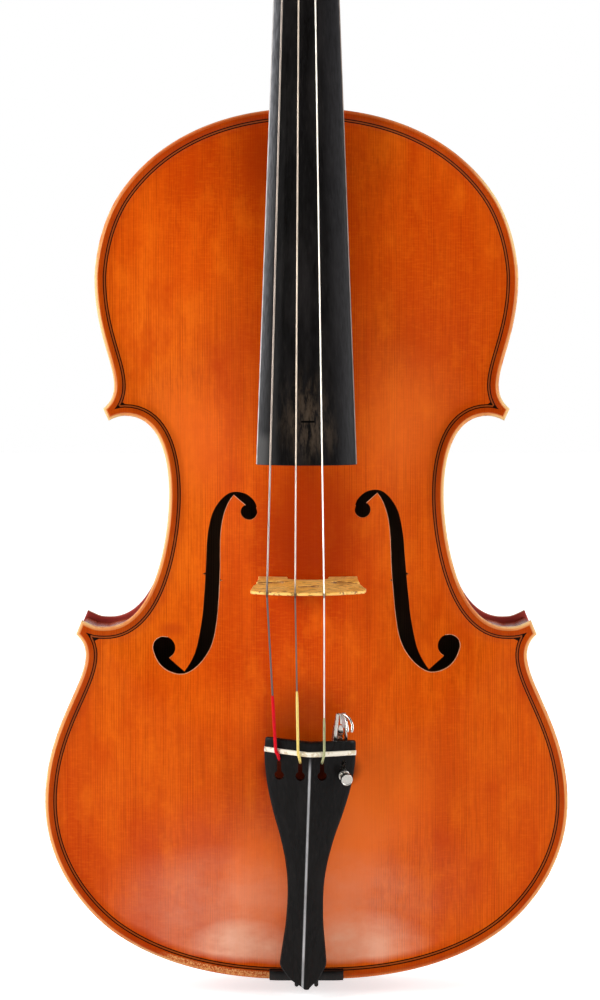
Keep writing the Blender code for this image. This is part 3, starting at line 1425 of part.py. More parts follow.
def make_tuner(steel):
    pin_t, pin_n = TUNER_PIN
    plate_top, plate_low = -5.9, -6.9
    frame = tuner_profile("tuner_frame", [(-4, plate_low), (15, plate_low), (15, plate_top),
                                          (-4, plate_top)], 3.2, steel)
    for hand in (1, -1):
        cheek_outline = [(9.0, plate_low + 0.3), (15, plate_low + 0.3), (15, -8.6),
                         (13.6, -10.6), (10.4, -10.6), (9.0, -8.6)]
        plate_cheek = tuner_profile("tuner_cheek_%d" % hand, cheek_outline, 0.4, steel, "cutters")
        shift = tuner_frame_matrix(hand * 2.8, 0, 0).translation
        plate_cheek.location = shift - tuner_frame_matrix(0, 0, 0).translation
        join(frame, plate_cheek)
    join(frame, tuner_rod("tuner_post", 1.8, plate_top - 0.5, 2.4, steel))
    cut(frame, tuner_rod("tuner_bore", TUNER_SCREW + 0.3, plate_low - 2, 4, None))
    start = tuner_frame_matrix(-5, pin_t, pin_n).translation
    end = tuner_frame_matrix(5, pin_t, pin_n).translation
    cut(frame, rod("tuner_pin_bore", start, end, (PIN_RADIUS + 0.3) * MM, sides=16))
    smooth(frame)
    outline = [
        (-2.4, -11.6), (11.0, -12.0), (14.0, -11.6), (18.6, -9.4), (21.4, -5.4), (24.6, -1.6),
        (29.3, 0.6), (28.6, 1.9), (23.4, -0.5), (20.0, -4.4), (17.6, -7.6), (13.6, -7.6),
        (10.6, -7.6), (9.0, -10.2), (-2.4, TUNER_TIP - 0.3),
    ]
    lever = tuner_profile("tuner_lever", outline, 2.0, steel,
                          holes=(circle(TUNER_PIN, PIN_RADIUS + 0.3),))
    split = tuner_profile("tuner_fork", [(21.5, -12), (34, -12), (34, 6), (21.5, 6)], 0.75,
                          None, "cutters")
    cut(lever, split)
    pin_place = tuner_frame_matrix(0, pin_t, pin_n).translation
    hang(smooth(lever, 30), pin_place)
    start = tuner_frame_matrix(-3.5, pin_t, pin_n).translation
    end = tuner_frame_matrix(3.5, pin_t, pin_n).translation
    smooth(rod("tuner_pin", start, end, PIN_RADIUS * MM, steel, PIECES, 16))
    ring_nut = tuner_rod("tuner_nut", TUNER_COLLAR, 0.5, 2.0, steel, PIECES, sides=24)
    cut(ring_nut, tuner_rod("tuner_nut_bore", 2.1, -1, 4, None))
    smooth(ring_nut)
    head, low, high = TUNER_HEAD
    screw = turned("tuner_screw", [(r * MM, z * MM) for r, z in [
        (0.0, high), (head * 0.8, high), (head, high - 0.4), (head, low + 0.4),
        (head * 0.8, low), (TUNER_SCREW, low), (TUNER_SCREW, TUNER_TIP + 0.3),
        (TUNER_SCREW * 0.6, TUNER_TIP), (0.0, TUNER_TIP)]], steel, 20)
    screw.matrix_world = tuner_frame_matrix(0, 0, 0)
    smooth(screw)


def main():
    clear_scene()
    varnish = material("red-brown varnish", (0.50, 0.13, 0.035), 0.32)
    maple = material("varnished maple", (0.42, 0.12, 0.035), 0.32)
    pale = material("bare spruce", (0.66, 0.48, 0.28), 0.7)
    ebony = material("ebony", (0.012, 0.011, 0.011), 0.38)
    bridge_wood = material("bridge maple", (0.52, 0.33, 0.15), 0.55)
    bone = material("white fret", (0.82, 0.80, 0.76), 0.4)
    cord = material("black nylon", (0.01, 0.01, 0.01), 0.5)
    nickel = material("nickel plate", (0.62, 0.60, 0.56), 0.25, 1.0)
    wound = material("wound silver", (0.62, 0.62, 0.60), 0.3, 1.0)
    silks = {
        "c": material("red silk", (0.45, 0.02, 0.03), 0.7),
        "g": material("yellow silk", (0.75, 0.55, 0.06), 0.7),
        "d": material("pale green silk", (0.45, 0.62, 0.42), 0.7),
    }
    make_body(varnish, maple, maple, pale)
    make_fingerboard(ebony)
    make_neck(maple)
    make_nut(ebony)
    make_bridge(bridge_wood)
    make_saddle(ebony)
    make_tailpiece(ebony, bone)
    make_tail_end(ebony, cord)
    make_strings({name: wound for name in SILK_ENDS}, silks)
    make_pegs(ebony)
    make_tuner(nickel)
    print("pieces:", sum(obj.type != "EMPTY" for obj in lay(PIECES).objects))


main()
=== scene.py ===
# %% [markdown]
# # A viola, photographed from the front
#
# This lesson dresses a finished solid model of a viola. The solids give every piece its place and
# size; here each surface gets the detail that a camera sees. A viola is mostly two carved plates of
# wood under a transparent oil varnish, so most of the work is wood: how its grain runs, how the
# varnish darkens it, and where years of playing have rubbed it away.
#
# Lengths are in metres. +Z runs up the neck, +X is the side of the thinner strings, and the carved
# front faces -Y, towards the camera.

# %% load the solid model
import bpy
import bmesh
import math
import numpy as np
from mathutils import Matrix, Vector
from mathutils.geometry import delaunay_2d_cdt, intersect_line_line_2d


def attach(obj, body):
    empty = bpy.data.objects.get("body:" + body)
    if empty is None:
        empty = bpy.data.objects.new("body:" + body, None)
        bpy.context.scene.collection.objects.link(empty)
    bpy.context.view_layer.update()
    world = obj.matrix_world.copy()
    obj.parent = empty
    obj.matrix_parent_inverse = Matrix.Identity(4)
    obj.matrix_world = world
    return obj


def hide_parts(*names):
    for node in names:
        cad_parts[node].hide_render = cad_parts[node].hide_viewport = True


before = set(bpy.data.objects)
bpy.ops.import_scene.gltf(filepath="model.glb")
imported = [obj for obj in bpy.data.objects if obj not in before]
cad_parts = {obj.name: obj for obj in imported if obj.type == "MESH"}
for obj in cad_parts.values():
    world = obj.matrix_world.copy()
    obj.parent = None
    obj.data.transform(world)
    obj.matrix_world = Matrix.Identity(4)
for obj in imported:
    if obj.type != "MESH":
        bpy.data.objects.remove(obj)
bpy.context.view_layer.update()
MM = 0.001
BODY = "instrument"

# %% [markdown]
# ## The camera
#
# The photograph was taken square to the front from about a metre and a half, with the lens at the
# height of the bridge's upper end, so that both sides of the body look alike and the tailpiece
# is seen a little from above. A view camera does this by sliding the film, and Blender's camera
# has the same movement as a shift. A short tilt does the rest, which keeps the shift small.

# %% place the camera
BUTTON_OUT = 7 * MM                 # the end button stands out of the body's bottom edge
RIB_HEIGHT = 38 * MM
EDGE_THICK = 4 * MM
FRONT_PLANE = -(RIB_HEIGHT / 2 + EDGE_THICK)
CAMERA_DISTANCE = 1.448
CAMERA_UP = 0.339 + BUTTON_OUT
LONG_SIDE = 1000                    # the photograph's height, in its own pixels
PIXELS_PER_METRE = 2136             # at the plate's edge
camera_data = bpy.data.cameras.new("camera")
camera_data.sensor_width = 36
camera_data.lens = camera_data.sensor_width * PIXELS_PER_METRE * CAMERA_DISTANCE / LONG_SIDE
TILT = math.radians(0.8)
camera_data.shift_y = -0.2425 + math.tan(TILT) * camera_data.lens / camera_data.sensor_width
camera = bpy.data.objects.new("camera", camera_data)
camera.location = (-0.003, FRONT_PLANE - CAMERA_DISTANCE, CAMERA_UP)
camera.rotation_euler = (math.pi / 2 - TILT, 0, 0)
bpy.context.scene.collection.objects.link(camera)
bpy.context.scene.camera = camera
bpy.context.scene.view_settings.view_transform = "Standard"
print("lens %.1f mm, shift %.3f" % (camera_data.lens, camera_data.shift_y))

# %% [markdown]
# ## The finish helpers
#
# Every finish below is a small tree of shader nodes. Three short helpers keep those trees easy to
# read: one starts a finish, one adds a node, and one mixes two colours. The textures are measured
# in real metres by giving them the object's own coordinates, so a grain line stays one grain line
# wide however the piece is cut.

# %% three helpers for finishes


def start_finish(name, roughness=0.5, metallic=0.0):
    """A new finish: its material, its node tree and its main shader."""
    finish = bpy.data.materials.new(name)
    finish.use_nodes = True
    tree = finish.node_tree
    shader = tree.nodes["Principled BSDF"]
    shader.inputs["Roughness"].default_value = roughness
    shader.inputs["Metallic"].default_value = metallic
    return finish, tree, shader


def add(tree, kind, settings=None, **inputs):
    """Add a node; inputs are numbers, colours, or the outputs of other nodes."""
    node = tree.nodes.new("ShaderNode" + kind)
    for name, value in (settings or {}).items():
        setattr(node, name, value)
    for name, value in inputs.items():
        socket = node.inputs[int(name[1:])] if name[0] == "i" and name[1:].isdigit() \
            else node.inputs[name.replace("_", " ")]
        if isinstance(value, bpy.types.NodeSocket):
            tree.links.new(value, socket)
        else:
            socket.default_value = value
    return node


def mix(tree, share, first, second, how="MIX"):
    """Blend two colours; share is a number or an output."""
    node = add(tree, "Mix", {"data_type": "RGBA", "blend_type": how})
    for socket, value in ((node.inputs[0], share), (node.inputs[6], first),
                          (node.inputs[7], second)):
        if isinstance(value, bpy.types.NodeSocket):
            tree.links.new(value, socket)
        else:
            socket.default_value = value
    return node.outputs[2]


def ramp(tree, value, stops):
    """Turn a number into another one, or a colour, along a few stops."""
    node = add(tree, "ValToRGB", None, Fac=value)
    elements = node.color_ramp.elements
    while len(elements) < len(stops):
        elements.new(0.5)
    for element, (place, colour) in zip(elements, stops):
        element.position = place
        element.color = colour if isinstance(colour, tuple) else (colour, colour, colour, 1)
    return node.outputs[0]


def stretched(tree, scale):
    """The piece's own coordinates, in metres times a scale along each axis."""
    place = add(tree, "TexCoord").outputs["Object"]
    return add(tree, "Mapping", {}, Vector=place, Scale=scale).outputs[0]


def noise(tree, scale, detail=2.0, roughness=0.5, size=1.0, distortion=0.0):
    return add(tree, "TexNoise", {}, Vector=stretched(tree, scale), Scale=size, Detail=detail,
               Roughness=roughness, Distortion=distortion).outputs[0]


def bump(tree, shader, value, depth, strength=1.0):
    node = add(tree, "Bump", {}, Height=value, Distance=depth, Strength=strength)
    tree.links.new(node.outputs[0], shader.inputs["Normal"])
    return node


def math_node(tree, how, a, b=0.0, clamp=False):
    return add(tree, "Math", {"operation": how, "use_clamp": clamp}, i0=a, i1=b).outputs[0]


print("helpers ready")

# %% [markdown]
# ## Floor, backdrop and light
#
# The instrument stands on its end button on a white studio sweep. The room round it is white
# behind the instrument and dark behind the camera, as in a real studio: the white part gives the
# rims their bright outline, and the dark part keeps the varnish deep, because a glossy surface
# shows whatever stands in front of it. Two large soft lamps, one at each side, light the front.
# They stand so far to the side that the eye sees no reflection of them in the flat of the plate.

# %% floor, room and lamps
FLOOR_SIDE = 8.0
GLOW_FROM = -0.30                   # the sweep glows from here backwards, in metres along Y
GLOW_FULL = -0.04
WHITE_FOR_EYE = 0.62


def sweep_finish(name, seen):
    """White paper that also counts as white to the camera and in reflections."""
    finish, tree, shader = start_finish(name, roughness=1.0)
    shader.inputs["Specular IOR Level"].default_value = 0.0
    grain = noise(tree, (3, 3, 3))
    tree.links.new(ramp(tree, grain, [(0, (0.86, 0.86, 0.86, 1)), (1, (0.9, 0.9, 0.9, 1))]),
                   shader.inputs["Base Color"])
    path = add(tree, "LightPath")
    eye = math_node(tree, "MAXIMUM", path.outputs["Is Camera Ray"],
                    math_node(tree, "MAXIMUM", path.outputs["Is Glossy Ray"],
                              path.outputs["Is Transmission Ray"]))
    depth = add(tree, "SeparateXYZ", None, Vector=add(tree, "TexCoord").outputs["Object"])
    share = add(tree, "MapRange", {"interpolation_type": "SMOOTHSTEP"},
                Value=depth.outputs["Y"], i1=GLOW_FROM, i2=GLOW_FULL, i3=0.0, i4=seen)
    glow = add(tree, "Emission", None, Color=(1, 1, 1, 1), Strength=share.outputs[0])
    nothing = add(tree, "Emission", None, Color=(1, 1, 1, 1), Strength=0.0)
    chosen = add(tree, "MixShader", None, i0=eye, i1=nothing.outputs[0], i2=glow.outputs[0])
    both = add(tree, "AddShader", None, i0=shader.outputs[0], i1=chosen.outputs[0])
    tree.links.new(both.outputs[0], tree.nodes["Material Output"].inputs["Surface"])
    return finish


def flat_sheet(name, corners, finish):
    data = bpy.data.meshes.new(name)
    data.from_pydata(corners, [], [tuple(range(len(corners)))])
    sheet = bpy.data.objects.new(name, data)
    data.materials.append(finish)
    bpy.context.scene.collection.objects.link(sheet)
    return sheet


def add_lamp(name, place, aim, watts, wide, tall):
    data = bpy.data.lights.new(name, "AREA")
    data.shape = "RECTANGLE"
    data.size = wide
    data.size_y = tall
    data.energy = watts
    lamp = bpy.data.objects.new(name, data)
    lamp.location = place
    lamp.rotation_euler = (Vector(aim) - Vector(place)).to_track_quat("-Z", "Y").to_euler()
    bpy.context.scene.collection.objects.link(lamp)
    return lamp


half = FLOOR_SIDE / 2
sweep = sweep_finish("white_sweep", WHITE_FOR_EYE)
flat_sheet("floor", [(-half, -half, -0.0006), (half, -half, -0.0006), (half, half, -0.0006),
                     (-half, half, -0.0006)], sweep)
add_lamp("left_lamp", (-1.9, -0.95, 0.75), (0, 0, 0.28), 49, 0.9, 1.5)
add_lamp("right_lamp", (1.95, -1.0, 0.72), (0, 0, 0.28), 36.5, 0.9, 1.5)
world = bpy.data.worlds.new("studio")
world.use_nodes = True
bpy.context.scene.world = world
tree = world.node_tree
path = add(tree, "LightPath")
behind = add(tree, "SeparateXYZ", None, Vector=add(tree, "TexCoord").outputs["Generated"])
room = ramp(tree, math_node(tree, "MULTIPLY_ADD", behind.outputs["Y"], 0.5),
            [(0.44, 0.035), (0.56, 1.0)])
tree.nodes["Math"].inputs[2].default_value = 0.5
plain = tree.nodes["Background"]
plain.inputs["Strength"].default_value = 0.9
tree.links.new(room, plain.inputs["Color"])
backdrop = add(tree, "Background", None, Color=(1, 1, 1, 1), Strength=1.0)
chosen = add(tree, "MixShader", None, i0=path.outputs["Is Camera Ray"], i1=plain.outputs[0],
             i2=backdrop.outputs[0])
tree.links.new(chosen.outputs[0], tree.nodes["World Output"].inputs["Surface"])

# %% [markdown]
# ## The outline of the body
#
# A viola's outline is a chain of arcs: two lower bouts, two waists, two upper bouts, joined in four
# short square corners. The maker drew it once as a template and took every other line of the body
# from it by a compass: the ribs, the purfling and the channel all follow it at a fixed distance.
# The same is done here. One half is a chain of Bezier curves, any other line is that chain moved
# inwards, and how far a point lies from the edge becomes a number that shapes and colours can use.

# %% draw the outline and move it inwards
BODY_LENGTH = 409 * MM
LOWER_BOUT = [
    (0.0, 0.0, 0.0, 0.0, 10.2), (90.5, 22.1, 35.7, 41.6, 9.2),
    (122.7, 83.6, 90.0, 34.8, 42.5), (108.05, 162.2, 41.6, 21.0, 0.0),
]
C_BOUT = [
    (105.4, 168.7, 205.5, 0.0, 6.9), (94.7, 165.6, 181.0, 4.6, 24.5),
    (64.4, 227.7, 90.0, 17.4, 15.8), (85.1, 264.8, 0.0, 17.1, 2.0),
    (92.7, 262.5, -30.0, 3.0, 0.0),
]
UPPER_BOUT = [
    (95.3, 268.1, 139.8, 0.0, 17.8), (99.3, 329.3, 90.0, 34.0, 5.0),
    (86.8, 370.0, 125.2, 18.9, 29.2), (0.0, 409.0, 180.0, 40.6, 0.0),
]
POINT_STEP = 2.2 * MM               # distance between points of the finer outline


def height(body_height):
    return body_height + BUTTON_OUT


def front(above):
    return FRONT_PLANE - above


def bezier(a, b):
    """Points and headings along one arc, from a to b."""
    def handle(station, reach):
        turn = math.radians(station[2])
        return Vector((station[0] + reach * math.cos(turn), station[1] + reach * math.sin(turn)))
    p0, p3 = Vector(a[:2]), Vector(b[:2])
    p1, p2 = handle(a, a[4]), handle(b, -b[3])
    count = max(4, round((p3 - p0).length * MM / POINT_STEP))
    found = []
    for k in range(count + 1):
        t, s = k / count, 1 - k / count
        place = s ** 3 * p0 + 3 * s * s * t * p1 + 3 * s * t * t * p2 + t ** 3 * p3
        pull = s * s * (p1 - p0) + 2 * s * t * (p2 - p1) + t * t * (p3 - p2)
        found.append((place * MM, pull.normalized()))
    return found


def bout(stations, inset, reach=2 * MM):
    """One bout moved inwards, and run on a little at its corner ends."""
    path = []
    for a, b in zip(stations, stations[1:]):
        path += bezier(a, b)[0 if not path else 1:]
    moved = [p + Vector((-h.y, h.x)) * inset for p, h in path]
    if stations[0][0] > 0:
        moved.insert(0, moved[0] - path[0][1] * reach)
    if stations[-1][0] > 0:
        moved.append(moved[-1] + path[-1][1] * reach)
    return moved


def crossing(a, b):
    for i in reversed(range(len(a) - 1)):
        for j in range(len(b) - 1):
            hit = intersect_line_line_2d(a[i], a[i + 1], b[j], b[j + 1])
            if hit is not None:
                return i, j, hit
    return None


def meet(a, low, high, inset, b):
    """Join two bouts round a corner, with its short straight end where there is room."""
    p, q = Vector(low[:2]) * MM, Vector(high[:2]) * MM
    along = (q - p).normalized()
    push = Vector((-along.y, along.x)) * inset
    end_line = [p + push - along * 3 * MM, q + push + along * 3 * MM]
    first, second = crossing(a, end_line), crossing(end_line, b)
    if first and second and (first[2] - second[2]).dot(along) < 0:
        return a[:first[0] + 1] + [first[2]], [second[2]] + b[second[1] + 1:]
    i, j, hit = crossing(a, b)
    return a[:i + 1] + [hit], b[j + 1:]


def ring(inset):
    """The whole outline moved inwards, anticlockwise seen from the front."""
    low, waist, top = (bout(stations, inset) for stations in (LOWER_BOUT, C_BOUT, UPPER_BOUT))
    low, waist = meet(low, LOWER_BOUT[-1], C_BOUT[0], inset, waist)
    waist, top = meet(waist, C_BOUT[-1], UPPER_BOUT[0], inset, top)
    low[0].x = 0.0
    top[-1].x = 0.0
    half_way = []
    for place in low + waist + top:
        if not half_way or (place - half_way[-1]).length > 0.25 * MM:
            half_way.append(place)
    return half_way + [Vector((-p.x, p.y)) for p in reversed(half_way[1:-1])]


outline = np.array([tuple(p) for p in ring(0.0)])


def edge_distance(places, loop=outline):
    """Distance of many points from the edge, found one side of the loop at a time."""
    places = np.asarray(places, float)
    nearest = np.full(len(places), 1.0)
    for a, b in zip(loop, np.roll(loop, -1, axis=0)):
        side = b - a
        t = np.clip(((places - a) @ side) / (side @ side), 0, 1)
        nearest = np.minimum(nearest, np.linalg.norm(places - a - t[:, None] * side, axis=1))
    return nearest


def inside(places, loop):
    places = np.asarray(places, float)
    odd = np.zeros(len(places), bool)
    for a, b in zip(loop, np.roll(loop, -1, axis=0)):
        spans = (a[1] > places[:, 1]) != (b[1] > places[:, 1])
        rise = b[1] - a[1] if b[1] != a[1] else 1.0
        odd ^= spans & (places[:, 0] < a[0] + (places[:, 1] - a[1]) / rise * (b[0] - a[0]))
    return odd


print("outline points:", len(outline), "body %.0f x %.0f mm" %
      (np.ptp(outline[:, 0]) / MM, np.ptp(outline[:, 1]) / MM))

# %% [markdown]
# ## The carved plates
#
# Each plate starts as a flat board. The carver leaves a raised, rounded edge, cuts a shallow channel
# inside it, and lets the arch rise from the channel to the middle. Seen in Blender terms the outer
# face is a height above the outline for every point of it, so the plate is built as a sheet of
# triangles over the outline, with extra rings of points where the edge, the purfling and the
# channel need them. A Boolean would cut the sound holes too, but here their lines take part in
# the triangulation itself, which keeps their edges as thin and clean as the knife left them.

# %% the height of a plate
EDGE_ROUND = 0.9 * MM
CREST_INSET = 1.8 * MM
CREST = 0.5 * MM
CHANNEL_INSET = 7.0 * MM
CHANNEL = -0.6 * MM
ARCH_RISE = 14.0 * MM
PLATE_THICK = 3.0 * MM
INSIDE_RIM = 7.2 * MM
SPINE = (95 * MM, 330 * MM)


def outer_height(places):
    """How far the outer face stands in front of the edge plane, and the edge distance."""
    places = np.asarray(places, float)
    edge = edge_distance(places)
    rounded = -EDGE_ROUND + np.sqrt(np.maximum(
        0, EDGE_ROUND ** 2 - (EDGE_ROUND - np.minimum(edge, EDGE_ROUND)) ** 2))
    to_crest = CREST * (edge - EDGE_ROUND) / (CREST_INSET - EDGE_ROUND)
    fall = np.clip((edge - CREST_INSET) / (CHANNEL_INSET - CREST_INSET), 0, 1)
    in_channel = CREST + (CHANNEL - CREST) * (1 - np.cos(math.pi * fall)) / 2
    above = np.where(edge < EDGE_ROUND, rounded, np.where(edge < CREST_INSET, to_crest,
                                                          in_channel))
    inner = np.maximum(edge - CHANNEL_INSET, 0)
    spine = np.stack([np.zeros(len(places)), np.clip(places[:, 1], *SPINE)], axis=1)
    away = np.linalg.norm(places - spine, axis=1)
    share = inner / np.maximum(inner + away, 1e-9)
    swell = (1 - np.cos(math.pi * share ** 0.8)) / 2
    return np.where(edge < CHANNEL_INSET, above, CHANNEL + (ARCH_RISE - CHANNEL) * swell), edge


def inner_height(places):
    """The hollowed inner face, measured from the same edge plane."""
    above, edge = outer_height(places)
    rim = -EDGE_THICK
    rounded = rim + EDGE_ROUND - np.sqrt(np.maximum(
        0, EDGE_ROUND ** 2 - (EDGE_ROUND - np.minimum(edge, EDGE_ROUND)) ** 2))
    z = np.asarray(places, float)[:, 1]
    over_block = np.minimum(z - 24 * MM, BODY_LENGTH - 26 * MM - z)
    ease = np.clip(np.minimum(over_block / (8 * MM), (edge - INSIDE_RIM) / (4 * MM)), 0, 1)
    hollow = rim + np.maximum(0, above - PLATE_THICK - rim) * ease
    return np.where(edge < EDGE_ROUND, rounded, hollow), edge


peak, _ = outer_height([(0, 0.2)])
print("arch height %.1f mm" % (peak[0] / MM))

# %% [markdown]
# ## The sound holes
#
# Each sound hole is two round eyes joined by a slim S-shaped stem that the maker cuts with a thin
# knife, and two small nicks half way down mark where the bridge stands. At each end the stem runs
# out into a sharp tongue of wood beside the eye. So the two long sides are drawn as two smooth
# curves and the tongues stay straight. These holes were cut by eye: the bass one sits a millimetre
# lower and leans out a little.

# %% draw the sound holes
UPPER_EYE = (26.2, 221.5, 3.7)
LOWER_EYE = (66.8, 157.2, 5.3)
SIDE_BY_STRINGS = [                 # from the upper tongue's tip down and round to the lower eye
    (33.1, 229.2), (34.8, 226.7), (36.3, 223.5), (37.7, 219.1), (38.6, 214.4), (39.1, 209.2),
    (39.4, 202.8), (39.7, 194.6), (40.3, 186.0), (41.0, 178.2), (41.5, 173.0), (42.2, 167.9),
    (43.2, 162.7), (44.8, 158.0), (47.1, 153.9), (50.2, 150.0), (53.9, 146.9), (57.5, 145.3),
    (61.1, 145.3), (65.3, 146.7), (68.4, 149.1), (70.5, 152.1), (71.8, 155.4),
]
SIDE_BY_EDGE = [                    # from the lower tongue's tip up and round to the upper eye
    (57.2, 146.5), (54.1, 151.3), (51.8, 156.4), (50.4, 162.2), (49.3, 167.9), (48.5, 173.0),
    (48.0, 178.2), (47.2, 186.0), (46.6, 192.9), (46.1, 199.3), (45.7, 205.1), (45.1, 210.3),
    (44.2, 215.6), (43.0, 220.0), (41.2, 223.7), (38.9, 227.0), (36.0, 229.6), (33.5, 230.6),
    (30.8, 230.7), (27.8, 229.9), (25.2, 228.1), (23.5, 226.0), (22.6, 223.7),
]
TONGUE_ROOTS = ((64.2, 152.3), (27.8, 224.6))      # where each tongue meets its eye
BASS_LOWER = 1.0
BASS_LEAN = ((145, -0.2), (178, 0.1), (208, 1.1), (221, 1.1), (230, 0.8))
HOLE_NICKS = ((191.0, 1), (188.3, -1))


def through_points(stations, per_span):
    """A smooth curve through every station, for points of any dimension."""
    known = np.asarray(stations, float)
    padded = np.vstack([2 * known[0] - known[1], known, 2 * known[-1] - known[-2]])
    found = []
    for k in range(len(known) - 1):
        a, b, c, d = padded[k:k + 4]
        for step in range(per_span):
            t = step / per_span
            found.append(0.5 * (2 * b + (c - a) * t + (2 * a - 5 * b + 4 * c - d) * t ** 2
                                + (3 * b - a - 3 * c + d) * t ** 3))
    found.append(known[-1])
    return np.array(found)


def on_side(points, side):
    """Points of the treble hole in metres, or mirrored, lowered and leaned for the bass hole."""
    if side > 0:
        return [(x * MM, z * MM) for x, z in points]
    heights, leans = zip(*BASS_LEAN)
    placed = []
    for x, z in points:
        share = min(1.0, 0.4 + max(0.0, x - 26) / 12)
        lean = share * float(np.interp(z - BASS_LOWER, heights, leans))
        placed.append((-(x + lean) * MM, (z - BASS_LOWER) * MM))
    return placed


def hole_polygons(side):
    """The polygons of one sound hole on the treble (1) or bass (-1) side, in metres."""
    inner = [tuple(p) for p in through_points(SIDE_BY_STRINGS, 4)]
    outer = [tuple(p) for p in through_points(SIDE_BY_EDGE, 4)]
    stem = inner + [LOWER_EYE[:2], TONGUE_ROOTS[0]] + outer + [UPPER_EYE[:2], TONGUE_ROOTS[1]]
    polygons = [on_side(stem, side)]
    for x, z, radius in (UPPER_EYE, LOWER_EYE):
        turn = np.linspace(0, 2 * math.pi, 40, endpoint=False)
        polygons.append(on_side(list(zip(x + radius * np.cos(turn), z + radius * np.sin(turn))),
                                side))
    for level, way in HOLE_NICKS:
        level += 0.5 * (1 - side) * BASS_LOWER
        line = outer if way > 0 else inner
        x = min(line, key=lambda p: abs(p[1] - level))[0]
        polygons.append(on_side([(x - way, level - 1.1), (x + way * 1.3, level),
                                 (x - way, level + 1.1)], side))
    return polygons


sound_holes = hole_polygons(1) + hole_polygons(-1)
print("sound hole polygons:", len(sound_holes))

# %% [markdown]
# ## One sheet of triangles, used twice
#
# The plate's outer and inner faces share one flat triangulation over the outline, so their rims match
# point for point and a wall of quads closes the plate, round the outline and down the sound holes.
# Every point keeps its distance from the edge as an attribute. Later the finish reads it to lay
# the purfling, the worn rim and the painted highlight along it, which no texture could place as exactly.

# %% build the two plates
RINGS_AT = (0.0, 0.3, 0.6, 0.9, 1.35, 1.8, 2.8, 4.0, 5.4, 7.0, 9.5, 13.0)
GRID = 5 * MM
SADDLE_HALF = 17.37 * MM            # notches, in which the pieces sit tight
SADDLE_LONG = 5.0 * MM
ROOT_HALF = 16.52 * MM
ROOT_BOTTOM = BODY_LENGTH - 9.3 * MM
BUTTON_RADIUS = 10.5 * MM
BUTTON_MIDDLE = BODY_LENGTH + 3.5 * MM


def sheet_of_triangles(holes):
    """Points, triangles and rim edges over the outline, without the holes."""
    points, edges = [], []
    for inset in RINGS_AT:
        loop = ring(inset * MM)
        start = len(points)
        points += [tuple(p) for p in loop]
        edges += [(start + i, start + (i + 1) % len(loop)) for i in range(len(loop))]
    inner = np.array([tuple(p) for p in loop])
    columns, rows = np.arange(-26, 27), np.arange(2, 82)
    grid = np.array([(c * GRID, r * GRID + (c % 2) * GRID / 2) for c in columns for r in rows])
    grid = grid[inside(grid, inner)]
    grid = grid[edge_distance(grid, inner) > 0.45 * GRID]
    corners = np.array([corner for polygon in holes for corner in polygon])
    if len(corners):
        gap = np.linalg.norm(grid[:, None] - corners[None], axis=2).min(axis=1)
        in_hole = np.zeros(len(grid), bool)
        for polygon in holes:
            in_hole |= inside(grid, np.array(polygon))
        grid = grid[(gap > 0.3 * GRID) & ~in_hole]
    points += [tuple(p) for p in grid]
    faces = []
    for polygon in holes:
        area = sum(a[0] * b[1] - b[0] * a[1] for a, b in zip(polygon, polygon[1:] + polygon[:1]))
        loop = polygon if area > 0 else polygon[::-1]
        faces.append(tuple(range(len(points), len(points) + len(loop))))
        points += [tuple(p) for p in loop]
    flat, _, triangles, _, _, owners = delaunay_2d_cdt(
        [Vector(p) for p in points], edges, faces, 1, 1e-7)
    flat = np.array([tuple(p) for p in flat])
    kept = [t for t, owner in zip(triangles, owners) if not owner]
    middles = flat[np.array([t[:3] for t in kept])].mean(axis=1)
    in_body = inside(middles, outline)
    kept = [t for t, good in zip(kept, in_body) if good]
    sides = {}
    for triangle in kept:
        for a, b in zip(triangle, triangle[1:] + triangle[:1]):
            sides[(a, b)] = True
    rim = [(a, b) for a, b in sides if (b, a) not in sides]
    return flat, kept, rim


def build_plate(name, holes, side, finishes):
    """A carved plate; side is -1 in front and 1 behind. Its finishes are outer and inner."""
    flat, triangles, rim = sheet_of_triangles(holes)
    outer, edge = outer_height(flat)
    inner, _ = inner_height(flat)
    count = len(flat)
    above = np.concatenate([outer, inner])
    both = np.vstack([flat, flat])
    points = np.stack([both[:, 0], -side * (FRONT_PLANE - above), both[:, 1] + BUTTON_OUT], 1)
    faces = [tuple(t) for t in triangles] + [tuple(count + i for i in reversed(t))
                                             for t in triangles]
    slots = [0] * len(triangles) + [1] * len(triangles)
    for a, b in rim:
        faces.append((b, a, count + a, count + b))
        slots.append(0 if max(edge[a], edge[b]) < 1e-5 else 2)
    if side > 0:
        faces = [tuple(reversed(face)) for face in faces]
    data = bpy.data.meshes.new(name)
    data.from_pydata(points.tolist(), [], faces)
    data.attributes.new("edge", "FLOAT", "POINT").data.foreach_set(
        "value", np.concatenate([edge, edge]).astype(np.float32))
    for finish in finishes:
        data.materials.append(finish)
    data.polygons.foreach_set("material_index", np.array(slots, np.int32))
    data.shade_smooth()
    data.set_sharp_from_angle(angle=math.radians(50))
    return finished_piece(name, data)


def finished_piece(name, data, body=BODY):
    """Put a mesh on stage as a piece that rides on a body."""
    piece = bpy.data.objects.new(name, data)
    bpy.context.scene.collection.objects.link(piece)
    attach(piece, body)
    return piece


def box_polygon(x, low, high):
    return [(-x, low), (x, low), (x, high), (-x, high)]


front_notches = [box_polygon(SADDLE_HALF, -3 * MM, SADDLE_LONG),
                 box_polygon(ROOT_HALF, ROOT_BOTTOM, BODY_LENGTH + 3 * MM)]
print("sheet points:", len(sheet_of_triangles(sound_holes + front_notches)[0]))
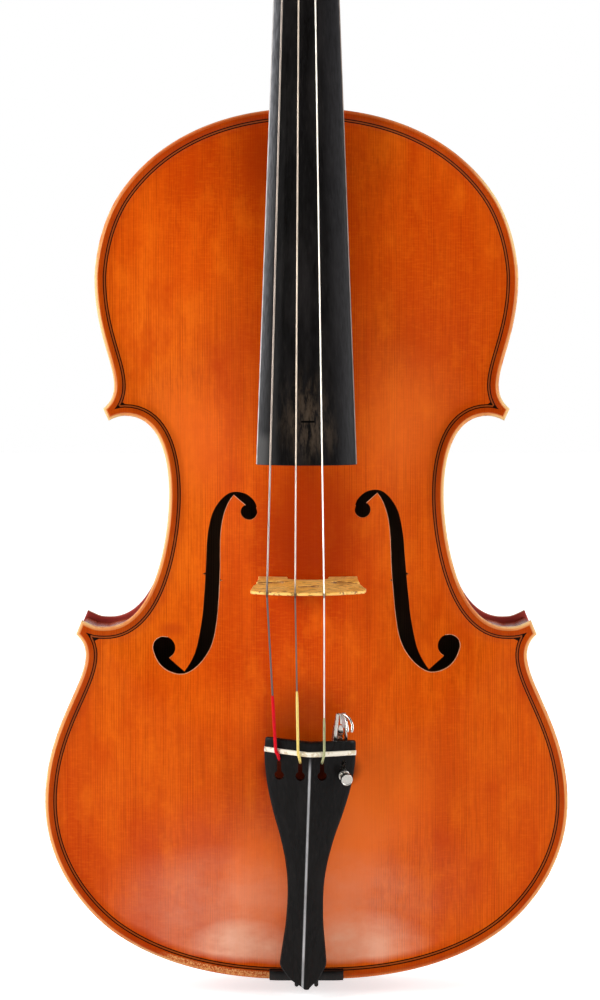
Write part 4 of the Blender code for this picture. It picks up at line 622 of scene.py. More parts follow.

# %% [markdown]
# ## Varnished spruce
#
# The front is spruce, split so that its year rings run straight up as fine lines about a millimetre
# apart. The oil varnish over it is a red-orange glass: thin places look golden, thick places red.
# Each of these is one layer here. A wave texture draws the year rings, stretched noise makes the
# broad stripes of the wood, and round soft spots make the varnish thinner or thicker, partly as
# painted light and painted shade. The edge attribute inlays the purfling, wears the rim down to
# the pale wood and paints a highlight along the edge.

# %% helpers for the wood finishes


def spot(tree, centre, reach, inner=0.0):
    """1 in the middle of an oval, given in body millimetres as x, z, fading to 0 at its rim."""
    place = add(tree, "TexCoord").outputs["Object"]
    middle = (centre[0] * MM, 0, (centre[1] + 7) * MM)
    moved = add(tree, "VectorMath", {"operation": "SUBTRACT"}, i0=place, i1=middle).outputs[0]
    scaled = add(tree, "VectorMath", {"operation": "MULTIPLY"}, i0=moved,
                 i1=(1 / (reach[0] * MM), 0, 1 / (reach[1] * MM))).outputs[0]
    far = add(tree, "VectorMath", {"operation": "LENGTH"}, i0=scaled).outputs["Value"]
    fade = add(tree, "MapRange", {"interpolation_type": "SMOOTHERSTEP"}, Value=far, i1=inner,
               i2=1.0, i3=1.0, i4=0.0)
    return fade.outputs[0]


def attribute(tree, name):
    return add(tree, "Attribute", {"attribute_name": name}).outputs["Fac"]


def between(tree, value, low, high, soft):
    """1 where a value lies between two bounds, with soft flanks."""
    up = add(tree, "MapRange", {"interpolation_type": "SMOOTHSTEP"}, Value=value, i1=low - soft,
             i2=low + soft, i3=0.0, i4=1.0).outputs[0]
    down = add(tree, "MapRange", {"interpolation_type": "SMOOTHSTEP"}, Value=value,
               i1=high - soft, i2=high + soft, i3=1.0, i4=0.0).outputs[0]
    return math_node(tree, "MULTIPLY", up, down)


def scaled_by(tree, value, amount):
    return math_node(tree, "MULTIPLY", value, amount)


def year_rings(tree, per_metre=870, wander=14.0):
    """Fine dark lines of late wood along Z; good and bad years make them strong or faint."""
    stretch_x = per_metre * 2 * math.pi / 20
    place = stretched(tree, (stretch_x, stretch_x * 0.2, 30))
    wave = add(tree, "TexWave", {"bands_direction": "X"}, Vector=place, Scale=1.0,
               Distortion=wander, Detail=3.0, Detail_Scale=0.06, Detail_Roughness=0.62)
    lines = ramp(tree, wave.outputs["Fac"], [(0.0, 0.0), (0.5, 0.12), (0.82, 0.55), (1.0, 1.0)])
    years = noise(tree, (330, 80, 4), detail=3, roughness=0.6)
    return math_node(tree, "MULTIPLY", lines, ramp(tree, years, [(0.36, 0.15), (0.62, 1.35)]))


def purfling(tree, colour, edge):
    """Two black lines with a brown one between them, let into the wood along the edge."""
    core = between(tree, edge, 4.2 * MM, 5.3 * MM, 0.1 * MM)
    lines = math_node(tree, "MAXIMUM", between(tree, edge, 3.92 * MM, 4.4 * MM, 0.08 * MM),
                      between(tree, edge, 5.05 * MM, 5.55 * MM, 0.08 * MM))
    colour = mix(tree, scaled_by(tree, core, 0.85), colour, (0.24, 0.050, 0.009, 1))
    return mix(tree, lines, colour, (0.008, 0.003, 0.001, 1)), lines


def beside_middle(tree):
    """1 along the outer curves and the waist, 0 at the top and the bottom of the body."""
    parts = add(tree, "SeparateXYZ", None, Vector=add(tree, "TexCoord").outputs["Object"])
    away = math_node(tree, "ABSOLUTE", parts.outputs["X"])
    share = add(tree, "MapRange", {}, Value=away, i1=70 * MM, i2=100 * MM, i3=0.0,
                i4=1.0).outputs[0]
    waist = between(tree, parts.outputs["Z"], height(185 * MM), height(285 * MM), 12 * MM)
    return math_node(tree, "MAXIMUM", share, waist)


def channel_shade_and_crest_highlight(tree, colour, edge):
    """Darker between the edge and the purfling and in the channel, partly gathered varnish and
    partly painted shade; a painted highlight along the crest, strongest along the sides, where
    the varnish is also rubbed thin.
    """
    drift = ramp(tree, noise(tree, (35, 35, 35), detail=3), [(0.3, 0.35), (0.65, 1.0)])
    band = math_node(tree, "MAXIMUM", between(tree, edge, 0.9 * MM, 4.4 * MM, 0.4 * MM),
                     scaled_by(tree, between(tree, edge, 5.0 * MM, 8.0 * MM, 1.2 * MM), 0.25))
    band = math_node(tree, "MULTIPLY", band, ramp(tree, drift, [(0.0, 0.7), (1.0, 1.0)]))
    colour = mix(tree, scaled_by(tree, band, 0.62), colour, (0.26, 0.021, 0.0008, 1))
    crest = math_node(tree, "MULTIPLY", between(tree, edge, 0.45 * MM, 1.55 * MM, 0.3 * MM),
                      ramp(tree, drift, [(0.35, 0.6), (1.0, 1.0)]))
    sideways = add(tree, "MapRange", {}, Value=beside_middle(tree), i3=0.16, i4=0.85).outputs[0]
    return mix(tree, math_node(tree, "MULTIPLY", crest, sideways), colour, (0.92, 0.40, 0.13, 1))


RED_VARNISH = (0.50, 0.044, 0.0012, 1)
ORANGE_VARNISH = (0.66, 0.088, 0.0025, 1)
GOLD_VARNISH = (0.78, 0.145, 0.005, 1)
PALE_WOOD_AND_HIGHLIGHT = (0.86, 0.60, 0.27, 1)
GLARE_AND_HAZE = (0.92, 0.50, 0.34, 1)
PAINTED_LIGHT = (1.0, 0.18, 0.016, 1)

# Painted highlight of the lamps' glare on the lower bouts, where the varnish is also dulled; painted
# light that lifts the shade beside the tailpiece and at the waists; painted shade round the
# tailpiece, its keyholes, the tuner and beside the board, darker varnish between the sound holes
# and one small dark spot by the bass hole: centre, reach, strength.
GLARE_AND_HAZE_SPOTS = (((-31, 15), (38, 24), 0.1, 1.0), ((-36, 32), (76, 48), 0.0, 0.36),
              ((24, 18), (44, 26), 0.1, 0.85), ((20, 34), (60, 46), 0.0, 0.3),
              ((-5, 45), (110, 60), 0.2, 0.07))
PAINTED_LIGHT_SPOTS = (((17, 66), (26, 62), 0.25, 0.85), ((-22, 46), (26, 44), 0.2, 0.55),
              ((14, 20), (30, 24), 0.2, 0.7), ((38, 90), (36, 44), 0.0, 0.5),
              ((48, 262), (34, 48), 0.0, 0.42), ((-58, 254), (32, 42), 0.0, 0.5))
PAINTED_SHADE_AND_DARK_SPOTS = (
    ((-1, 121), (30, 32), 0.15, 0.62, (0.22, 0.024, 0.001, 1)),
    ((2, 101), (27, 13), 0.6, 0.97, (0.05, 0.006, 0.002, 1)),
    ((2, 214), (36, 52), 0.2, 0.72, (0.27, 0.018, 0.0006, 1)),
    ((-20, 385), (18, 55), 0.0, 0.5, (0.30, 0.020, 0.0008, 1)),
    ((-63, 165), (9, 5), 0.0, 0.5, (0.42, 0.03, 0.004, 1)),
)
# Where the pale rim is wider: rubbed wood and partly a painted highlight, at the upper bouts, the waists, the
# corners and the lower left: centre, reach, strength.
WORN_AND_HIGHLIT_SPOTS = (((-99, 316), (14, 34), 1.0), ((90, 358), (26, 34), 1.0), ((-66, 232), (14, 40), 0.7),
              ((66, 232), (14, 40), 0.55), ((-95, 266), (12, 12), 0.8), ((95, 266), (12, 12), 0.8),
              ((-107, 165), (11, 11), 0.4), ((107, 165), (11, 11), 0.4),
              ((-70, 12), (40, 14), 0.6))

# %% the varnished front


def varnished_spruce(name):
    finish, tree, shader = start_finish(name, roughness=0.3)
    shader.inputs["Specular IOR Level"].default_value = 0.06
    edge = attribute(tree, "edge")
    thick = noise(tree, (9, 9, 7), detail=4, roughness=0.55)
    stripes = noise(tree, (75, 20, 2.2), detail=3, roughness=0.6)
    tone = math_node(tree, "ADD", scaled_by(tree, thick, 0.6), scaled_by(tree, stripes, 0.4))
    colour = ramp(tree, tone, [(0.34, RED_VARNISH), (0.5, ORANGE_VARNISH), (0.66, GOLD_VARNISH)])
    # Golden varnish at the waists and on the left bouts, partly painted light where the side lamps fall.
    for centre, reach, inner, strength in (((-72, 205), (45, 75), 0.2, 0.55),
                                           ((72, 205), (38, 75), 0.2, 0.3),
                                           ((-78, 305), (40, 60), 0.1, 0.45),
                                           ((-80, 110), (60, 50), 0.1, 0.25)):
        colour = mix(tree, scaled_by(tree, spot(tree, centre, reach, inner), strength), colour,
                     GOLD_VARNISH)
    # Redder varnish in the upper bouts and down the middle, partly painted shade beside the board, round the
    # bridge and above the tailpiece.
    for centre, reach, inner, strength in (((0, 330), (62, 130), 0.2, 0.6),
                                           ((70, 330), (75, 100), 0.1, 0.6),
                                           ((-35, 395), (60, 50), 0.1, 0.4),
                                           ((0, 190), (36, 60), 0.2, 0.6),
                                           ((12, 133), (26, 20), 0.1, 0.5),
                                           ((-28, 148), (28, 26), 0.1, 0.6)):
        colour = mix(tree, scaled_by(tree, spot(tree, centre, reach, inner), strength), colour,
                     RED_VARNISH)
    rings = year_rings(tree)
    colour = mix(tree, scaled_by(tree, rings, 0.42), colour, (0.36, 0.026, 0.0008, 1))
    silk = noise(tree, (170, 1, 1100), detail=2, roughness=0.7)
    silk = scaled_by(tree, ramp(tree, silk, [(0.48, 0.0), (0.70, 1.0)]), 0.3)
    colour = mix(tree, silk, colour, GOLD_VARNISH)
    mottle = noise(tree, (400, 400, 260), detail=3, roughness=0.7)
    colour = mix(tree, ramp(tree, mottle, [(0.3, 0.25), (0.6, 0.0)]), colour, RED_VARNISH)
    fibre = noise(tree, (1500, 600, 30), detail=2, roughness=0.7)
    colour = mix(tree, ramp(tree, fibre, [(0.36, 0.3), (0.5, 0.0)]), colour, (0.34, 0.03, 0.001, 1))
    patches = noise(tree, (70, 50, 38), detail=4, roughness=0.62)
    colour = mix(tree, ramp(tree, patches, [(0.54, 0.0), (0.72, 0.5)]), colour, GOLD_VARNISH)
    colour = mix(tree, ramp(tree, patches, [(0.28, 0.7), (0.47, 0.0)]), colour, RED_VARNISH)
    # Painted light: a brighter orange that lifts the shade beside the tailpiece and at the waists.
    for centre, reach, inner, strength in PAINTED_LIGHT_SPOTS:
        colour = mix(tree, scaled_by(tree, spot(tree, centre, reach, inner), strength), colour,
                     PAINTED_LIGHT)
    # Painted highlight: a paler colour for the lamps' glare on the lower bouts, where the varnish is also
    # rougher.
    glare_and_bloom = 0.0
    for centre, reach, inner, strength in GLARE_AND_HAZE_SPOTS:
        glare_and_bloom = math_node(tree, "MAXIMUM", glare_and_bloom, scaled_by(
            tree, spot(tree, centre, reach, inner), strength))
    cloud = noise(tree, (26, 20, 40), detail=5, roughness=0.65)
    cloud = ramp(tree, cloud, [(0.3, 0.4), (0.6, 1.0)])
    ragged = math_node(tree, "MULTIPLY_ADD", noise(tree, (60, 60, 60), detail=3), 5 * MM)
    ragged.node.inputs[2].default_value = 3.5 * MM
    past = math_node(tree, "SUBTRACT", edge, ragged)
    in_field = add(tree, "MapRange", {}, Value=past, i1=0.0, i2=3.5 * MM, i3=0.0,
                   i4=1.0).outputs[0]
    glare_and_bloom = math_node(tree, "MULTIPLY", math_node(tree, "MULTIPLY", glare_and_bloom, cloud), in_field)
    colour = mix(tree, scaled_by(tree, glare_and_bloom, 0.95), colour, GLARE_AND_HAZE)
    # Painted shade round the tailpiece, under its keyholes, by the tuner and beside the board; darker varnish
    # between the sound holes and one small dark spot by the bass hole.
    for centre, reach, inner, strength, dark in PAINTED_SHADE_AND_DARK_SPOTS:
        colour = mix(tree, scaled_by(tree, spot(tree, centre, reach, inner), strength), colour,
                     dark)
    colour = channel_shade_and_crest_highlight(tree, colour, edge)
    colour, lines = purfling(tree, colour, edge)
    colour = worn_and_highlit_rim(tree, colour, edge)
    tree.links.new(colour, shader.inputs["Base Color"])
    dull = math_node(tree, "MULTIPLY_ADD", glare_and_bloom, 0.25)
    dull.node.inputs[2].default_value = 0.24
    tree.links.new(dull, shader.inputs["Roughness"])
    relief = math_node(tree, "SUBTRACT", scaled_by(tree, rings, 0.25),
                       scaled_by(tree, lines, 0.8))
    pits = noise(tree, (700, 700, 700), detail=2)
    relief = math_node(tree, "ADD", relief, scaled_by(tree, pits, 0.35))
    bump(tree, shader, relief, 0.06 * MM, 0.5)
    return finish


def worn_and_highlit_rim(tree, colour, edge):
    """Varnish rubbed through to the pale wood along the very edge, in patches, and a painted
    highlight on that edge, strongest along the sides and at the corners.
    """
    chips = noise(tree, (240, 240, 240), detail=4, roughness=0.7)
    patches = noise(tree, (14, 14, 14), detail=2)
    wear = math_node(tree, "ADD", scaled_by(tree, chips, 0.55), scaled_by(tree, patches, 0.45))
    worn = 0.0
    for centre, reach, strength in WORN_AND_HIGHLIT_SPOTS:
        worn = math_node(tree, "MAXIMUM", worn, scaled_by(
            tree, spot(tree, centre, reach, 0.3), strength))
    wear = math_node(tree, "ADD", wear, scaled_by(tree, worn, 0.16))
    # The pale edge line is partly a painted highlight, so it is strongest along the sides, where the lamps
    # stand.
    sideways = add(tree, "MapRange", {}, Value=beside_middle(tree), i3=0.3, i4=1.0).outputs[0]
    near = math_node(tree, "MULTIPLY", between(tree, edge, -0.5 * MM, 0.62 * MM, 0.22 * MM),
                     sideways)
    far = math_node(tree, "MULTIPLY", between(tree, edge, -0.5 * MM, 1.05 * MM, 0.25 * MM), worn)
    rubbed = math_node(tree, "MULTIPLY", math_node(tree, "MAXIMUM", near, far),
                       ramp(tree, wear, [(0.40, 0.12), (0.56, 1.0)]))
    colour = mix(tree, scaled_by(tree, rubbed, 0.9), colour, PALE_WOOD_AND_HIGHLIGHT)
    left = spot(tree, (-38, 6), (42, 14), 0.55)
    speck = noise(tree, (1100, 1100, 1100), detail=2, roughness=0.8)
    speck = ramp(tree, speck, [(0.44, 0.12), (0.60, 0.9)])
    on_rim = between(tree, edge, 0.4 * MM, 3.3 * MM, 0.5 * MM)
    speckled = math_node(tree, "MULTIPLY", math_node(tree, "MULTIPLY", left, speck), on_rim)
    return mix(tree, scaled_by(tree, speckled, 0.85), colour, (0.84, 0.45, 0.16, 1))


def bare_wood(name, colour, dark, overhang=0.0):
    """Unvarnished wood, brown from age; the edge that hangs over the ribs is varnished."""
    finish, tree, shader = start_finish(name, roughness=0.85)
    shader.inputs["Specular IOR Level"].default_value = 0.2
    rings = year_rings(tree)
    blotches = noise(tree, (18, 18, 12), detail=3)
    tinted = mix(tree, ramp(tree, blotches, [(0.35, 0.0), (0.7, 0.6)]), colour, dark)
    wood = mix(tree, scaled_by(tree, rings, 0.5), tinted, dark)
    if overhang:
        edge = attribute(tree, "edge")
        outside = between(tree, edge, -1 * MM, overhang * MM, 0.2 * MM)
        wood = mix(tree, outside, wood, ramp(tree, noise(tree, (60, 60, 60), detail=3), [
            (0.3, (0.24, 0.022, 0.018, 1)), (0.7, (0.40, 0.055, 0.040, 1))]))
    tree.links.new(wood, shader.inputs["Base Color"])
    bump(tree, shader, rings, 0.05 * MM, 0.4)
    return finish


spruce = varnished_spruce("varnished_spruce")
inside_wood = bare_wood("bare_spruce", (0.14, 0.07, 0.035, 1), (0.06, 0.028, 0.014, 1))
inside_plate = bare_wood("bare_plate", (0.14, 0.07, 0.035, 1), (0.06, 0.028, 0.014, 1),
                         overhang=3.4)
cut_wood = bare_wood("cut_spruce", (0.62, 0.27, 0.10, 1), (0.40, 0.13, 0.04, 1))
plate_front = build_plate("plate_front", sound_holes + front_notches, -1,
                          [spruce, inside_plate, cut_wood])
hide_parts("top_plate")
print("front plate:", len(plate_front.data.polygons), "faces")

# %% [markdown]
# ## Flamed maple for the back, the ribs and the neck
#
# Maple moves under the light: its fibres wave, so bands of it shine and bands stay dull. That
# flame lies across the grain, and on a back of two halves it slopes away from the joint on both
# sides. Here it is a noise squeezed into long bands. It changes the colour and, by a shallow
# bump, the direction of the gloss, which is what makes real flame flicker as you turn the piece.

# %% varnished maple
MAPLE_DARK = (0.26, 0.028, 0.004, 1)
MAPLE_MIDDLE = (0.50, 0.075, 0.009, 1)
MAPLE_LIGHT = (0.74, 0.20, 0.032, 1)


def flamed_maple(name, bands, pores, slope=0.0, rim=False, colours=None):
    """Varnished maple: bands and pores are the noise scales of its flame and its grain."""
    dark, middle, light = colours or (MAPLE_DARK, MAPLE_MIDDLE, MAPLE_LIGHT)
    finish, tree, shader = start_finish(name, roughness=0.26)
    shader.inputs["Specular IOR Level"].default_value = 0.4
    place = add(tree, "TexCoord").outputs["Object"]
    parts = add(tree, "SeparateXYZ", None, Vector=place)
    away = math_node(tree, "ABSOLUTE", parts.outputs["X"])
    raised = math_node(tree, "ADD", parts.outputs["Z"], math_node(tree, "MULTIPLY", away, slope))
    sloped = add(tree, "CombineXYZ", None, X=parts.outputs["X"], Y=parts.outputs["Y"], Z=raised)
    scaled = add(tree, "Mapping", {}, Vector=sloped.outputs[0], Scale=bands).outputs[0]
    flame = add(tree, "TexNoise", {}, Vector=scaled, Scale=1.0, Detail=2.5, Roughness=0.55,
                Distortion=0.6).outputs[0]
    bands_of = ramp(tree, flame, [(0.33, 0.0), (0.5, 0.45), (0.66, 1.0)])
    colour = mix(tree, bands_of, middle, light)
    cloud = noise(tree, (11, 11, 9), detail=3)
    colour = mix(tree, ramp(tree, cloud, [(0.35, 0.75), (0.65, 0.0)]), colour, dark)
    fine = noise(tree, pores, detail=3, roughness=0.7)
    specks = ramp(tree, fine, [(0.30, 0.55), (0.46, 0.0)])
    colour = mix(tree, specks, colour, dark)
    height_of = math_node(tree, "SUBTRACT", scaled_by(tree, flame, 0.6), scaled_by(tree, specks,
                                                                                   0.5))
    if rim:
        edge = attribute(tree, "edge")
        colour, lines = purfling(tree, colour, edge)
        colour = worn_and_highlit_rim(tree, colour, edge)
        height_of = math_node(tree, "SUBTRACT", height_of, scaled_by(tree, lines, 0.6))
    tree.links.new(colour, shader.inputs["Base Color"])
    bump(tree, shader, height_of, 0.12 * MM, 0.45)
    return finish


maple_back = flamed_maple("maple_back", (9, 9, 135), (900, 200, 60), slope=0.32, rim=True)
maple_ribs = flamed_maple("maple_ribs", (120, 7, 120), (700, 900, 700),
                          colours=((0.20, 0.02, 0.006, 1), (0.42, 0.055, 0.016, 1),
                                   (0.62, 0.13, 0.04, 1)))
maple_neck = flamed_maple("maple_neck", (10, 22, 150), (900, 900, 60))
print("maple finishes:", maple_back.name, maple_ribs.name, maple_neck.name)

# %% [markdown]
# ## Ebony, metal, silk and the small pieces
#
# The fittings are black ebony, polished by hands rather than by varnish, so their gloss comes and
# goes. The strings are steel or gut wound with a thin flat wire, and their ends are bound with
# coloured silk, by which a player knows the maker's gauge. Each finish has its own fine pattern
# at its true size: pores in the ebony, wire turns on the strings, thread on the silk.

# %% finishes of the fittings


def ebony_finish(name, pores=(1200, 1200, 90), gloss=0.3, streaks=0.5):
    finish, tree, shader = start_finish(name, roughness=gloss)
    shader.inputs["Specular IOR Level"].default_value = 0.2
    grain = noise(tree, pores, detail=3, roughness=0.65)
    colour = ramp(tree, grain, [(0.3, (0.004, 0.0035, 0.003, 1)), (0.6, (0.007, 0.0065, 0.0065, 1)),
                                (0.8, (0.018, 0.015, 0.013, 1))])
    smear = noise(tree, (130, 130, 14), detail=4, roughness=0.65)
    wear = ramp(tree, smear, [(0.46, 0.0), (0.75, streaks)])
    tree.links.new(mix(tree, wear, colour, (0.032, 0.028, 0.027, 1)),
                   shader.inputs["Base Color"])
    rough = add(tree, "MapRange", {}, Value=smear, i1=0.3, i2=0.75, i3=gloss - 0.08,
                i4=gloss + 0.18)
    tree.links.new(rough.outputs[0], shader.inputs["Roughness"])
    bump(tree, shader, grain, 0.03 * MM, 0.35)
    return finish


def nickel_finish(name, tint=(0.60, 0.585, 0.54, 1), gloss=0.22):
    finish, tree, shader = start_finish(name, roughness=gloss, metallic=1.0)
    scratch = noise(tree, (900, 900, 4000), detail=3, roughness=0.7)
    cloud = noise(tree, (300, 300, 300), detail=2)
    colour = mix(tree, ramp(tree, cloud, [(0.35, 0.5), (0.65, 0.0)]), tint,
                 (0.50, 0.48, 0.44, 1))
    tree.links.new(colour, shader.inputs["Base Color"])
    rough = add(tree, "MapRange", {}, Value=scratch, i1=0.3, i2=0.7, i3=gloss - 0.05,
                i4=gloss + 0.12)
    tree.links.new(rough.outputs[0], shader.inputs["Roughness"])
    bump(tree, shader, scratch, 0.01 * MM, 0.2)
    return finish


def wound_finish(name, colour, dark, per_metre, metallic=0.0, gloss=0.5, shaded_below=None):
    """Wire or thread laid round a core; below a height it may be painted darker, as painted shade."""
    finish, tree, shader = start_finish(name, roughness=gloss, metallic=metallic)
    shader.inputs["Specular IOR Level"].default_value = 0.5 if metallic else 0.12
    turns = add(tree, "TexWave", {"bands_direction": "Z", "wave_profile": "SIN"},
                Vector=stretched(tree, (60, 60, per_metre * 2 * math.pi / 20)), Scale=1.0,
                Distortion=0.6, Detail=1.0, Detail_Scale=0.3).outputs["Fac"]
    grime = noise(tree, (900, 900, 110), detail=3, roughness=0.7)
    tone = mix(tree, ramp(tree, turns, [(0.1, 0.6), (0.5, 0.0)]), colour, dark)
    tone = mix(tree, ramp(tree, grime, [(0.36, 0.5), (0.55, 0.0)]), tone, dark)
    if shaded_below:
        place = add(tree, "SeparateXYZ", None, Vector=add(tree, "TexCoord").outputs["Object"])
        dull = between(tree, place.outputs["Z"], -1, shaded_below[0], 4 * MM)
        tone = mix(tree, dull, tone, shaded_below[1])
    # Painted shade: a dark band where the string lies in the bridge's notch.
    if metallic:
        place = add(tree, "SeparateXYZ", None, Vector=add(tree, "TexCoord").outputs["Object"])
        notch = between(tree, place.outputs["Z"], height(185.0 * MM), height(187.2 * MM), 0.3 * MM)
        tone = mix(tree, scaled_by(tree, notch, 0.85), tone, (0.03, 0.035, 0.03, 1))
    tree.links.new(tone, shader.inputs["Base Color"])
    bump(tree, shader, turns, 0.04 * MM, 0.5)
    return finish


def flecked_finish(name, colour, fleck, pale, scale, gloss=0.45):
    """Unvarnished maple of the bridge, with the brown flecks of its rays."""
    finish, tree, shader = start_finish(name, roughness=gloss)
    flecks = noise(tree, scale, detail=3, roughness=0.6)
    cloud = noise(tree, (90, 90, 90), detail=3)
    tone = mix(tree, ramp(tree, cloud, [(0.35, 0.6), (0.62, 0.0)]), colour, pale)
    tone = mix(tree, ramp(tree, flecks, [(0.53, 0.0), (0.60, 0.95)]), tone, fleck)
    tree.links.new(tone, shader.inputs["Base Color"])
    bump(tree, shader, flecks, 0.02 * MM, 0.3)
    return finish


ebony_board = ebony_finish("ebony_board", streaks=0.35)
ebony_board.node_tree.nodes["Principled BSDF"].inputs["Specular IOR Level"].default_value = 0.05
ebony_fittings = ebony_finish("ebony_fittings", gloss=0.34, streaks=0.25)
nickel = nickel_finish("nickel_plate")
nickel_dull = nickel_finish("nickel_worn", (0.42, 0.32, 0.31, 1), 0.34)
ivory = flecked_finish("white_fret", (0.93, 0.86, 0.68, 1), (0.72, 0.60, 0.40, 1),
                       (0.97, 0.94, 0.84, 1), (300, 900, 300), gloss=0.35)
bridge_wood = flecked_finish("bridge_maple", (1.0, 0.54, 0.10, 1), (0.30, 0.11, 0.016, 1),
                             (1.0, 0.70, 0.23, 1), (260, 1500, 900))
# A darker maple for the walls of the bridge's openings, as painted shade inside them.
shaded_bridge_cut = flecked_finish("shaded_bridge_cut", (0.46, 0.19, 0.035, 1), (0.22, 0.08, 0.015, 1),
                            (0.60, 0.28, 0.06, 1), (260, 1500, 900))
nylon = ebony_finish("black_nylon", pores=(500, 500, 500), gloss=0.28, streaks=0.1)
# The c and g strings are painted darker below the bridge, as painted shade where they slope away from the
# lamps.
string_finishes = {
    "c": wound_finish("wound_silver_dark", (0.44, 0.37, 0.31, 1), (0.20, 0.17, 0.15, 1), 2600,
                      metallic=0.8, gloss=0.36,
                      shaded_below=(height(194 * MM), (0.14, 0.12, 0.11, 1))),
    "g": wound_finish("wound_silver_warm", (0.72, 0.60, 0.47, 1), (0.34, 0.28, 0.24, 1), 2600,
                      metallic=0.8, gloss=0.34,
                      shaded_below=(height(192 * MM), (0.17, 0.13, 0.10, 1))),
    "d": wound_finish("wound_silver_bright", (1.0, 0.93, 0.82, 1), (0.66, 0.60, 0.52, 1), 2600,
                      metallic=0.85, gloss=0.3),
}
silk_finishes = {
    "c": wound_finish("red_silk", (0.78, 0.003, 0.014, 1), (0.42, 0.002, 0.010, 1), 2200),
    "g": wound_finish("yellow_silk", (0.92, 0.74, 0.22, 1), (0.60, 0.40, 0.10, 1), 2200),
    "d": wound_finish("green_silk", (0.46, 0.46, 0.24, 1), (0.20, 0.24, 0.13, 1), 2200),
}
print("finishes:", len(bpy.data.materials))

# %% [markdown]
# ## Give every solid piece its finish
#
# Each solid piece that is already the right shape keeps its own mesh and only gets a new finish in
# its material slots. The start of each piece's name tells which wood or metal it is made of.

# %% dress the solid pieces
FINISH_OF = {
    "rib_": maple_ribs, "back_plate": maple_ribs, "neck": maple_neck, "lining_": inside_wood,
    "corner_block_": inside_wood, "bottom_block": inside_wood, "top_block": inside_wood,
    "bass_bar": inside_wood, "sound_post": inside_wood, "top_plate": spruce,
    "fingerboard": ebony_board, "nut": ebony_fittings, "saddle": ebony_fittings,
    "tailpiece_fret": ivory, "tailpiece": ebony_fittings, "end_button": ebony_fittings,
    "peg_": ebony_fittings, "bridge": bridge_wood, "tailgut": nylon, "tuner_": nickel,
    "string_": string_finishes["d"], "silk_c": silk_finishes["c"], "silk_g": silk_finishes["g"],
    "silk_d": silk_finishes["d"],
}


def dress(piece, finish):
    piece.data.materials.clear()
    piece.data.materials.append(finish)


for node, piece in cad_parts.items():
    key = max((k for k in FINISH_OF if node.startswith(k)), key=len)
    dress(piece, FINISH_OF[key])
print("dressed:", len(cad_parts), "pieces")

# %% [markdown]
# ## The back
#
# The back is carved like the front but has no sound holes. Its round button at the top carries the
# foot of the neck. It is cut from the same piece of maple, so the button below is a small turned
# disc that reaches well into the plate, and it takes the neck's maple finish.

# %% turned shapes and the back plate


def turned(name, profile, origin, direction, finish, body=BODY, steps=48, sharp=40):
    """A piece turned round an axis, from pairs of radius and place in millimetres."""
    turn = Vector(direction).normalized().to_track_quat("Z", "Y").to_matrix().to_4x4()
    turn.translation = Vector(origin)
    points, faces, rows = [], [], []
    for radius, along in profile:
        if radius <= 0:
            rows.append([len(points)] * steps)
            points.append(turn @ Vector((0, 0, along * MM)))
            continue
        rows.append(list(range(len(points), len(points) + steps)))
        for k in range(steps):
            angle = 2 * math.pi * k / steps
            points.append(turn @ Vector((radius * MM * math.cos(angle),
                                         radius * MM * math.sin(angle), along * MM)))
    for low, high in zip(rows, rows[1:]):
        for k in range(steps):
            j = (k + 1) % steps
            corners = list(dict.fromkeys((low[k], low[j], high[j], high[k])))
            if len(corners) > 2:
                faces.append(corners)
    data = bpy.data.meshes.new(name)
    data.from_pydata([tuple(p) for p in points], [], faces)
    tidy_mesh(data, sharp)
    data.materials.append(finish)
    return finished_piece(name, data, body)


def tidy_mesh(data, sharp):
    """Point every face outwards and shade it smooth up to an angle."""
    mesh = bmesh.new()
    mesh.from_mesh(data)
    bmesh.ops.recalc_face_normals(mesh, faces=mesh.faces)
    mesh.to_mesh(data)
    mesh.free()
    data.shade_smooth()
    data.set_sharp_from_angle(angle=math.radians(sharp))


plate_back = build_plate("plate_back", [], 1, [maple_back, inside_plate, inside_wood])
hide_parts("back_plate")
back_face = RIB_HEIGHT / 2
button = turned("back_button", [(0, 0), (9.9, 0), (10.5, 0.6), (10.5, 3.1), (9.6, 4.0), (0, 4.05)],
                (0, back_face, height(BUTTON_MIDDLE)), (0, 1, 0), maple_neck)
print("back plate:", len(plate_back.data.polygons), "faces")

# %% [markdown]
# ## The fingerboard
#
# The fingerboard is one long piece of ebony, rounded across so that the bow can reach each string,
# and planed flat under the lowest string, which swings widest. A grey band painted along that flat
# stands for the light of the lamp on the left. The board is a loft: many copies of one cross section,
# each as wide and as high as the board is there, with small bevels on the corners that catch light.

# %% shape of the board and loft helper
BOARD_ENDS = (BODY_LENGTH - 165 * MM, BODY_LENGTH + 146 * MM)
BOARD_RISE = 16.3 * MM
BOARD_SLOPE = 0.1343
BOARD_HALF = 17.27 * MM
BOARD_TAPER = 0.03535
BOARD_RADIUS = 42 * MM
BOARD_SIDE = 5.5 * MM
BOARD_FLAT = 9 * MM
BOARD_HOLLOW = 5 * MM
HOLLOW_END = BODY_LENGTH - 9 * MM


def board_top(z):
    return BOARD_RISE - BOARD_SLOPE * (z - BODY_LENGTH)


def board_half(z):
    return BOARD_HALF - BOARD_TAPER * (z - BODY_LENGTH)


def camber(x):
    return BOARD_RADIUS - math.sqrt(BOARD_RADIUS ** 2 - x ** 2)


def board_under(z):
    return board_top(z) - camber(board_half(z)) - BOARD_SIDE


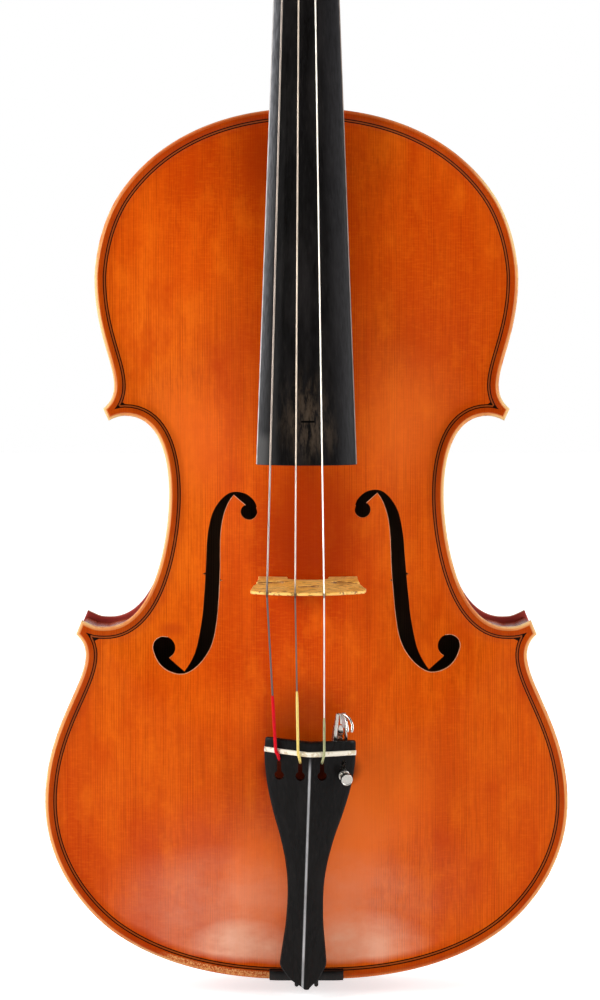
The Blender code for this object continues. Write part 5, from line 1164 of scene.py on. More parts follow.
def board_section(z, hollow, back_off=0.0, across=40):
    """One cross section; back_off pulls its skin in where the end is rounded."""
    half = board_half(z) - back_off
    low = board_under(z)
    flat = -half + BOARD_FLAT
    over = []
    for k in range(across + 1):
        x = -half + 2 * half * k / across
        drop = camber(x)
        if x < flat:
            drop = camber(half) + (camber(flat) - camber(half)) * (x + half) / BOARD_FLAT
        over.append((x, board_top(z) - drop - back_off))
    bevel = 0.45 * MM
    (left, left_up), (right, right_up) = over[0], over[-1]
    over[0] = (left + bevel, left_up)
    over[-1] = (right - bevel, right_up)
    ring_points = [(left, low + bevel), (left, left_up - bevel)] + over
    ring_points += [(right, right_up - bevel), (right, low + bevel), (right - bevel, low)]
    wall = half - 0.8 * BOARD_SIDE
    for k in range(17):
        x = wall * (1 - k / 8)
        ring_points.append((x, low + hollow * math.cos(x / wall * math.pi / 2)))
    ring_points.append((left + bevel, low))
    return [(x, front(h), height(z)) for x, h in ring_points]


def loft(name, sections, finish, body=BODY, sharp=35, closed=False):
    """A skin over rings of equal length, with flat ends, or closed into a loop."""
    count = len(sections[0])
    points = [tuple(p) for section in sections for p in section]
    faces = []
    for k in range(len(sections) - (0 if closed else 1)):
        for i in range(count):
            j, n = (i + 1) % count, (k + 1) % len(sections)
            faces.append((k * count + i, k * count + j, n * count + j, n * count + i))
    if not closed:
        last = (len(sections) - 1) * count
        faces.append(tuple(range(count)))
        faces.append(tuple(last + i for i in reversed(range(count))))
    data = bpy.data.meshes.new(name)
    data.from_pydata(points, [], faces)
    tidy_mesh(data, sharp)
    data.materials.append(finish)
    return finished_piece(name, data, body)


low, high = BOARD_ENDS
sections = [board_section(low, BOARD_HOLLOW, 0.35 * MM), board_section(low + 0.35 * MM,
                                                                       BOARD_HOLLOW)]
for k in range(1, 24):
    z = low + 0.35 * MM + (HOLLOW_END - low) * k / 24
    sections.append(board_section(z, BOARD_HOLLOW))
sections += [board_section(HOLLOW_END + 5 * MM, 0.0)]
for k in range(1, 16):
    sections.append(board_section(HOLLOW_END + 5 * MM + (high - HOLLOW_END - 5 * MM) * k / 15,
                                  0.0))
board = loft("board", sections, ebony_board)
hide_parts("fingerboard")
print("board:", len(board.data.polygons), "faces")

# %% wear, dust and painted light on the board


def paint_board_wear_and_light(finish):
    """Rubbed pale corners with a painted highlight, a painted grey band of lamplight on the bass
    flat, painted shade towards the treble side, rosin dust and one short scratch.
    """
    tree = finish.node_tree
    shader = tree.nodes["Principled BSDF"]
    colour = shader.inputs["Base Color"].links[0].from_socket
    parts = add(tree, "SeparateXYZ", None, Vector=add(tree, "TexCoord").outputs["Object"])
    across, level = parts.outputs["X"], parts.outputs["Z"]
    half = math_node(tree, "MULTIPLY_ADD", level, -BOARD_TAPER)
    half.node.inputs[2].default_value = BOARD_HALF + BOARD_TAPER * height(BODY_LENGTH)
    from_left = math_node(tree, "ADD", across, half)
    from_right = math_node(tree, "SUBTRACT", half, across)
    streak = ramp(tree, noise(tree, (1500, 1500, 35), detail=3), [(0.35, 0.55), (0.62, 1.0)])
    # A grey band painted along the bass flat stands for the left lamp's light; it fades down the board and
    # keeps to faces towards the front.
    upper = add(tree, "MapRange", {}, Value=level, i1=height(262 * MM), i2=height(400 * MM),
                i3=0.25, i4=1.0).outputs[0]
    fade = add(tree, "MapRange", {}, Value=from_left, i1=0.4 * MM, i2=5.5 * MM, i3=1.0,
               i4=0.0).outputs[0]
    band = math_node(tree, "MULTIPLY", math_node(tree, "POWER", fade, 1.4), upper)
    normal = add(tree, "SeparateXYZ", None, Vector=add(tree, "TexCoord").outputs["Normal"])
    in_front = add(tree, "MapRange", {}, Value=normal.outputs["Y"], i1=-0.25, i2=-0.6, i3=0.0,
                   i4=1.0).outputs[0]
    streak = math_node(tree, "MULTIPLY", streak, in_front)
    band = math_node(tree, "MULTIPLY", band, streak)
    colour = mix(tree, scaled_by(tree, band, 0.9), colour, (0.26, 0.26, 0.275, 1))
    # The painted grey band again, fainter, at the lower end of the flat.
    foot = between(tree, level, height(240 * MM), height(257 * MM), 3 * MM)
    foot = math_node(tree, "MULTIPLY", foot, between(tree, from_left, 0, 5 * MM, 2 * MM))
    colour = mix(tree, scaled_by(tree, foot, 0.4), colour, (0.14, 0.135, 0.13, 1))
    # Painted shade: the treble side of the board darker, away from the left lamp.
    dull = add(tree, "MapRange", {}, Value=from_right, i1=0.5 * MM, i2=11 * MM, i3=0.8,
               i4=0.0).outputs[0]
    colour = mix(tree, math_node(tree, "MULTIPLY", dull, streak), colour,
                 (0.035, 0.034, 0.037, 1))
    dust = ramp(tree, noise(tree, (420, 420, 90), detail=4, roughness=0.7),
                [(0.42, 0.0), (0.62, 1.0)])
    for centre, reach, strength in (((0, 266), (19, 30), 0.45), ((1, 262), (9, 22), 0.3),
                                    ((9, 256), (9, 12), 0.2)):
        near = math_node(tree, "MULTIPLY", spot(tree, centre, reach, 0.1), dust)
        colour = mix(tree, scaled_by(tree, near, strength), colour, (0.095, 0.066, 0.044, 1))
    scratch = math_node(tree, "MULTIPLY",
                        between(tree, level, height(263.5 * MM), height(264.4 * MM), 0.1 * MM),
                        between(tree, across, -2.6 * MM, 3.6 * MM, 0.3 * MM))
    colour = mix(tree, scratch, colour, (0.0005, 0.0005, 0.0005, 1))
    # Pale corners: rubbed ebony and a painted highlight, brighter on the bass side.
    for away, tone, strength in ((from_left, (0.62, 0.59, 0.57, 1), 1.0),
                                 (from_right, (0.42, 0.34, 0.29, 1), 0.8)):
        corner = between(tree, away, -1 * MM, 0.42 * MM, 0.14 * MM)
        corner = math_node(tree, "MULTIPLY", corner, streak)
        colour = mix(tree, scaled_by(tree, corner, strength), colour, tone)
    tree.links.new(colour, shader.inputs["Base Color"])


paint_board_wear_and_light(ebony_board)
print("board worn")

# %% [markdown]
# ## Strings and their silk
#
# A string is a core with a thin flat wire wound tightly round it, and below the bridge its end is
# bound with coloured silk. Each follows the same route as its solid: from the tailpiece's fret over
# the bridge, along the board, over the nut and round its peg. A circle swept along that route makes
# the string. The turns of wire are far finer than the eye sees here, so they are a finish.

# %% the route of each string
CROWN_HEIGHT = 52.5
CROWN_RADIUS = 42.0
BRIDGE_BACK = (189.8 - 4.6) * MM
STRING_LINE = BRIDGE_BACK / MM + 1
FRET_Z, FRET_RISE = 111.3, 1.5
KEYHOLE_Z = 100.8
STRINGS = {
    "c": (-18.0, -8.9, -12.6, 0.60, 0.72), "g": (-5.2, -3.1, -2.9, 0.475, 0.62),
    "d": (7.9, 2.7, 7.1, 0.425, 0.56), "a": (21.0, 8.5, 17.1, 0.35, 0.50),
}
SILK_ENDS = {"c": 138.8, "g": 141.3, "d": 128.7}
STRING_SHARE = {"c": 0.72, "g": 0.76, "d": 0.84}    # wire alone, without the solid's round-off
SILK_DIVE = ((1.7, 1.75), (2.9, 0.7), (3.9, -1.0), (4.7, -3.0), (5.0, -5.0))
NUT_TOP = BODY_LENGTH + 152 * MM
NUT_LONG = 5.5 * MM
NUT_RISE = 1.0 * MM
FIT = 0.3
TAILPIECE = [
    (117.0, 20.8, 0), (108.4, 21.0, 0), (102.7, 20.5, 0), (97.0, 19.7, 0), (91.3, 18.5, 0),
    (85.5, 17.0, 0), (79.8, 15.3, 0), (74.0, 13.4, 0), (68.3, 11.8, 0), (60.0, 9.9, 0),
    (50.9, 8.65, 0), (42.0, 8.3, 0), (30.5, 8.7, 0), (22.0, 9.6, 0), (13.0, 10.6, 0),
    (9.0, 10.8, 0), (6.0, 9.3, 0.2), (1.7, 6.3, 0.9), (-0.8, 2.9, 1.5), (-2.6, 0.9, 2.0),
]
TAIL_HEIGHT, TAIL_SLOPE, TAIL_CAMBER = 10.0, 0.217, 0.36
TAIL_EDGE, TAIL_HOLLOW = 3.2, 0.7
TAIL_SWING, TAIL_X = 0.0318, -1.65
SIDEWAYS = {"c": -0.9, "g": -0.7, "d": 0.9, "a": 0.0}   # each string's notch in the fret
TAIL_LIFT = 0.078                   # the bass side of the tailpiece's top is a little higher


def real_point(x, above, z):
    """A world point from millimetres: x, height in front of the edge plane, body height."""
    return Vector((x * MM, front(above * MM), height(z * MM)))


def tail_middle(z):
    return TAIL_X + TAIL_SWING * (z - 6)


def tail_raised(x, z):
    """How far up the tailpiece's skewed top moves a point, in millimetres."""
    top_share = min(1.0, max(0.0, (z - 60) / 40))
    return TAIL_LIFT * max(0.0, tail_middle(z) - x) * top_share ** 2


def tail_half(z):
    stations = TAILPIECE[::-1]
    return float(np.interp(z, [s[0] for s in stations], [s[1] for s in stations]))


def tail_surface(x, z):
    """The tailpiece's front face: two gently rounded slopes that meet in a ridge."""
    half = tail_half(z)
    share = min(1.0, abs(x - tail_middle(z)) / half)
    return TAIL_HEIGHT + TAIL_SLOPE * (z + 3) - TAIL_CAMBER * half * (0.72 * share
                                                                      + 0.28 * share ** 2)


def crown_height(x):
    return CROWN_HEIGHT - CROWN_RADIUS + math.sqrt(CROWN_RADIUS ** 2 - (x + 0.5) ** 2)


def nut_height(x):
    return (board_top(NUT_TOP - NUT_LONG / 2) - camber(x * MM) + NUT_RISE) / MM


def string_route(name):
    """Middle of one string where it bends: fret, crown and nut."""
    x_crown, x_nut, x_key, radius, silk = STRINGS[name]
    x_fret = x_key + (x_crown - x_key) * (FRET_Z - KEYHOLE_Z) / (STRING_LINE - KEYHOLE_Z)
    x_fret += SIDEWAYS[name]
    fret = real_point(x_fret, tail_surface(x_fret, FRET_Z) + FRET_RISE + 0.3 + silk,
                      FRET_Z + tail_raised(x_fret, FRET_Z))
    crown = real_point(x_crown, crown_height(x_crown) + 0.1, STRING_LINE)
    bend = real_point(x_nut, nut_height(x_nut) + 0.1, NUT_TOP / MM - 1.2)
    return fret, crown, bend


for name in "cgd":
    print("string", name, "speaking length %.0f mm" %
          ((string_route(name)[2] - string_route(name)[1]).length / MM))

# %% sweep the strings and the silk
HEAD_TILT = math.radians(15)
HEAD_SET_BACK = 2.3 * MM
PEGS = {"a": (18, 1), "c": (33, -1), "d": (57, 1), "g": (72, -1)}
PEG_V, PEG_RADIUS, PEG_TAPER = -8.5, 4.2, 1 / 30
WINDINGS = {"c": (-3.4, 2.6), "g": (-2.6, 2.2), "d": (2.8, 2.2)}
TURN_GAP = 0.45
PEGBOX = [
    (-10, 11.4, -7.6, -17.0), (-4, 12.4, -7.2, -19.5), (1.0, 13.0, -6.6, -22.0),
    (2.4, 13.3, -0.4, -22.8), (7, 14.1, 0.0, -24.0), (32, 13.2, 0.0, -24.4),
    (60, 12.0, 0.0, -22.4), (82, 11.0, 0.0, -20.0), (88, 10.8, -2.5, -19.2),
    (93, 10.5, -7.5, -18.8), (98, 10.2, -10.0, -18.5), (104.5, 9.2, -12.0, -18.3),
]


def head_point(x, u, v):
    """A point in the head's own frame: u up from the nut, v to the front, in millimetres."""
    rise = u * math.cos(HEAD_TILT) + v * math.sin(HEAD_TILT)
    depth = u * math.sin(HEAD_TILT) - v * math.cos(HEAD_TILT)
    head_y = front(board_top(NUT_TOP)) + HEAD_SET_BACK
    return Vector((x * MM, head_y + depth * MM, height(NUT_TOP) + rise * MM))


def cheek(u):
    return float(np.interp(u, [s[0] for s in PEGBOX], [s[1] for s in PEGBOX]))


def winding(name, per_turn=40):
    """The string from the nut to its peg, and round the shaft towards the cheek."""
    start_x, turns = WINDINGS[name]
    u_peg, side = PEGS[name]
    radius = STRINGS[name][3]
    bend = string_route(name)[2]
    rise = (bend.z - height(NUT_TOP)) / MM
    depth = (bend.y - front(board_top(NUT_TOP)) - HEAD_SET_BACK) / MM
    u0 = rise * math.cos(HEAD_TILT) + depth * math.sin(HEAD_TILT)
    v0 = rise * math.sin(HEAD_TILT) - depth * math.cos(HEAD_TILT)
    wrap = PEG_RADIUS - (cheek(u_peg) - abs(start_x)) * PEG_TAPER + FIT + radius
    du, dv = u_peg - u0, PEG_V - v0
    heading = math.atan2(dv, du) + math.asin(wrap / math.hypot(du, dv))
    pitch = side * (2 * radius + TURN_GAP)
    found = []
    for k in range(int(per_turn * turns) + 1):
        angle = heading + math.pi / 2 - 2 * math.pi * k / per_turn
        found.append(head_point(start_x + pitch * k / per_turn,
                                u_peg + wrap * math.cos(angle), PEG_V + wrap * math.sin(angle)))
    return found


def softened(points, bend_at, reach):
    """Round the corner of a route at one of its points."""
    before, corner, after = points[bend_at - 1:bend_at + 2]
    a = corner + (before - corner).normalized() * reach
    b = corner + (after - corner).normalized() * reach
    curve = [a.lerp(corner, t).lerp(corner.lerp(b, t), t) for t in np.linspace(0, 1, 7)]
    return points[:bend_at] + curve + points[bend_at + 1:]


def tube(name, route, radius, finish, body=BODY, sides=12, ends=True):
    """A circle swept along a route; radius in millimetres, one value or one per point."""
    radii = radius if hasattr(radius, "__len__") else [radius] * len(route)
    rings, side = [], Vector((1, 0, 0))
    for i, place in enumerate(route):
        along = (route[min(i + 1, len(route) - 1)] - route[max(i - 1, 0)]).normalized()
        side = (side - along * side.dot(along)).normalized()
        up = along.cross(side)
        rings.append([place + (side * math.cos(a) + up * math.sin(a)) * radii[i] * MM
                      for a in np.linspace(0, 2 * math.pi, sides, endpoint=False)])
    return loft(name, rings, finish, body, sharp=50)


for name, silk_top in SILK_ENDS.items():
    fret, crown, bend = string_route(name)
    x_key, radius, silk = STRINGS[name][2:]
    share = (height(silk_top * MM) - fret.z) / (crown.z - fret.z)
    silk_end = fret.lerp(crown, share)
    away = (crown - silk_end).normalized()
    route = [silk_end + away * 0.25 * MM, crown, bend] + winding(name)
    route = softened(softened(route, 2, 1.5 * MM), 1, 1.5 * MM)
    string = tube("wound_string_" + name, route, STRING_SHARE[name] * radius,
                  string_finishes[name])
    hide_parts("string_" + name)
    dive = []
    for below, lift in SILK_DIVE:
        x = x_key + SIDEWAYS[name] * max(0.0, 1 - below / 4)
        z = FRET_Z - below
        dive.append(real_point(x, tail_surface(x, z) + lift + silk, z + tail_raised(x, z)))
    curve = [Vector(p) for p in through_points([tuple(p) for p in [fret] + dive], 6)]
    straight = [silk_end.lerp(fret, t) for t in np.linspace(0, 1, 12)][:-1]
    route = straight + curve
    flare = [radius + (silk - radius) * min(1, i / 1.5) for i in range(len(route))]
    bound = tube("silk_end_" + name, route, flare, silk_finishes[name])
    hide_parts("silk_" + name)
print("strings and silk done")

# %% [markdown]
# ## The rubbed edges of the sound holes
#
# A sound hole's edge is left sharp, so the varnish soon rubs off it, and the pale wood shows as a
# hair-thin line. The line shows best on the side by the strings, which catches the light. It is
# a tube a third of a millimetre thick that follows the hole's side over the arching.

# %% lay a pale line along each hole
rubbed_edge = bare_wood("rubbed_edge", (0.72, 0.38, 0.22, 1), (0.46, 0.16, 0.06, 1))
for name, side in (("bass", -1), ("treble", 1)):
    drawn = [tuple(p) for p in through_points(SIDE_BY_STRINGS, 4)]
    drawn += [tuple(p) for p in through_points([SIDE_BY_STRINGS[-1], (72.1, 157.6), (71.0, 160.5),
                                                (68.2, 162.3), (65.0, 162.2)], 3)][1:]
    drawn = on_side(drawn[::-1] + [TONGUE_ROOTS[1]], side)
    levels = outer_height(drawn)[0]
    lip = [Vector((x, FRONT_PLANE - level, z + BUTTON_OUT)) for (x, z), level in zip(drawn, levels)]
    radii = [0.13 + 0.03 * math.sin(i * 1.7) for i in range(len(lip))]
    tube("hole_lip_" + name, lip, radii, rubbed_edge, sides=6)
print("sound hole edges laid")

# %% [markdown]
# ## The tailpiece
#
# The tailpiece is carved from one piece of ebony: two hollowed slopes meet in a sharp ridge down the
# middle, along which a pale line is painted as a highlight. It is another loft. Its stations are
# drawn through with a smooth curve, and the keyholes that hold the strings' ends are cut right
# through it with Booleans, which are applied at once so that the piece stays one plain mesh.

# %% carve the tailpiece
KEYHOLE, SLOT_HALF, SLOT_END = 2.15, 0.95, 107.9


def carve(piece, cutters):
    """Cut shapes out of a piece at once, and remove the shapes."""
    for cutter in cutters:
        boolean = piece.modifiers.new("carve", "BOOLEAN")
        boolean.operation = "DIFFERENCE"
        boolean.solver = "EXACT"
        boolean.object = cutter
        bpy.context.view_layer.update()
        cut_mesh = bpy.data.meshes.new_from_object(
            piece.evaluated_get(bpy.context.evaluated_depsgraph_get()))
        piece.modifiers.clear()
        old = piece.data
        piece.data = cut_mesh
        bpy.data.meshes.remove(old)
    for cutter in cutters:
        bpy.data.objects.remove(cutter, do_unlink=True)


def plain_tool(name, points, faces):
    data = bpy.data.meshes.new(name)
    data.from_pydata([tuple(p) for p in points], [], faces)
    mesh = bmesh.new()
    mesh.from_mesh(data)
    bmesh.ops.recalc_face_normals(mesh, faces=mesh.faces)
    mesh.to_mesh(data)
    mesh.free()
    tool = bpy.data.objects.new(name, data)
    bpy.context.scene.collection.objects.link(tool)
    return tool


def prism(name, outline_points, low, high):
    """A cutting tool: an outline of (x, body height) in millimetres, from low to high."""
    points = [real_point(x, h, z) for h in (low, high) for x, z in outline_points]
    count = len(outline_points)
    faces = [tuple(range(count)), tuple(reversed(range(count, 2 * count)))]
    faces += [(i, (i + 1) % count, count + (i + 1) % count, count + i) for i in range(count)]
    return plain_tool(name, points, faces)


def keyhole_outline(x):
    """A round hole with a slot above it, as one outline."""
    start = math.asin(SLOT_HALF / KEYHOLE)
    points = []
    for angle in np.linspace(math.pi / 2 + start, 2.5 * math.pi - start, 28):
        points.append((x + KEYHOLE * math.cos(angle), KEYHOLE_Z + KEYHOLE * math.sin(angle)))
    for angle in np.linspace(0, math.pi, 9):
        points.append((x + SLOT_HALF * math.cos(angle), SLOT_END - 1 + SLOT_HALF * math.sin(angle)))
    return points


def tail_ring(z, half, step, shrink=0.0):
    """One cross section of the tailpiece, with its rounded ridge and softened edges."""
    middle = tail_middle(z) + step
    half -= shrink
    crest = min(0.45, 0.2 * half)
    over = []
    shares = np.concatenate([np.linspace(-1, -0.1, 16), [-0.06, -0.03, 0, 0.03, 0.06],
                             np.linspace(0.1, 1, 16)])
    for share in shares:
        x = share * half
        bent = (math.hypot(x, crest) - crest) / half
        drop = TAIL_CAMBER * half * (0.72 * bent + 0.28 * bent ** 2)
        over.append((x, TAIL_HEIGHT + TAIL_SLOPE * (z + 3) - drop - shrink))
    bevel = 0.5
    left_up, right_up = over[0][1], over[-1][1]
    over[0] = (over[0][0] + bevel, left_up)
    over[-1] = (over[-1][0] - bevel, right_up)
    edge = left_up - TAIL_EDGE + 2 * shrink
    points = [(-half, left_up - bevel)] + over + [(half, right_up - bevel)]
    deep = TAIL_HOLLOW * TAIL_CAMBER * half
    for share in np.linspace(0.94, -0.94, 13):
        points.append((share * half, edge + deep * (1 - abs(share) ** 1.4)))
    return [real_point(middle + x, h, z + tail_raised(middle + x, z)) for x, h in points]


stations = through_points(TAILPIECE, 4)
stations[:, 1] = np.maximum(stations[:, 1], 0.9)
first = stations[0]
rings = [tail_ring(first[0], first[1], first[2], 0.8),
         tail_ring(first[0] - 0.25, first[1], first[2], 0.3)]
rings += [tail_ring(z - (0.8 if z == first[0] else 0), half, step) for z, half, step in stations]
ebony_tail = ebony_finish("ebony_tailpiece", gloss=0.26, streaks=0.2)
ebony_tail.node_tree.nodes["Principled BSDF"].inputs["Specular IOR Level"].default_value = 0.08
tail = loft("tail", rings, ebony_tail, sharp=38)
carve(tail, [prism("keyhole_tool", keyhole_outline(STRINGS[name][2]), -20, 60)
             for name in STRINGS])
ridge = np.array([abs(v.co.x / MM - tail_middle((v.co.z - BUTTON_OUT) / MM))
                  + (0 if v.co.y < front(TAIL_HEIGHT * MM * 0.5) else 9) for v in tail.data.vertices])
tail.data.attributes.new("ridge", "FLOAT", "POINT").data.foreach_set(
    "value", (ridge * MM).astype(np.float32))
tail.data.shade_smooth()
tail.data.set_sharp_from_angle(angle=math.radians(38))
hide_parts("tailpiece")
print("tailpiece:", len(tail.data.polygons), "faces")

# %% paint a highlight along its ridge


def paint_ridge_highlight(finish):
    """A painted highlight: a pale line along the ridge, below the white fret."""
    tree = finish.node_tree
    shader = tree.nodes["Principled BSDF"]
    plain = shader.inputs["Base Color"].links[0].from_socket
    away = attribute(tree, "ridge")
    place = add(tree, "SeparateXYZ", None, Vector=add(tree, "TexCoord").outputs["Object"])
    level = between(tree, place.outputs["Z"], -5 * MM, height(106 * MM), 5 * MM)
    worn = noise(tree, (60, 60, 45), detail=3)
    worn = ramp(tree, worn, [(0.3, 0.45), (0.6, 1.0)])
    line = between(tree, away, -1 * MM, 0.5 * MM, 0.28 * MM)
    line = math_node(tree, "MULTIPLY", math_node(tree, "MULTIPLY", line, level), worn)
    tree.links.new(mix(tree, scaled_by(tree, line, 0.9), plain, (0.55, 0.55, 0.56, 1)),
                   shader.inputs["Base Color"])


# The pale line along the ridge is a painted highlight.
paint_ridge_highlight(ebony_tail)
print("ridge polished")

# %% [markdown]
# ## Fret, saddle, tailgut and end button
#
# The strings leave the tailpiece over a white fret let into it. Below, a loop of black nylon comes
# out of the tailpiece, bends over a small ebony saddle in the edge of the plate, and goes round
# the end button, which a taper holds in the bottom block. The whole pull of the strings hangs on it.

# %% small pieces at the lower end
FRET_LONG = 2.3
SADDLE_RISE = 3.2
GUT, GUT_SPREAD, GUT_FRONT = 1.0, 4.6, -1.45
COLLAR, SHANK = 6.0, 3.4

half = tail_half(FRET_Z) + 0.2
fret_rings = []
for dz, sink in ((-0.5, 0.45), (-0.42, 0.12), (-0.25, 0.0), (0.25, 0.0), (0.42, 0.12),
                 (0.5, 0.45)):
    z = FRET_Z + dz * FRET_LONG
    over, under = [], []
    for k in range(41):
        x = tail_middle(z) + half * (-1 + k / 20)
        lift = 0.8 * max(0.0, (k - 34) / 6) ** 2
        smooth_top = tail_surface(x, z) if abs(k - 20) > 2 else tail_surface(
            tail_middle(z) + half * 0.1, z) + 0.10 * (2 - abs(k - 20))
        level = z + tail_raised(x, z)
        over.append(real_point(x, smooth_top + FRET_RISE + lift - sink, level))
        under.append(real_point(x, tail_surface(x, z) + 0.1 + lift, level))
    fret_rings.append(over + under[::-1])
white_fret = loft("white_fret", fret_rings, ivory, sharp=50)
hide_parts("tailpiece_fret")

rows = []
block_half, top_h, low_h = 17.35, SADDLE_RISE, -EDGE_THICK / MM
for z, inset in ((0.0, 0.8), (0.15, 0.35), (0.5, 0.1), (0.9, 0.0), (3.9, 0.0), (4.3, 0.15),
                 (4.55, 0.4), (4.7, 0.9)):
    row = [(-block_half + inset * 0.3, low_h)]
    for k in range(25):
        x = (block_half - inset * 0.3) * (-1 + k / 12)
        away = max(0.0, abs(x) - 12.5) / 5
        row.append((x, top_h - inset - 0.8 * away ** 2))
    row.append((block_half - inset * 0.3, low_h))
    rows.append([real_point(x, h, z) for x, h in row])
saddle_piece = loft("saddle_block", rows, ebony_fittings, sharp=40)
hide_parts("saddle")

reach = COLLAR - 2.4 + 0.3 + GUT
under_saddle = SADDLE_RISE + 0.35 + GUT
arm = [(GUT_SPREAD, under_saddle + 0.9, 17.0), (GUT_SPREAD, under_saddle + 0.1, 8.0),
       (GUT_SPREAD, under_saddle, 4.5), (GUT_SPREAD, under_saddle, 0.9),
       (GUT_SPREAD, under_saddle - 0.5, -0.6), (GUT_SPREAD, under_saddle - 1.8, GUT_FRONT)]
loop = []
for k in range(11):
    turn = math.radians(-8 - 16.4 * k)
    loop.append((reach * math.cos(turn), -reach * math.sin(turn), GUT_FRONT))
route = [real_point(*p) for p in arm]
route += [Vector((x * MM, y * MM, height(z * MM))) for x, y, z in loop]
route += [real_point(-x, h, z) for x, h, z in reversed(arm)]
route = [Vector(p) for p in through_points([tuple(p) for p in route], 4)]
gut = tube("nylon_gut", route, GUT, nylon, sides=14)
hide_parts("tailgut")

groove = COLLAR - 2.4
profile = [(0, 29), (SHANK * 0.86, 29), (SHANK, 9.5), (COLLAR * 0.9, 9.4), (COLLAR * 0.9, 7.0),
           (groove + 0.3, 6.95), (groove, 6.5), (groove, 4.6), (groove + 0.25, 4.25)]
profile += [(COLLAR * 0.95, 3.8), (COLLAR - 0.05, 3.3), (COLLAR, 2.6), (COLLAR * 0.96, 1.8)]
profile += [(COLLAR * 0.88, 1.1), (COLLAR * 0.74, 0.45), (COLLAR * 0.55, 0.1), (COLLAR * 0.3, 0.0),
            (0, 0)]
end_piece = turned("turned_button", profile, (0, 0, 0), (0, 0, 1), ebony_fittings)
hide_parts("end_button")

# %% [markdown]
# ## The fine tuner
#
# A peg is too coarse for small changes of pitch, so the highest string gets a screw on the
# tailpiece. Its tip pushes the short arm of a bent lever, whose long arm ends in a fork that would
# hold the string's loop. The parts are pressed from sheet metal and nickel plated, so each one is
# a thin strip with rounded edges, swept along its bend. They are placed in the tuner's own frame:
# s sideways, t up along the tailpiece and n out of its face, with the screw's axis at s = t = 0.

# %% bend the tuner's strips
TUNER_LEAN = math.radians(13)
TUNER_HEAD = (2.75, 4.4, 6.6)       # radius, bottom and top of the knurled head
TUNER_COLLAR = 2.75
KNURLS = 30


def tuner_point(s, t, n):
    slope = math.atan(TAIL_SLOPE)
    up = Vector((0, -math.sin(slope), math.cos(slope)))
    plain = Vector((0, -math.cos(slope), -math.sin(slope)))
    side = Vector((1, 0, 0))
    out = plain * math.cos(TUNER_LEAN) + side * math.sin(TUNER_LEAN)
    across = side * math.cos(TUNER_LEAN) - plain * math.sin(TUNER_LEAN)
    x_key = STRINGS["a"][2]
    origin = real_point(x_key, tail_surface(x_key, KEYHOLE_Z), KEYHOLE_Z)
    return origin + (across * s + up * t + out * n) * MM


def strip(name, stations, finish, body=BODY, per_span=5, sides=20):
    """A strip of sheet metal: its stations are s, t, n, half width and half thickness."""
    rings = []
    for s, t, n, wide, thick in through_points(stations, per_span):
        row = []
        for angle in np.linspace(0, 2 * math.pi, sides, endpoint=False):
            c, d = math.cos(angle), math.sin(angle)
            row.append(tuner_point(s + wide * math.copysign(abs(c) ** 0.45, c), t,
                                   n + thick * math.copysign(abs(d) ** 0.45, d)))
        rings.append(row)
    return loft(name, rings, finish, body, sharp=60)


def knurled_ring(profile, teeth, depth, steps=120):
    """Rings of a turned shape whose rim carries small teeth."""
    rings = []
    for radius, n, cut in profile:
        row = []
        for k in range(steps):
            angle = 2 * math.pi * k / steps
            far = radius - cut * depth * (0.5 - 0.5 * math.cos(teeth * angle))
            row.append(tuner_point(far * math.cos(angle), far * math.sin(angle), n))
        rings.append(row)
    return rings


base = strip("tuner_base", [(0, -4, -6.4, 3.2, 0.5), (0, 6, -6.4, 3.2, 0.5),
                            (0, 15.0, -6.4, 3.2, 0.5)], nickel)
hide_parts("tuner_frame")
left_cheek = strip("tuner_cheek_left", [
    (-3.3, 9.0, -8.0, 0.7, 2.2), (-3.35, 15.4, -5.2, 0.95, 2.3), (-3.0, 21.2, -4.2, 0.9, 1.6),
    (-2.5, 25.3, -3.6, 0.8, 1.2), (-2.25, 28.6, -2.9, 0.75, 0.8), (-2.0, 29.3, -3.0, 0.5, 0.4)],
    nickel)
right_cheek = strip("tuner_cheek_right", [
    (3.0, 9.0, -8.4, 0.5, 2.0), (2.4, 15.2, -5.6, 0.5, 2.1), (1.9, 19.3, -4.4, 0.45, 1.4),
    (1.5, 22.6, -3.8, 0.4, 0.9), (1.3, 25.0, -3.9, 0.35, 0.5)], nickel)
post = strip("tuner_post", [(0, 0, -6.4, 1.8, 1.8), (0, 0.05, 0.2, 1.8, 1.8)], nickel)

LEVER = "tuner_lever"
arm = strip("tuner_arm", [
    (0, -2.4, -11.05, 1.9, 0.45), (0, 6.0, -11.0, 1.9, 0.6), (0, 11.5, -10.2, 1.9, 1.4),
    (0, 15.0, -9.2, 1.7, 1.3), (-0.2, 16.5, -7.8, 1.55, 1.1), (-0.3, 17.6, -6.0, 1.45, 1.0),
    (-0.4, 18.9, -4.4, 1.35, 0.6), (-0.7, 21.2, -3.5, 1.2, 0.5),
    (-1.0, 23.2, -3.2, 0.6, 0.4)], nickel, LEVER)
tongue = strip("tuner_tongue", [
    (-0.6, 23.8, -3.2, 0.42, 0.4), (-0.8, 26.9, -2.7, 0.5, 0.45), (-1.0, 28.9, -2.8, 0.42, 0.35)],
    nickel, LEVER)
plate = strip("tuner_plate", [
    (1.0, 21.6, -3.9, 0.8, 0.35), (0.9, 24.5, -3.4, 1.15, 0.35), (0.7, 27.4, -2.9, 1.2, 0.4),
    (0.6, 29.2, -2.7, 1.0, 0.35)], nickel_dull, LEVER)
inner_tine = tube("tuner_tine_inner", [tuner_point(*p[:3]) for p in through_points(
    [(0.2, 28.4, -2.4), (0.9, 27.2, 0.2), (1.0, 25.0, 2.0), (1.1, 22.0, 3.1)], 6)],
    [0.55] * 13 + [0.60, 0.66, 0.72, 0.76, 0.74, 0.48], nickel, LEVER)
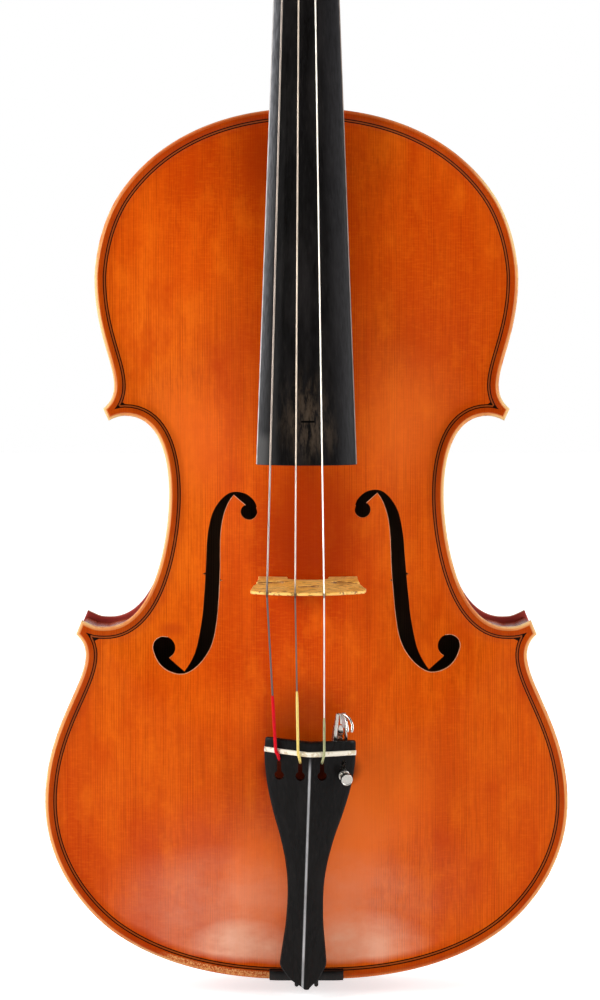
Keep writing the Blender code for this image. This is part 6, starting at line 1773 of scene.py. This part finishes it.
outer_tine = tube("tuner_tine_outer", [tuner_point(*p[:3]) for p in through_points(
    [(0.8, 28.7, -2.4), (2.4, 27.6, 0.0), (3.5, 25.0, 2.0), (3.0, 21.7, 3.1)], 6)],
    [0.58] * 13 + [0.62, 0.66, 0.70, 0.72, 0.70, 0.45], nickel, LEVER)
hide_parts("tuner_lever")

head, low, high = TUNER_HEAD
screw_rings = knurled_ring([
    (0.6, -10.2, 0), (1.0, -9.6, 0), (1.0, low - 0.2, 0), (head * 0.80, low, 0), (head, low + 0.3, 1),
    (head, high - 0.3, 1), (head * 0.97, high - 0.08, 0.4), (head * 0.90, high, 0),
    (head * 0.84, high - 0.03, 0), (head * 0.80, high - 0.14, 0), (head * 0.3, high - 0.18, 0),
    (head * 0.08, high - 0.16, 0)], KNURLS, 0.09)
screw = loft("tuner_thumbscrew", screw_rings, nickel, "tuner_screw", sharp=40)
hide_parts("tuner_screw")
collar_rings = knurled_ring([
    (2.0, -0.1, 0), (TUNER_COLLAR * 0.9, -0.1, 0), (TUNER_COLLAR, 0.25, 0), (TUNER_COLLAR, 0.95, 0),
    (TUNER_COLLAR * 0.93, 1.35, 0), (TUNER_COLLAR * 0.8, 1.5, 0), (2.0, 1.45, 0), (1.8, 1.2, 0)],
    1, 0.0, 72)
collar = loft("tuner_collar", collar_rings, nickel, BODY, sharp=40)
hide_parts("tuner_nut")
print("fine tuner:", len(screw.data.polygons) + len(arm.data.polygons), "faces in screw and arm")

# %% [markdown]
# ## The bridge
#
# The bridge is a thin slice of hard maple that stands on the plate by nothing but the pull of the
# strings. Its back is flat and upright, while the side towards the fingerboard swells a little, so
# the slice is thick at the feet and thin at the crown. The heart, the two side openings and the
# arch between the feet take weight away. It is drawn flat, triangulated like the plates, and then
# given its two faces. A string sits in a shallow notch, and one notch waits for a missing string.

# %% draw and build the bridge
BRIDGE_MIDDLE = 0.7
UPRIGHT_FACE = 186.05
THICKNESS = ((0.0, 1.4), (0.19, 2.1), (0.33, 2.8), (0.48, 3.6), (0.62, 4.4), (0.74, 4.6), (1.0, 4.7))
FOOT_IN, FOOT_OUT = 9.7, 22.9
NOTCHES = [STRINGS[name][0] for name in "cgd"] + [17.6]
EASED = 0.3


def crown_line(x):
    """The crown with a small notch for every string."""
    dip = max(math.exp(-((x - place) / 0.75) ** 2) for place in NOTCHES)
    return crown_height(x) - 0.75 * dip


ACROSS, ALONG = np.arange(-26.0, 27.5, 0.5), (185.0, 188.5, 192.0)
ARCHING = [outer_height([(x * MM, z * MM) for x in ACROSS])[0] / MM for z in ALONG]


def foot_level(x, z=188.5):
    """The plate's own height in millimetres under a point of the bridge."""
    return float(np.interp(z, ALONG, [np.interp(x, ACROSS, row) for row in ARCHING]))


def half_of_bridge(side, end):
    """From the middle of the arch, round one foot and one side opening, to the crown's end."""
    low = {x: foot_level(BRIDGE_MIDDLE + side * x) for x in (FOOT_IN, FOOT_OUT)}
    arch = [(0, 25.4), (3.6, 25.0), (6.6, 24.0), (8.6, 22.2), (9.4, 20.5), (9.5, low[FOOT_IN] + 0.8)]
    arch = [tuple(p) for p in through_points(arch, 4)]
    foot = [(x, None) for x in np.linspace(FOOT_IN, FOOT_OUT, 12)]
    ankle = [(FOOT_OUT + 0.1, low[FOOT_OUT] + 0.8), (22.8, low[FOOT_OUT] + 3.0), (23.2, 25.0),
             (23.7, 27.6), (23.4, 28.5), (21.4, 28.9), (18.6, 28.6), (15.8, 27.9), (12.9, 28.3),
             (11.2, 29.3), (10.7, 30.6), (11.9, 32.0), (14.4, 32.4), (16.6, 31.9), (17.4, 31.2),
             (18.6, 30.7), (20.8, 30.4), (23.2, 30.7), (24.5, 32.4), (25.3, 35.0)]
    ankle = [tuple(p) for p in through_points(ankle + [end], 4)]
    line = arch + foot + ankle
    return [(BRIDGE_MIDDLE + side * x, foot_level(BRIDGE_MIDDLE + side * x) if h is None else h)
            for x, h in line]


def inset_loop(loop, reach):
    """Every point of a loop moved to its left by a small distance."""
    loop = np.asarray(loop, float)
    along = np.roll(loop, -1, axis=0) - np.roll(loop, 1, axis=0)
    away = np.stack([-along[:, 1], along[:, 0]], axis=1)
    return loop + reach * away / np.linalg.norm(away, axis=1)[:, None]


def spaced(loop, gap):
    """The same loop without points that lie closer than a gap."""
    kept = [loop[0]]
    for p in loop[1:]:
        if math.dist(p, kept[-1]) > gap:
            kept.append(p)
    return kept if math.dist(kept[0], kept[-1]) > gap else kept[:-1]


treble_end, bass_end = (26.5, 37.8), (26.3, 43.0)
right = half_of_bridge(1, treble_end)
left = half_of_bridge(-1, bass_end)
crown = [(x, crown_line(x)) for x in np.linspace(right[-1][0] - 0.7, left[-1][0] + 0.7, 90)]
shape = spaced(right + crown + left[::-1][:-1], 0.12)
heart = [(0, 35.2), (1.6, 36.7), (2.7, 38.3), (3.1, 40.0), (2.6, 41.5), (1.4, 42.0), (0.4, 41.3),
         (0, 40.3), (-0.4, 41.3), (-1.4, 42.0), (-2.6, 41.5), (-3.1, 40.0), (-2.7, 38.3),
         (-1.6, 36.7)]
heart = [(BRIDGE_MIDDLE + 1.7 * x, 38.6 + 0.55 * (h - 38.6)) for x, h in heart][::-1]
print("bridge outline:", len(shape), "points")

# %% give it two faces
loops = [np.array(shape), np.array(heart)]
inner_loops = [inset_loop(loop, EASED) for loop in loops]
grid = np.array([(x, h) for x in np.arange(-26, 28, 2.0) for h in np.arange(17, 53, 2.0)])
near = np.min([np.linalg.norm(grid[:, None] - loop[None], axis=2).min(axis=1)
               for loop in inner_loops], axis=0)
grid = grid[inside(grid, inner_loops[0]) & ~inside(grid, inner_loops[1]) & (near > 0.8)]
flat = [tuple(p) for loop in inner_loops for p in loop] + [tuple(p) for p in grid]
links = []
start = 0
for loop in inner_loops:
    links += [(start + i, start + (i + 1) % len(loop)) for i in range(len(loop))]
    start += len(loop)
flat, _, triangles, _, _, _ = delaunay_2d_cdt([Vector(p) for p in flat], links, [], 0, 1e-6)
flat = np.array([tuple(p) for p in flat])
middles = flat[np.array(triangles)].mean(axis=1)
good = inside(middles, inner_loops[0]) & ~inside(middles, inner_loops[1])
triangles = [t for t, keep in zip(triangles, good) if keep]


def on_bridge(x, h, towards_board, ease=0.0):
    """A point of one face; the feet follow the plate exactly."""
    total = max(8.0, crown_height(x) - foot_level(x))
    share = min(1.0, max(0.0, (crown_height(x) - h) / total))
    shares, depths = zip(*THICKNESS)
    z = UPRIGHT_FACE + (float(np.interp(share, shares, depths)) - ease if towards_board else ease)
    level = foot_level(x, z) + 0.03
    on_foot = abs(x - BRIDGE_MIDDLE) > FOOT_IN - 0.3 and h < foot_level(x) + 0.45
    return real_point(x, level if on_foot and ease else max(h, level), z)


corners, faces = [], []
count = len(flat)
for towards_board in (True, False):
    corners += [on_bridge(x, h, towards_board) for x, h in flat]
faces += [tuple(t) for t in triangles]
faces += [tuple(count + i for i in reversed(t)) for t in triangles]
for loop, inner in zip(loops, inner_loops):
    size = len(loop)
    matched = [int(np.argmin(np.linalg.norm(flat - p, axis=1))) for p in inner]
    first = len(corners)
    for towards_board in (True, False):
        corners += [on_bridge(x, h, towards_board, 0.22) for x, h in loop]
    for i in range(size):
        j = (i + 1) % size
        faces.append((matched[i], matched[j], first + j, first + i))
        faces.append((count + matched[j], count + matched[i], first + size + i, first + size + j))
        faces.append((first + i, first + j, first + size + j, first + size + i))
bridge_mesh = bpy.data.meshes.new("maple_bridge")
bridge_mesh.from_pydata([tuple(p) for p in corners], [], faces)
tidy_mesh(bridge_mesh, 32)
bridge_mesh.materials.append(bridge_wood)
bridge_mesh.materials.append(shaded_bridge_cut)
# The walls of the heart and the side openings get the darker finish, painted shade inside the openings.
for face in bridge_mesh.polygons:
    x, h = face.center.x / MM - BRIDGE_MIDDLE, (FRONT_PLANE - face.center.y) / MM
    if abs(face.normal.z) < 0.5 and 27.4 < h < 43 and abs(x) < 22.5 - 0.3 * max(0, h - 34):
        face.material_index = 1
maple_bridge = finished_piece("maple_bridge", bridge_mesh)
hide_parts("bridge")
print("bridge:", len(bridge_mesh.polygons), "faces")

# %% [markdown]
# ## The neck and its heel
#
# Neck, pegbox and scroll are cut from one billet of maple. The neck is a rounded D that the player's
# hand slides along. Towards the body it grows into the heel, whose root narrows to meet the round
# button of the back. It is a loft whose cross section turns by degrees from the D to the block.

# %% loft the neck
ROOT_FOOT, ROOT_TAPER_START = 10.2 * MM, 4 * MM
ROOT_TUCKED = ROOT_HALF - 0.05 * MM
NECK_DEEP_HEEL, NECK_DEEP_NUT = 22.0 * MM, 20.0 * MM
HEEL_START = BODY_LENGTH + 36 * MM
BACK_OF_ROOT = RIB_HEIGHT / 2 - 0.3 * MM


def root_half(y):
    """Half width of the root, which narrows towards the back."""
    start = front(ROOT_TAPER_START)
    share = max(0.0, min(1.0, (y - start) / (BACK_OF_ROOT - start)))
    return ROOT_TUCKED + (ROOT_FOOT - ROOT_TUCKED) * share


def neck_ring(z, y_back, square, count=40, sides=15):
    """A rounded D when square is 0, and the heel's tapered block when it is 1."""
    y_front = front(board_under(z) - 0.3 * MM)
    half = min(board_half(z) - 0.3 * MM, ROOT_TUCKED)
    ring_points = []
    for i in range(count + 1):
        turn = math.pi * i / count
        oval = (-half * math.cos(turn), y_front + (y_back - y_front) * math.sin(turn) ** 0.85)
        near = min(i, count - i)
        y = y_front + (y_back - y_front) * min(1.0, near / sides)
        wide = min(root_half(y), half)
        x = wide * (i - count / 2) / (count / 2 - sides) if near > sides else math.copysign(
            wide, i - count / 2)
        if near > sides:
            y -= 0.9 * MM * max(0.0, abs(x) / wide - 0.75) / 0.25
        ring_points.append((oval[0] + (x - oval[0]) * square, oval[1] + (y - oval[1]) * square,
                            height(z)))
    return ring_points


def neck_back(z):
    share = (z - HEEL_START) / (NUT_TOP - HEEL_START)
    return front(board_top(z)) + NECK_DEEP_HEEL + (NECK_DEEP_NUT - NECK_DEEP_HEEL) * share


heel_reach = HEEL_START - BODY_LENGTH - 13.5 * MM
rings = [neck_ring(BODY_LENGTH - 9 * MM, BACK_OF_ROOT, 1.0),
         neck_ring(BODY_LENGTH, BACK_OF_ROOT, 1.0)]
for degrees in (90, 86, 82, 77, 72, 66, 60, 52, 45, 36, 28, 20, 12, 6):
    turn = math.radians(degrees)
    y = neck_back(HEEL_START) + (BACK_OF_ROOT - neck_back(HEEL_START)) * (1 - math.cos(turn))
    rings.append(neck_ring(HEEL_START - heel_reach * math.sin(turn), y,
                           min(1.0, degrees / 60) ** 1.3))
for z in np.linspace(HEEL_START, NUT_TOP - 1.5 * MM, 14):
    rings.append(neck_ring(z, neck_back(z), 0.0))
neck_piece = loft("neck_and_heel", rings, maple_neck, sharp=40)
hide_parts("neck")
print("neck:", len(neck_piece.data.polygons), "faces")

# %% [markdown]
# ## The pegbox
#
# The strings end in an open box just above the nut. Its cheeks carry four tapered holes, and its
# back is rounded off. The box is lofted as a solid. Then the trough for the strings and the peg
# holes are cut out of it, just as the maker cuts them out of the billet.

# %% loft and hollow the pegbox
TROUGH = [(7, 9.0, -16.5), (30, 8.6, -18.5), (58, 7.4, -17.5), (81, 6.3, -14.0)]


def box_ring(u, half, v_front, v_back):
    """One cross section of the pegbox, with a rounded back and eased front edges."""
    deep = v_front - v_back
    deep *= 1 - 0.75 * min(1.0, max(0.0, (u - 84) / 14)) ** 2
    right = [(half - 0.6, v_front), (half, v_front - 0.6)]
    for turn in np.linspace(0, 90, 11):
        right.append((half * math.cos(math.radians(turn)) ** 0.6,
                      v_back + 0.34 * deep * (1 - math.sin(math.radians(turn)) ** 0.8)))
    right = right[:-1] + [(0.0, v_back)]
    left = [(-x, v) for x, v in reversed(right[:-1])]
    return [head_point(x, u, v) for x, v in right + left]


low_part, high_part = PEGBOX[:3], through_points(PEGBOX[3:], 4)
pegbox = loft("pegbox", [box_ring(*s) for s in list(low_part) + [tuple(s) for s in high_part]],
              maple_neck, sharp=40)


def trough_ring(u, half, bottom):
    right = [(half, 12), (half, bottom + 2.5), (half - 0.7, bottom + 0.8), (half - 2.4, bottom)]
    return [head_point(x, u, v) for x, v in right + [(-x, v) for x, v in reversed(right)]]


def tool_from_rings(name, rings):
    count = len(rings[0])
    faces = [tuple(range(count)), tuple((len(rings) - 1) * count + i
                                        for i in reversed(range(count)))]
    for k in range(len(rings) - 1):
        faces += [(k * count + i, k * count + (i + 1) % count, (k + 1) * count + (i + 1) % count,
                   (k + 1) * count + i) for i in range(count)]
    return plain_tool(name, [p for ring_points in rings for p in ring_points], faces)


def peg_hole(name):
    """A tapered hole that the shaft fills closely, right through both cheeks."""
    u, side = PEGS[name]
    wide = cheek(u)
    rings = []
    for out in (wide + 6, -wide - 6):
        radius = PEG_RADIUS + (out - wide) * PEG_TAPER + 0.12
        rings.append([head_point(side * out, u + radius * math.cos(a), PEG_V + radius * math.sin(a))
                      for a in np.linspace(0, 2 * math.pi, 32, endpoint=False)])
    return tool_from_rings("peg_hole", rings)


smooth_trough = [tuple(s) for s in through_points(TROUGH, 5)]
carve(pegbox, [tool_from_rings("trough", [trough_ring(*s) for s in smooth_trough])])
carve(pegbox, [peg_hole(name) for name in PEGS])
tidy_mesh(pegbox.data, 35)
print("pegbox:", len(pegbox.data.polygons), "faces")

# %% [markdown]
# ## The scroll
#
# The scroll is the maker's showpiece, and it holds nothing. A band, fluted on its outside with a
# spine down the middle, rolls up in two and a half turns. Each turn is narrower across the roll and
# stands further out to the side than the last, so that both eyes stick out. The band's radius
# shrinks by the same share on every turn. At last a bevel runs round every edge, as on the real
# one, where its two crisp lines show how steady the carver's hand was.

# %% carve the scroll
SCROLL_MIDDLE, SCROLL_START = (109.0, 1.0), math.radians(200)
SCROLL_RADIUS, SCROLL_SHRINK, SCROLL_TURNS = 21.0, 0.0915, 2.5
SCROLL_STEPS = 48
SCROLL_WIDTHS = [9.8, 8.8, 11.5, 14.5, 17.5, 20.5]
SCROLL_GROOVE, FLUTE, BEVEL = 1.6, 1.3, 0.55
FLUTED = ((0.86, 0.75), (0.6, 1.0), (0.3, 0.75), (0.08, 0.12), (0.0, 0.0), (-0.08, 0.12),
          (-0.3, 0.75), (-0.6, 1.0), (-0.86, 0.75))


def scroll_radius(k):
    return SCROLL_RADIUS * math.exp(-SCROLL_SHRINK * 2 * math.pi * k / SCROLL_STEPS)


scroll_half = through_points([(w,) for w in SCROLL_WIDTHS], SCROLL_STEPS // 2)[:, 0]
last_step = int(SCROLL_STEPS * SCROLL_TURNS)
scroll_points, scroll_faces = [], []


def on_scroll(radius, k, x):
    """Add a point at a radius from the eye and a step of the roll; give back its number."""
    angle = SCROLL_START - 2 * math.pi * k / SCROLL_STEPS
    scroll_points.append(head_point(x, SCROLL_MIDDLE[0] + radius * math.sin(angle),
                                    SCROLL_MIDDLE[1] + radius * math.cos(angle)))
    return len(scroll_points) - 1


belt = []
for k in range(SCROLL_STEPS + 1):
    radius, half = scroll_radius(k), scroll_half[k]
    inside_row = [on_scroll(radius - FLUTE * min(1.0, k / 6) * dip, k, share * half) for share, dip in FLUTED]
    belt.append([on_scroll(radius, k, half)] + inside_row + [on_scroll(radius, k, -half)])
for a, b in zip(belt, belt[1:]):
    scroll_faces += [(a[i], b[i], b[i + 1], a[i + 1]) for i in range(len(a) - 1)]

caps = {}
for side, edge_of in ((1, 0), (-1, -1)):
    rim, foot, slope = [], [], []
    for k in range(last_step + 1):
        rim.append(belt[k][edge_of] if k <= SCROLL_STEPS else
                   on_scroll(scroll_radius(k), k, side * scroll_half[k]))
        outer = k - SCROLL_STEPS
        foot.append(None if outer < 0 else on_scroll(
            scroll_radius(k), k, side * (scroll_half[outer] - SCROLL_GROOVE)))
    for k in range(last_step + 1 - SCROLL_STEPS):
        row = []
        for share, fall in ((0.25, 0.55), (0.5, 0.9), (0.78, 1.08)):
            radius = scroll_radius(k) + (scroll_radius(k + SCROLL_STEPS) - scroll_radius(k)) * share
            row.append(on_scroll(radius, k, side * (scroll_half[k] - SCROLL_GROOVE * fall)))
        slope.append([rim[k]] + row + [foot[k + SCROLL_STEPS]])
    for a, b in zip(slope, slope[1:]):
        scroll_faces += [(a[i], b[i], b[i + 1], a[i + 1]) for i in range(len(a) - 1)]
    for k in range(SCROLL_STEPS, last_step):
        scroll_faces.append((foot[k], foot[k + 1], rim[k + 1], rim[k]))
    inner = last_step - SCROLL_STEPS
    eye_rows = []
    top = scroll_half[last_step]
    for k in range(inner, last_step + 1):
        eye_rows.append([rim[k], on_scroll(0.5 * (scroll_radius(k) + 3.9), k, side * (top - 1.0)),
                         on_scroll(3.9, k, side * (top - 1.2)), on_scroll(3.6, k, side * (top + 0.2)),
                         on_scroll(2.2, k, side * (top + 0.9))])
    eye = on_scroll(0.0, 0, side * (top + 1.1))
    for a, b in zip(eye_rows, eye_rows[1:]):
        scroll_faces += [(a[i], b[i], b[i + 1], a[i + 1]) for i in range(4)]
        scroll_faces.append((a[4], b[4], eye))
    first, last = eye_rows[0], eye_rows[-1]
    scroll_faces.append(tuple(slope[-1] + [last[0], last[1]] + [first[1]]))
    for i in range(1, 4):
        scroll_faces.append((first[i], last[i], last[i + 1], first[i + 1]))
    scroll_faces.append((first[4], last[4], eye))
    caps[side] = slope[0]
scroll_faces.append(tuple(belt[0] + caps[-1][1:] + belt[-1][::-1] + caps[1][::-1][:-1]))
scroll_data = bpy.data.meshes.new("scroll")
scroll_data.from_pydata([tuple(p) for p in scroll_points], [], scroll_faces)
mesh = bmesh.new()
mesh.from_mesh(scroll_data)
bmesh.ops.remove_doubles(mesh, verts=mesh.verts, dist=0.02 * MM)
mesh.to_mesh(scroll_data)
mesh.free()
scroll_data.materials.append(maple_neck)
tidy_mesh(scroll_data, 40)
scroll = finished_piece("scroll", scroll_data)
bevel = scroll.modifiers.new("edges", "BEVEL")
bevel.width = BEVEL * MM
bevel.segments = 2
bevel.limit_method = "ANGLE"
bevel.angle_limit = math.radians(48)
bpy.context.view_layer.update()
eased = bpy.data.meshes.new_from_object(scroll.evaluated_get(
    bpy.context.evaluated_depsgraph_get()))
scroll.modifiers.clear()
scroll.data = eased
tidy_mesh(eased, 35)
print("scroll:", len(eased.polygons), "faces")

# %% [markdown]
# ## The nut and the pegs
#
# The nut is a small ridge of ebony with a shallow notch for each string. A peg is a tapered shaft that
# grips by friction alone. Its collar is turned on the lathe, and the grip is carved flat and a
# little hollow, so that thumb and finger can hold it.

# %% nut and pegs
nut_rows = []
half = board_half(NUT_TOP)
slots = [STRINGS[name][1] for name in "cgda"]
base = board_under(NUT_TOP)
for z, drop, trim in ((0.0, 0.5, 0.3), (0.25, 0.12, 0.1), (0.6, 0.0, 0.0), (2.5, 0.0, 0.0),
                      (4.3, 0.15, 0.0), (5.0, 0.5, 0.1), (5.35, 0.9, 0.2), (5.5, 1.3, 0.4)):
    z = NUT_TOP - NUT_LONG + z * MM
    row = [(-half + trim * MM, front(base), height(z))]
    for x in np.linspace(-half + trim * MM, half - trim * MM, 121):
        notch = max(math.exp(-((x / MM - place) / 0.55) ** 2) for place in slots)
        round_off = 0.8 * max(0.0, (abs(x) / half - 0.9) / 0.1) ** 2
        rise = board_top(z) - camber(x) + NUT_RISE - (drop + 0.8 * notch + round_off) * MM
        row.append((x, front(rise), height(z)))
    nut_rows.append(row + [(half - trim * MM, front(base), height(z))])
nut_piece = loft("nut_ridge", nut_rows, ebony_fittings, sharp=45)
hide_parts("nut")

PEG_FAR = 3.0
GRIP_WIDE, GRIP_THICK, GRIP_LONG, GRIP_AT = 11.5, 3.4, 10.5, 16.5
for name, (u, side) in PEGS.items():
    wide = cheek(u)
    middle = head_point(side * wide, u, PEG_V)
    far = -(2 * wide + PEG_FAR)
    thin = PEG_RADIUS + far * PEG_TAPER
    profile = [(0, 9.0), (2.6, 8.8), (3.2, 8.2), (3.3, 7.2), (3.9, 6.3), (5.0, 5.5), (5.9, 4.6),
               (6.2, 3.8), (6.1, 3.0), (5.5, 2.5), (5.6, 2.2), (5.1, 1.8), (PEG_RADIUS + 0.06, 1.6),
               (PEG_RADIUS, 0.0), (thin, far + 0.5), (0.8 * thin, far - 0.3), (0, far - 1.0)]
    shaft = turned("peg_shaft_" + name, profile, middle, (side, 0, 0), ebony_fittings,
                   body="peg_" + name)
    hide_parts("peg_" + name)
    rings = []
    for t in np.linspace(-1, 1, 25):
        t = math.sin(t * math.pi / 2)
        out = side * (wide + GRIP_AT + GRIP_LONG * t) * MM
        span = GRIP_WIDE * max(0.02, 1 - abs(t) ** 2.2) ** 0.62 * (1 + 0.05 * t)
        ring_points = []
        for angle in np.linspace(0, 2 * math.pi, 40, endpoint=False):
            across = math.copysign(abs(math.cos(angle)) ** 0.8, math.cos(angle))
            hollow = 0.72 + 0.28 * min(1.0, across ** 2 + t ** 2)
            thick = GRIP_THICK * max(0.02, 1 - abs(t) ** 2.6) ** 0.5 * hollow
            lift = thick * math.copysign(abs(math.sin(angle)) ** 0.7, math.sin(angle))
            ring_points.append((out, middle.y + span * across * MM, middle.z + lift * MM))
        rings.append(ring_points)
    grip = loft("peg_grip_" + name, rings, ebony_fittings, body="peg_" + name, sharp=50)
    tip = middle.copy()
    tip.x = side * (wide + GRIP_AT + GRIP_LONG - 0.6) * MM
    turned("peg_bead_" + name, [(0, 0.62), (0.9, 0.5), (1.5, 0.0), (1.7, -0.8), (1.2, -1.6)], tip,
           (side, 0, 0), ebony_fittings, body="peg_" + name, steps=24)
print("pegs:", sorted(PEGS))
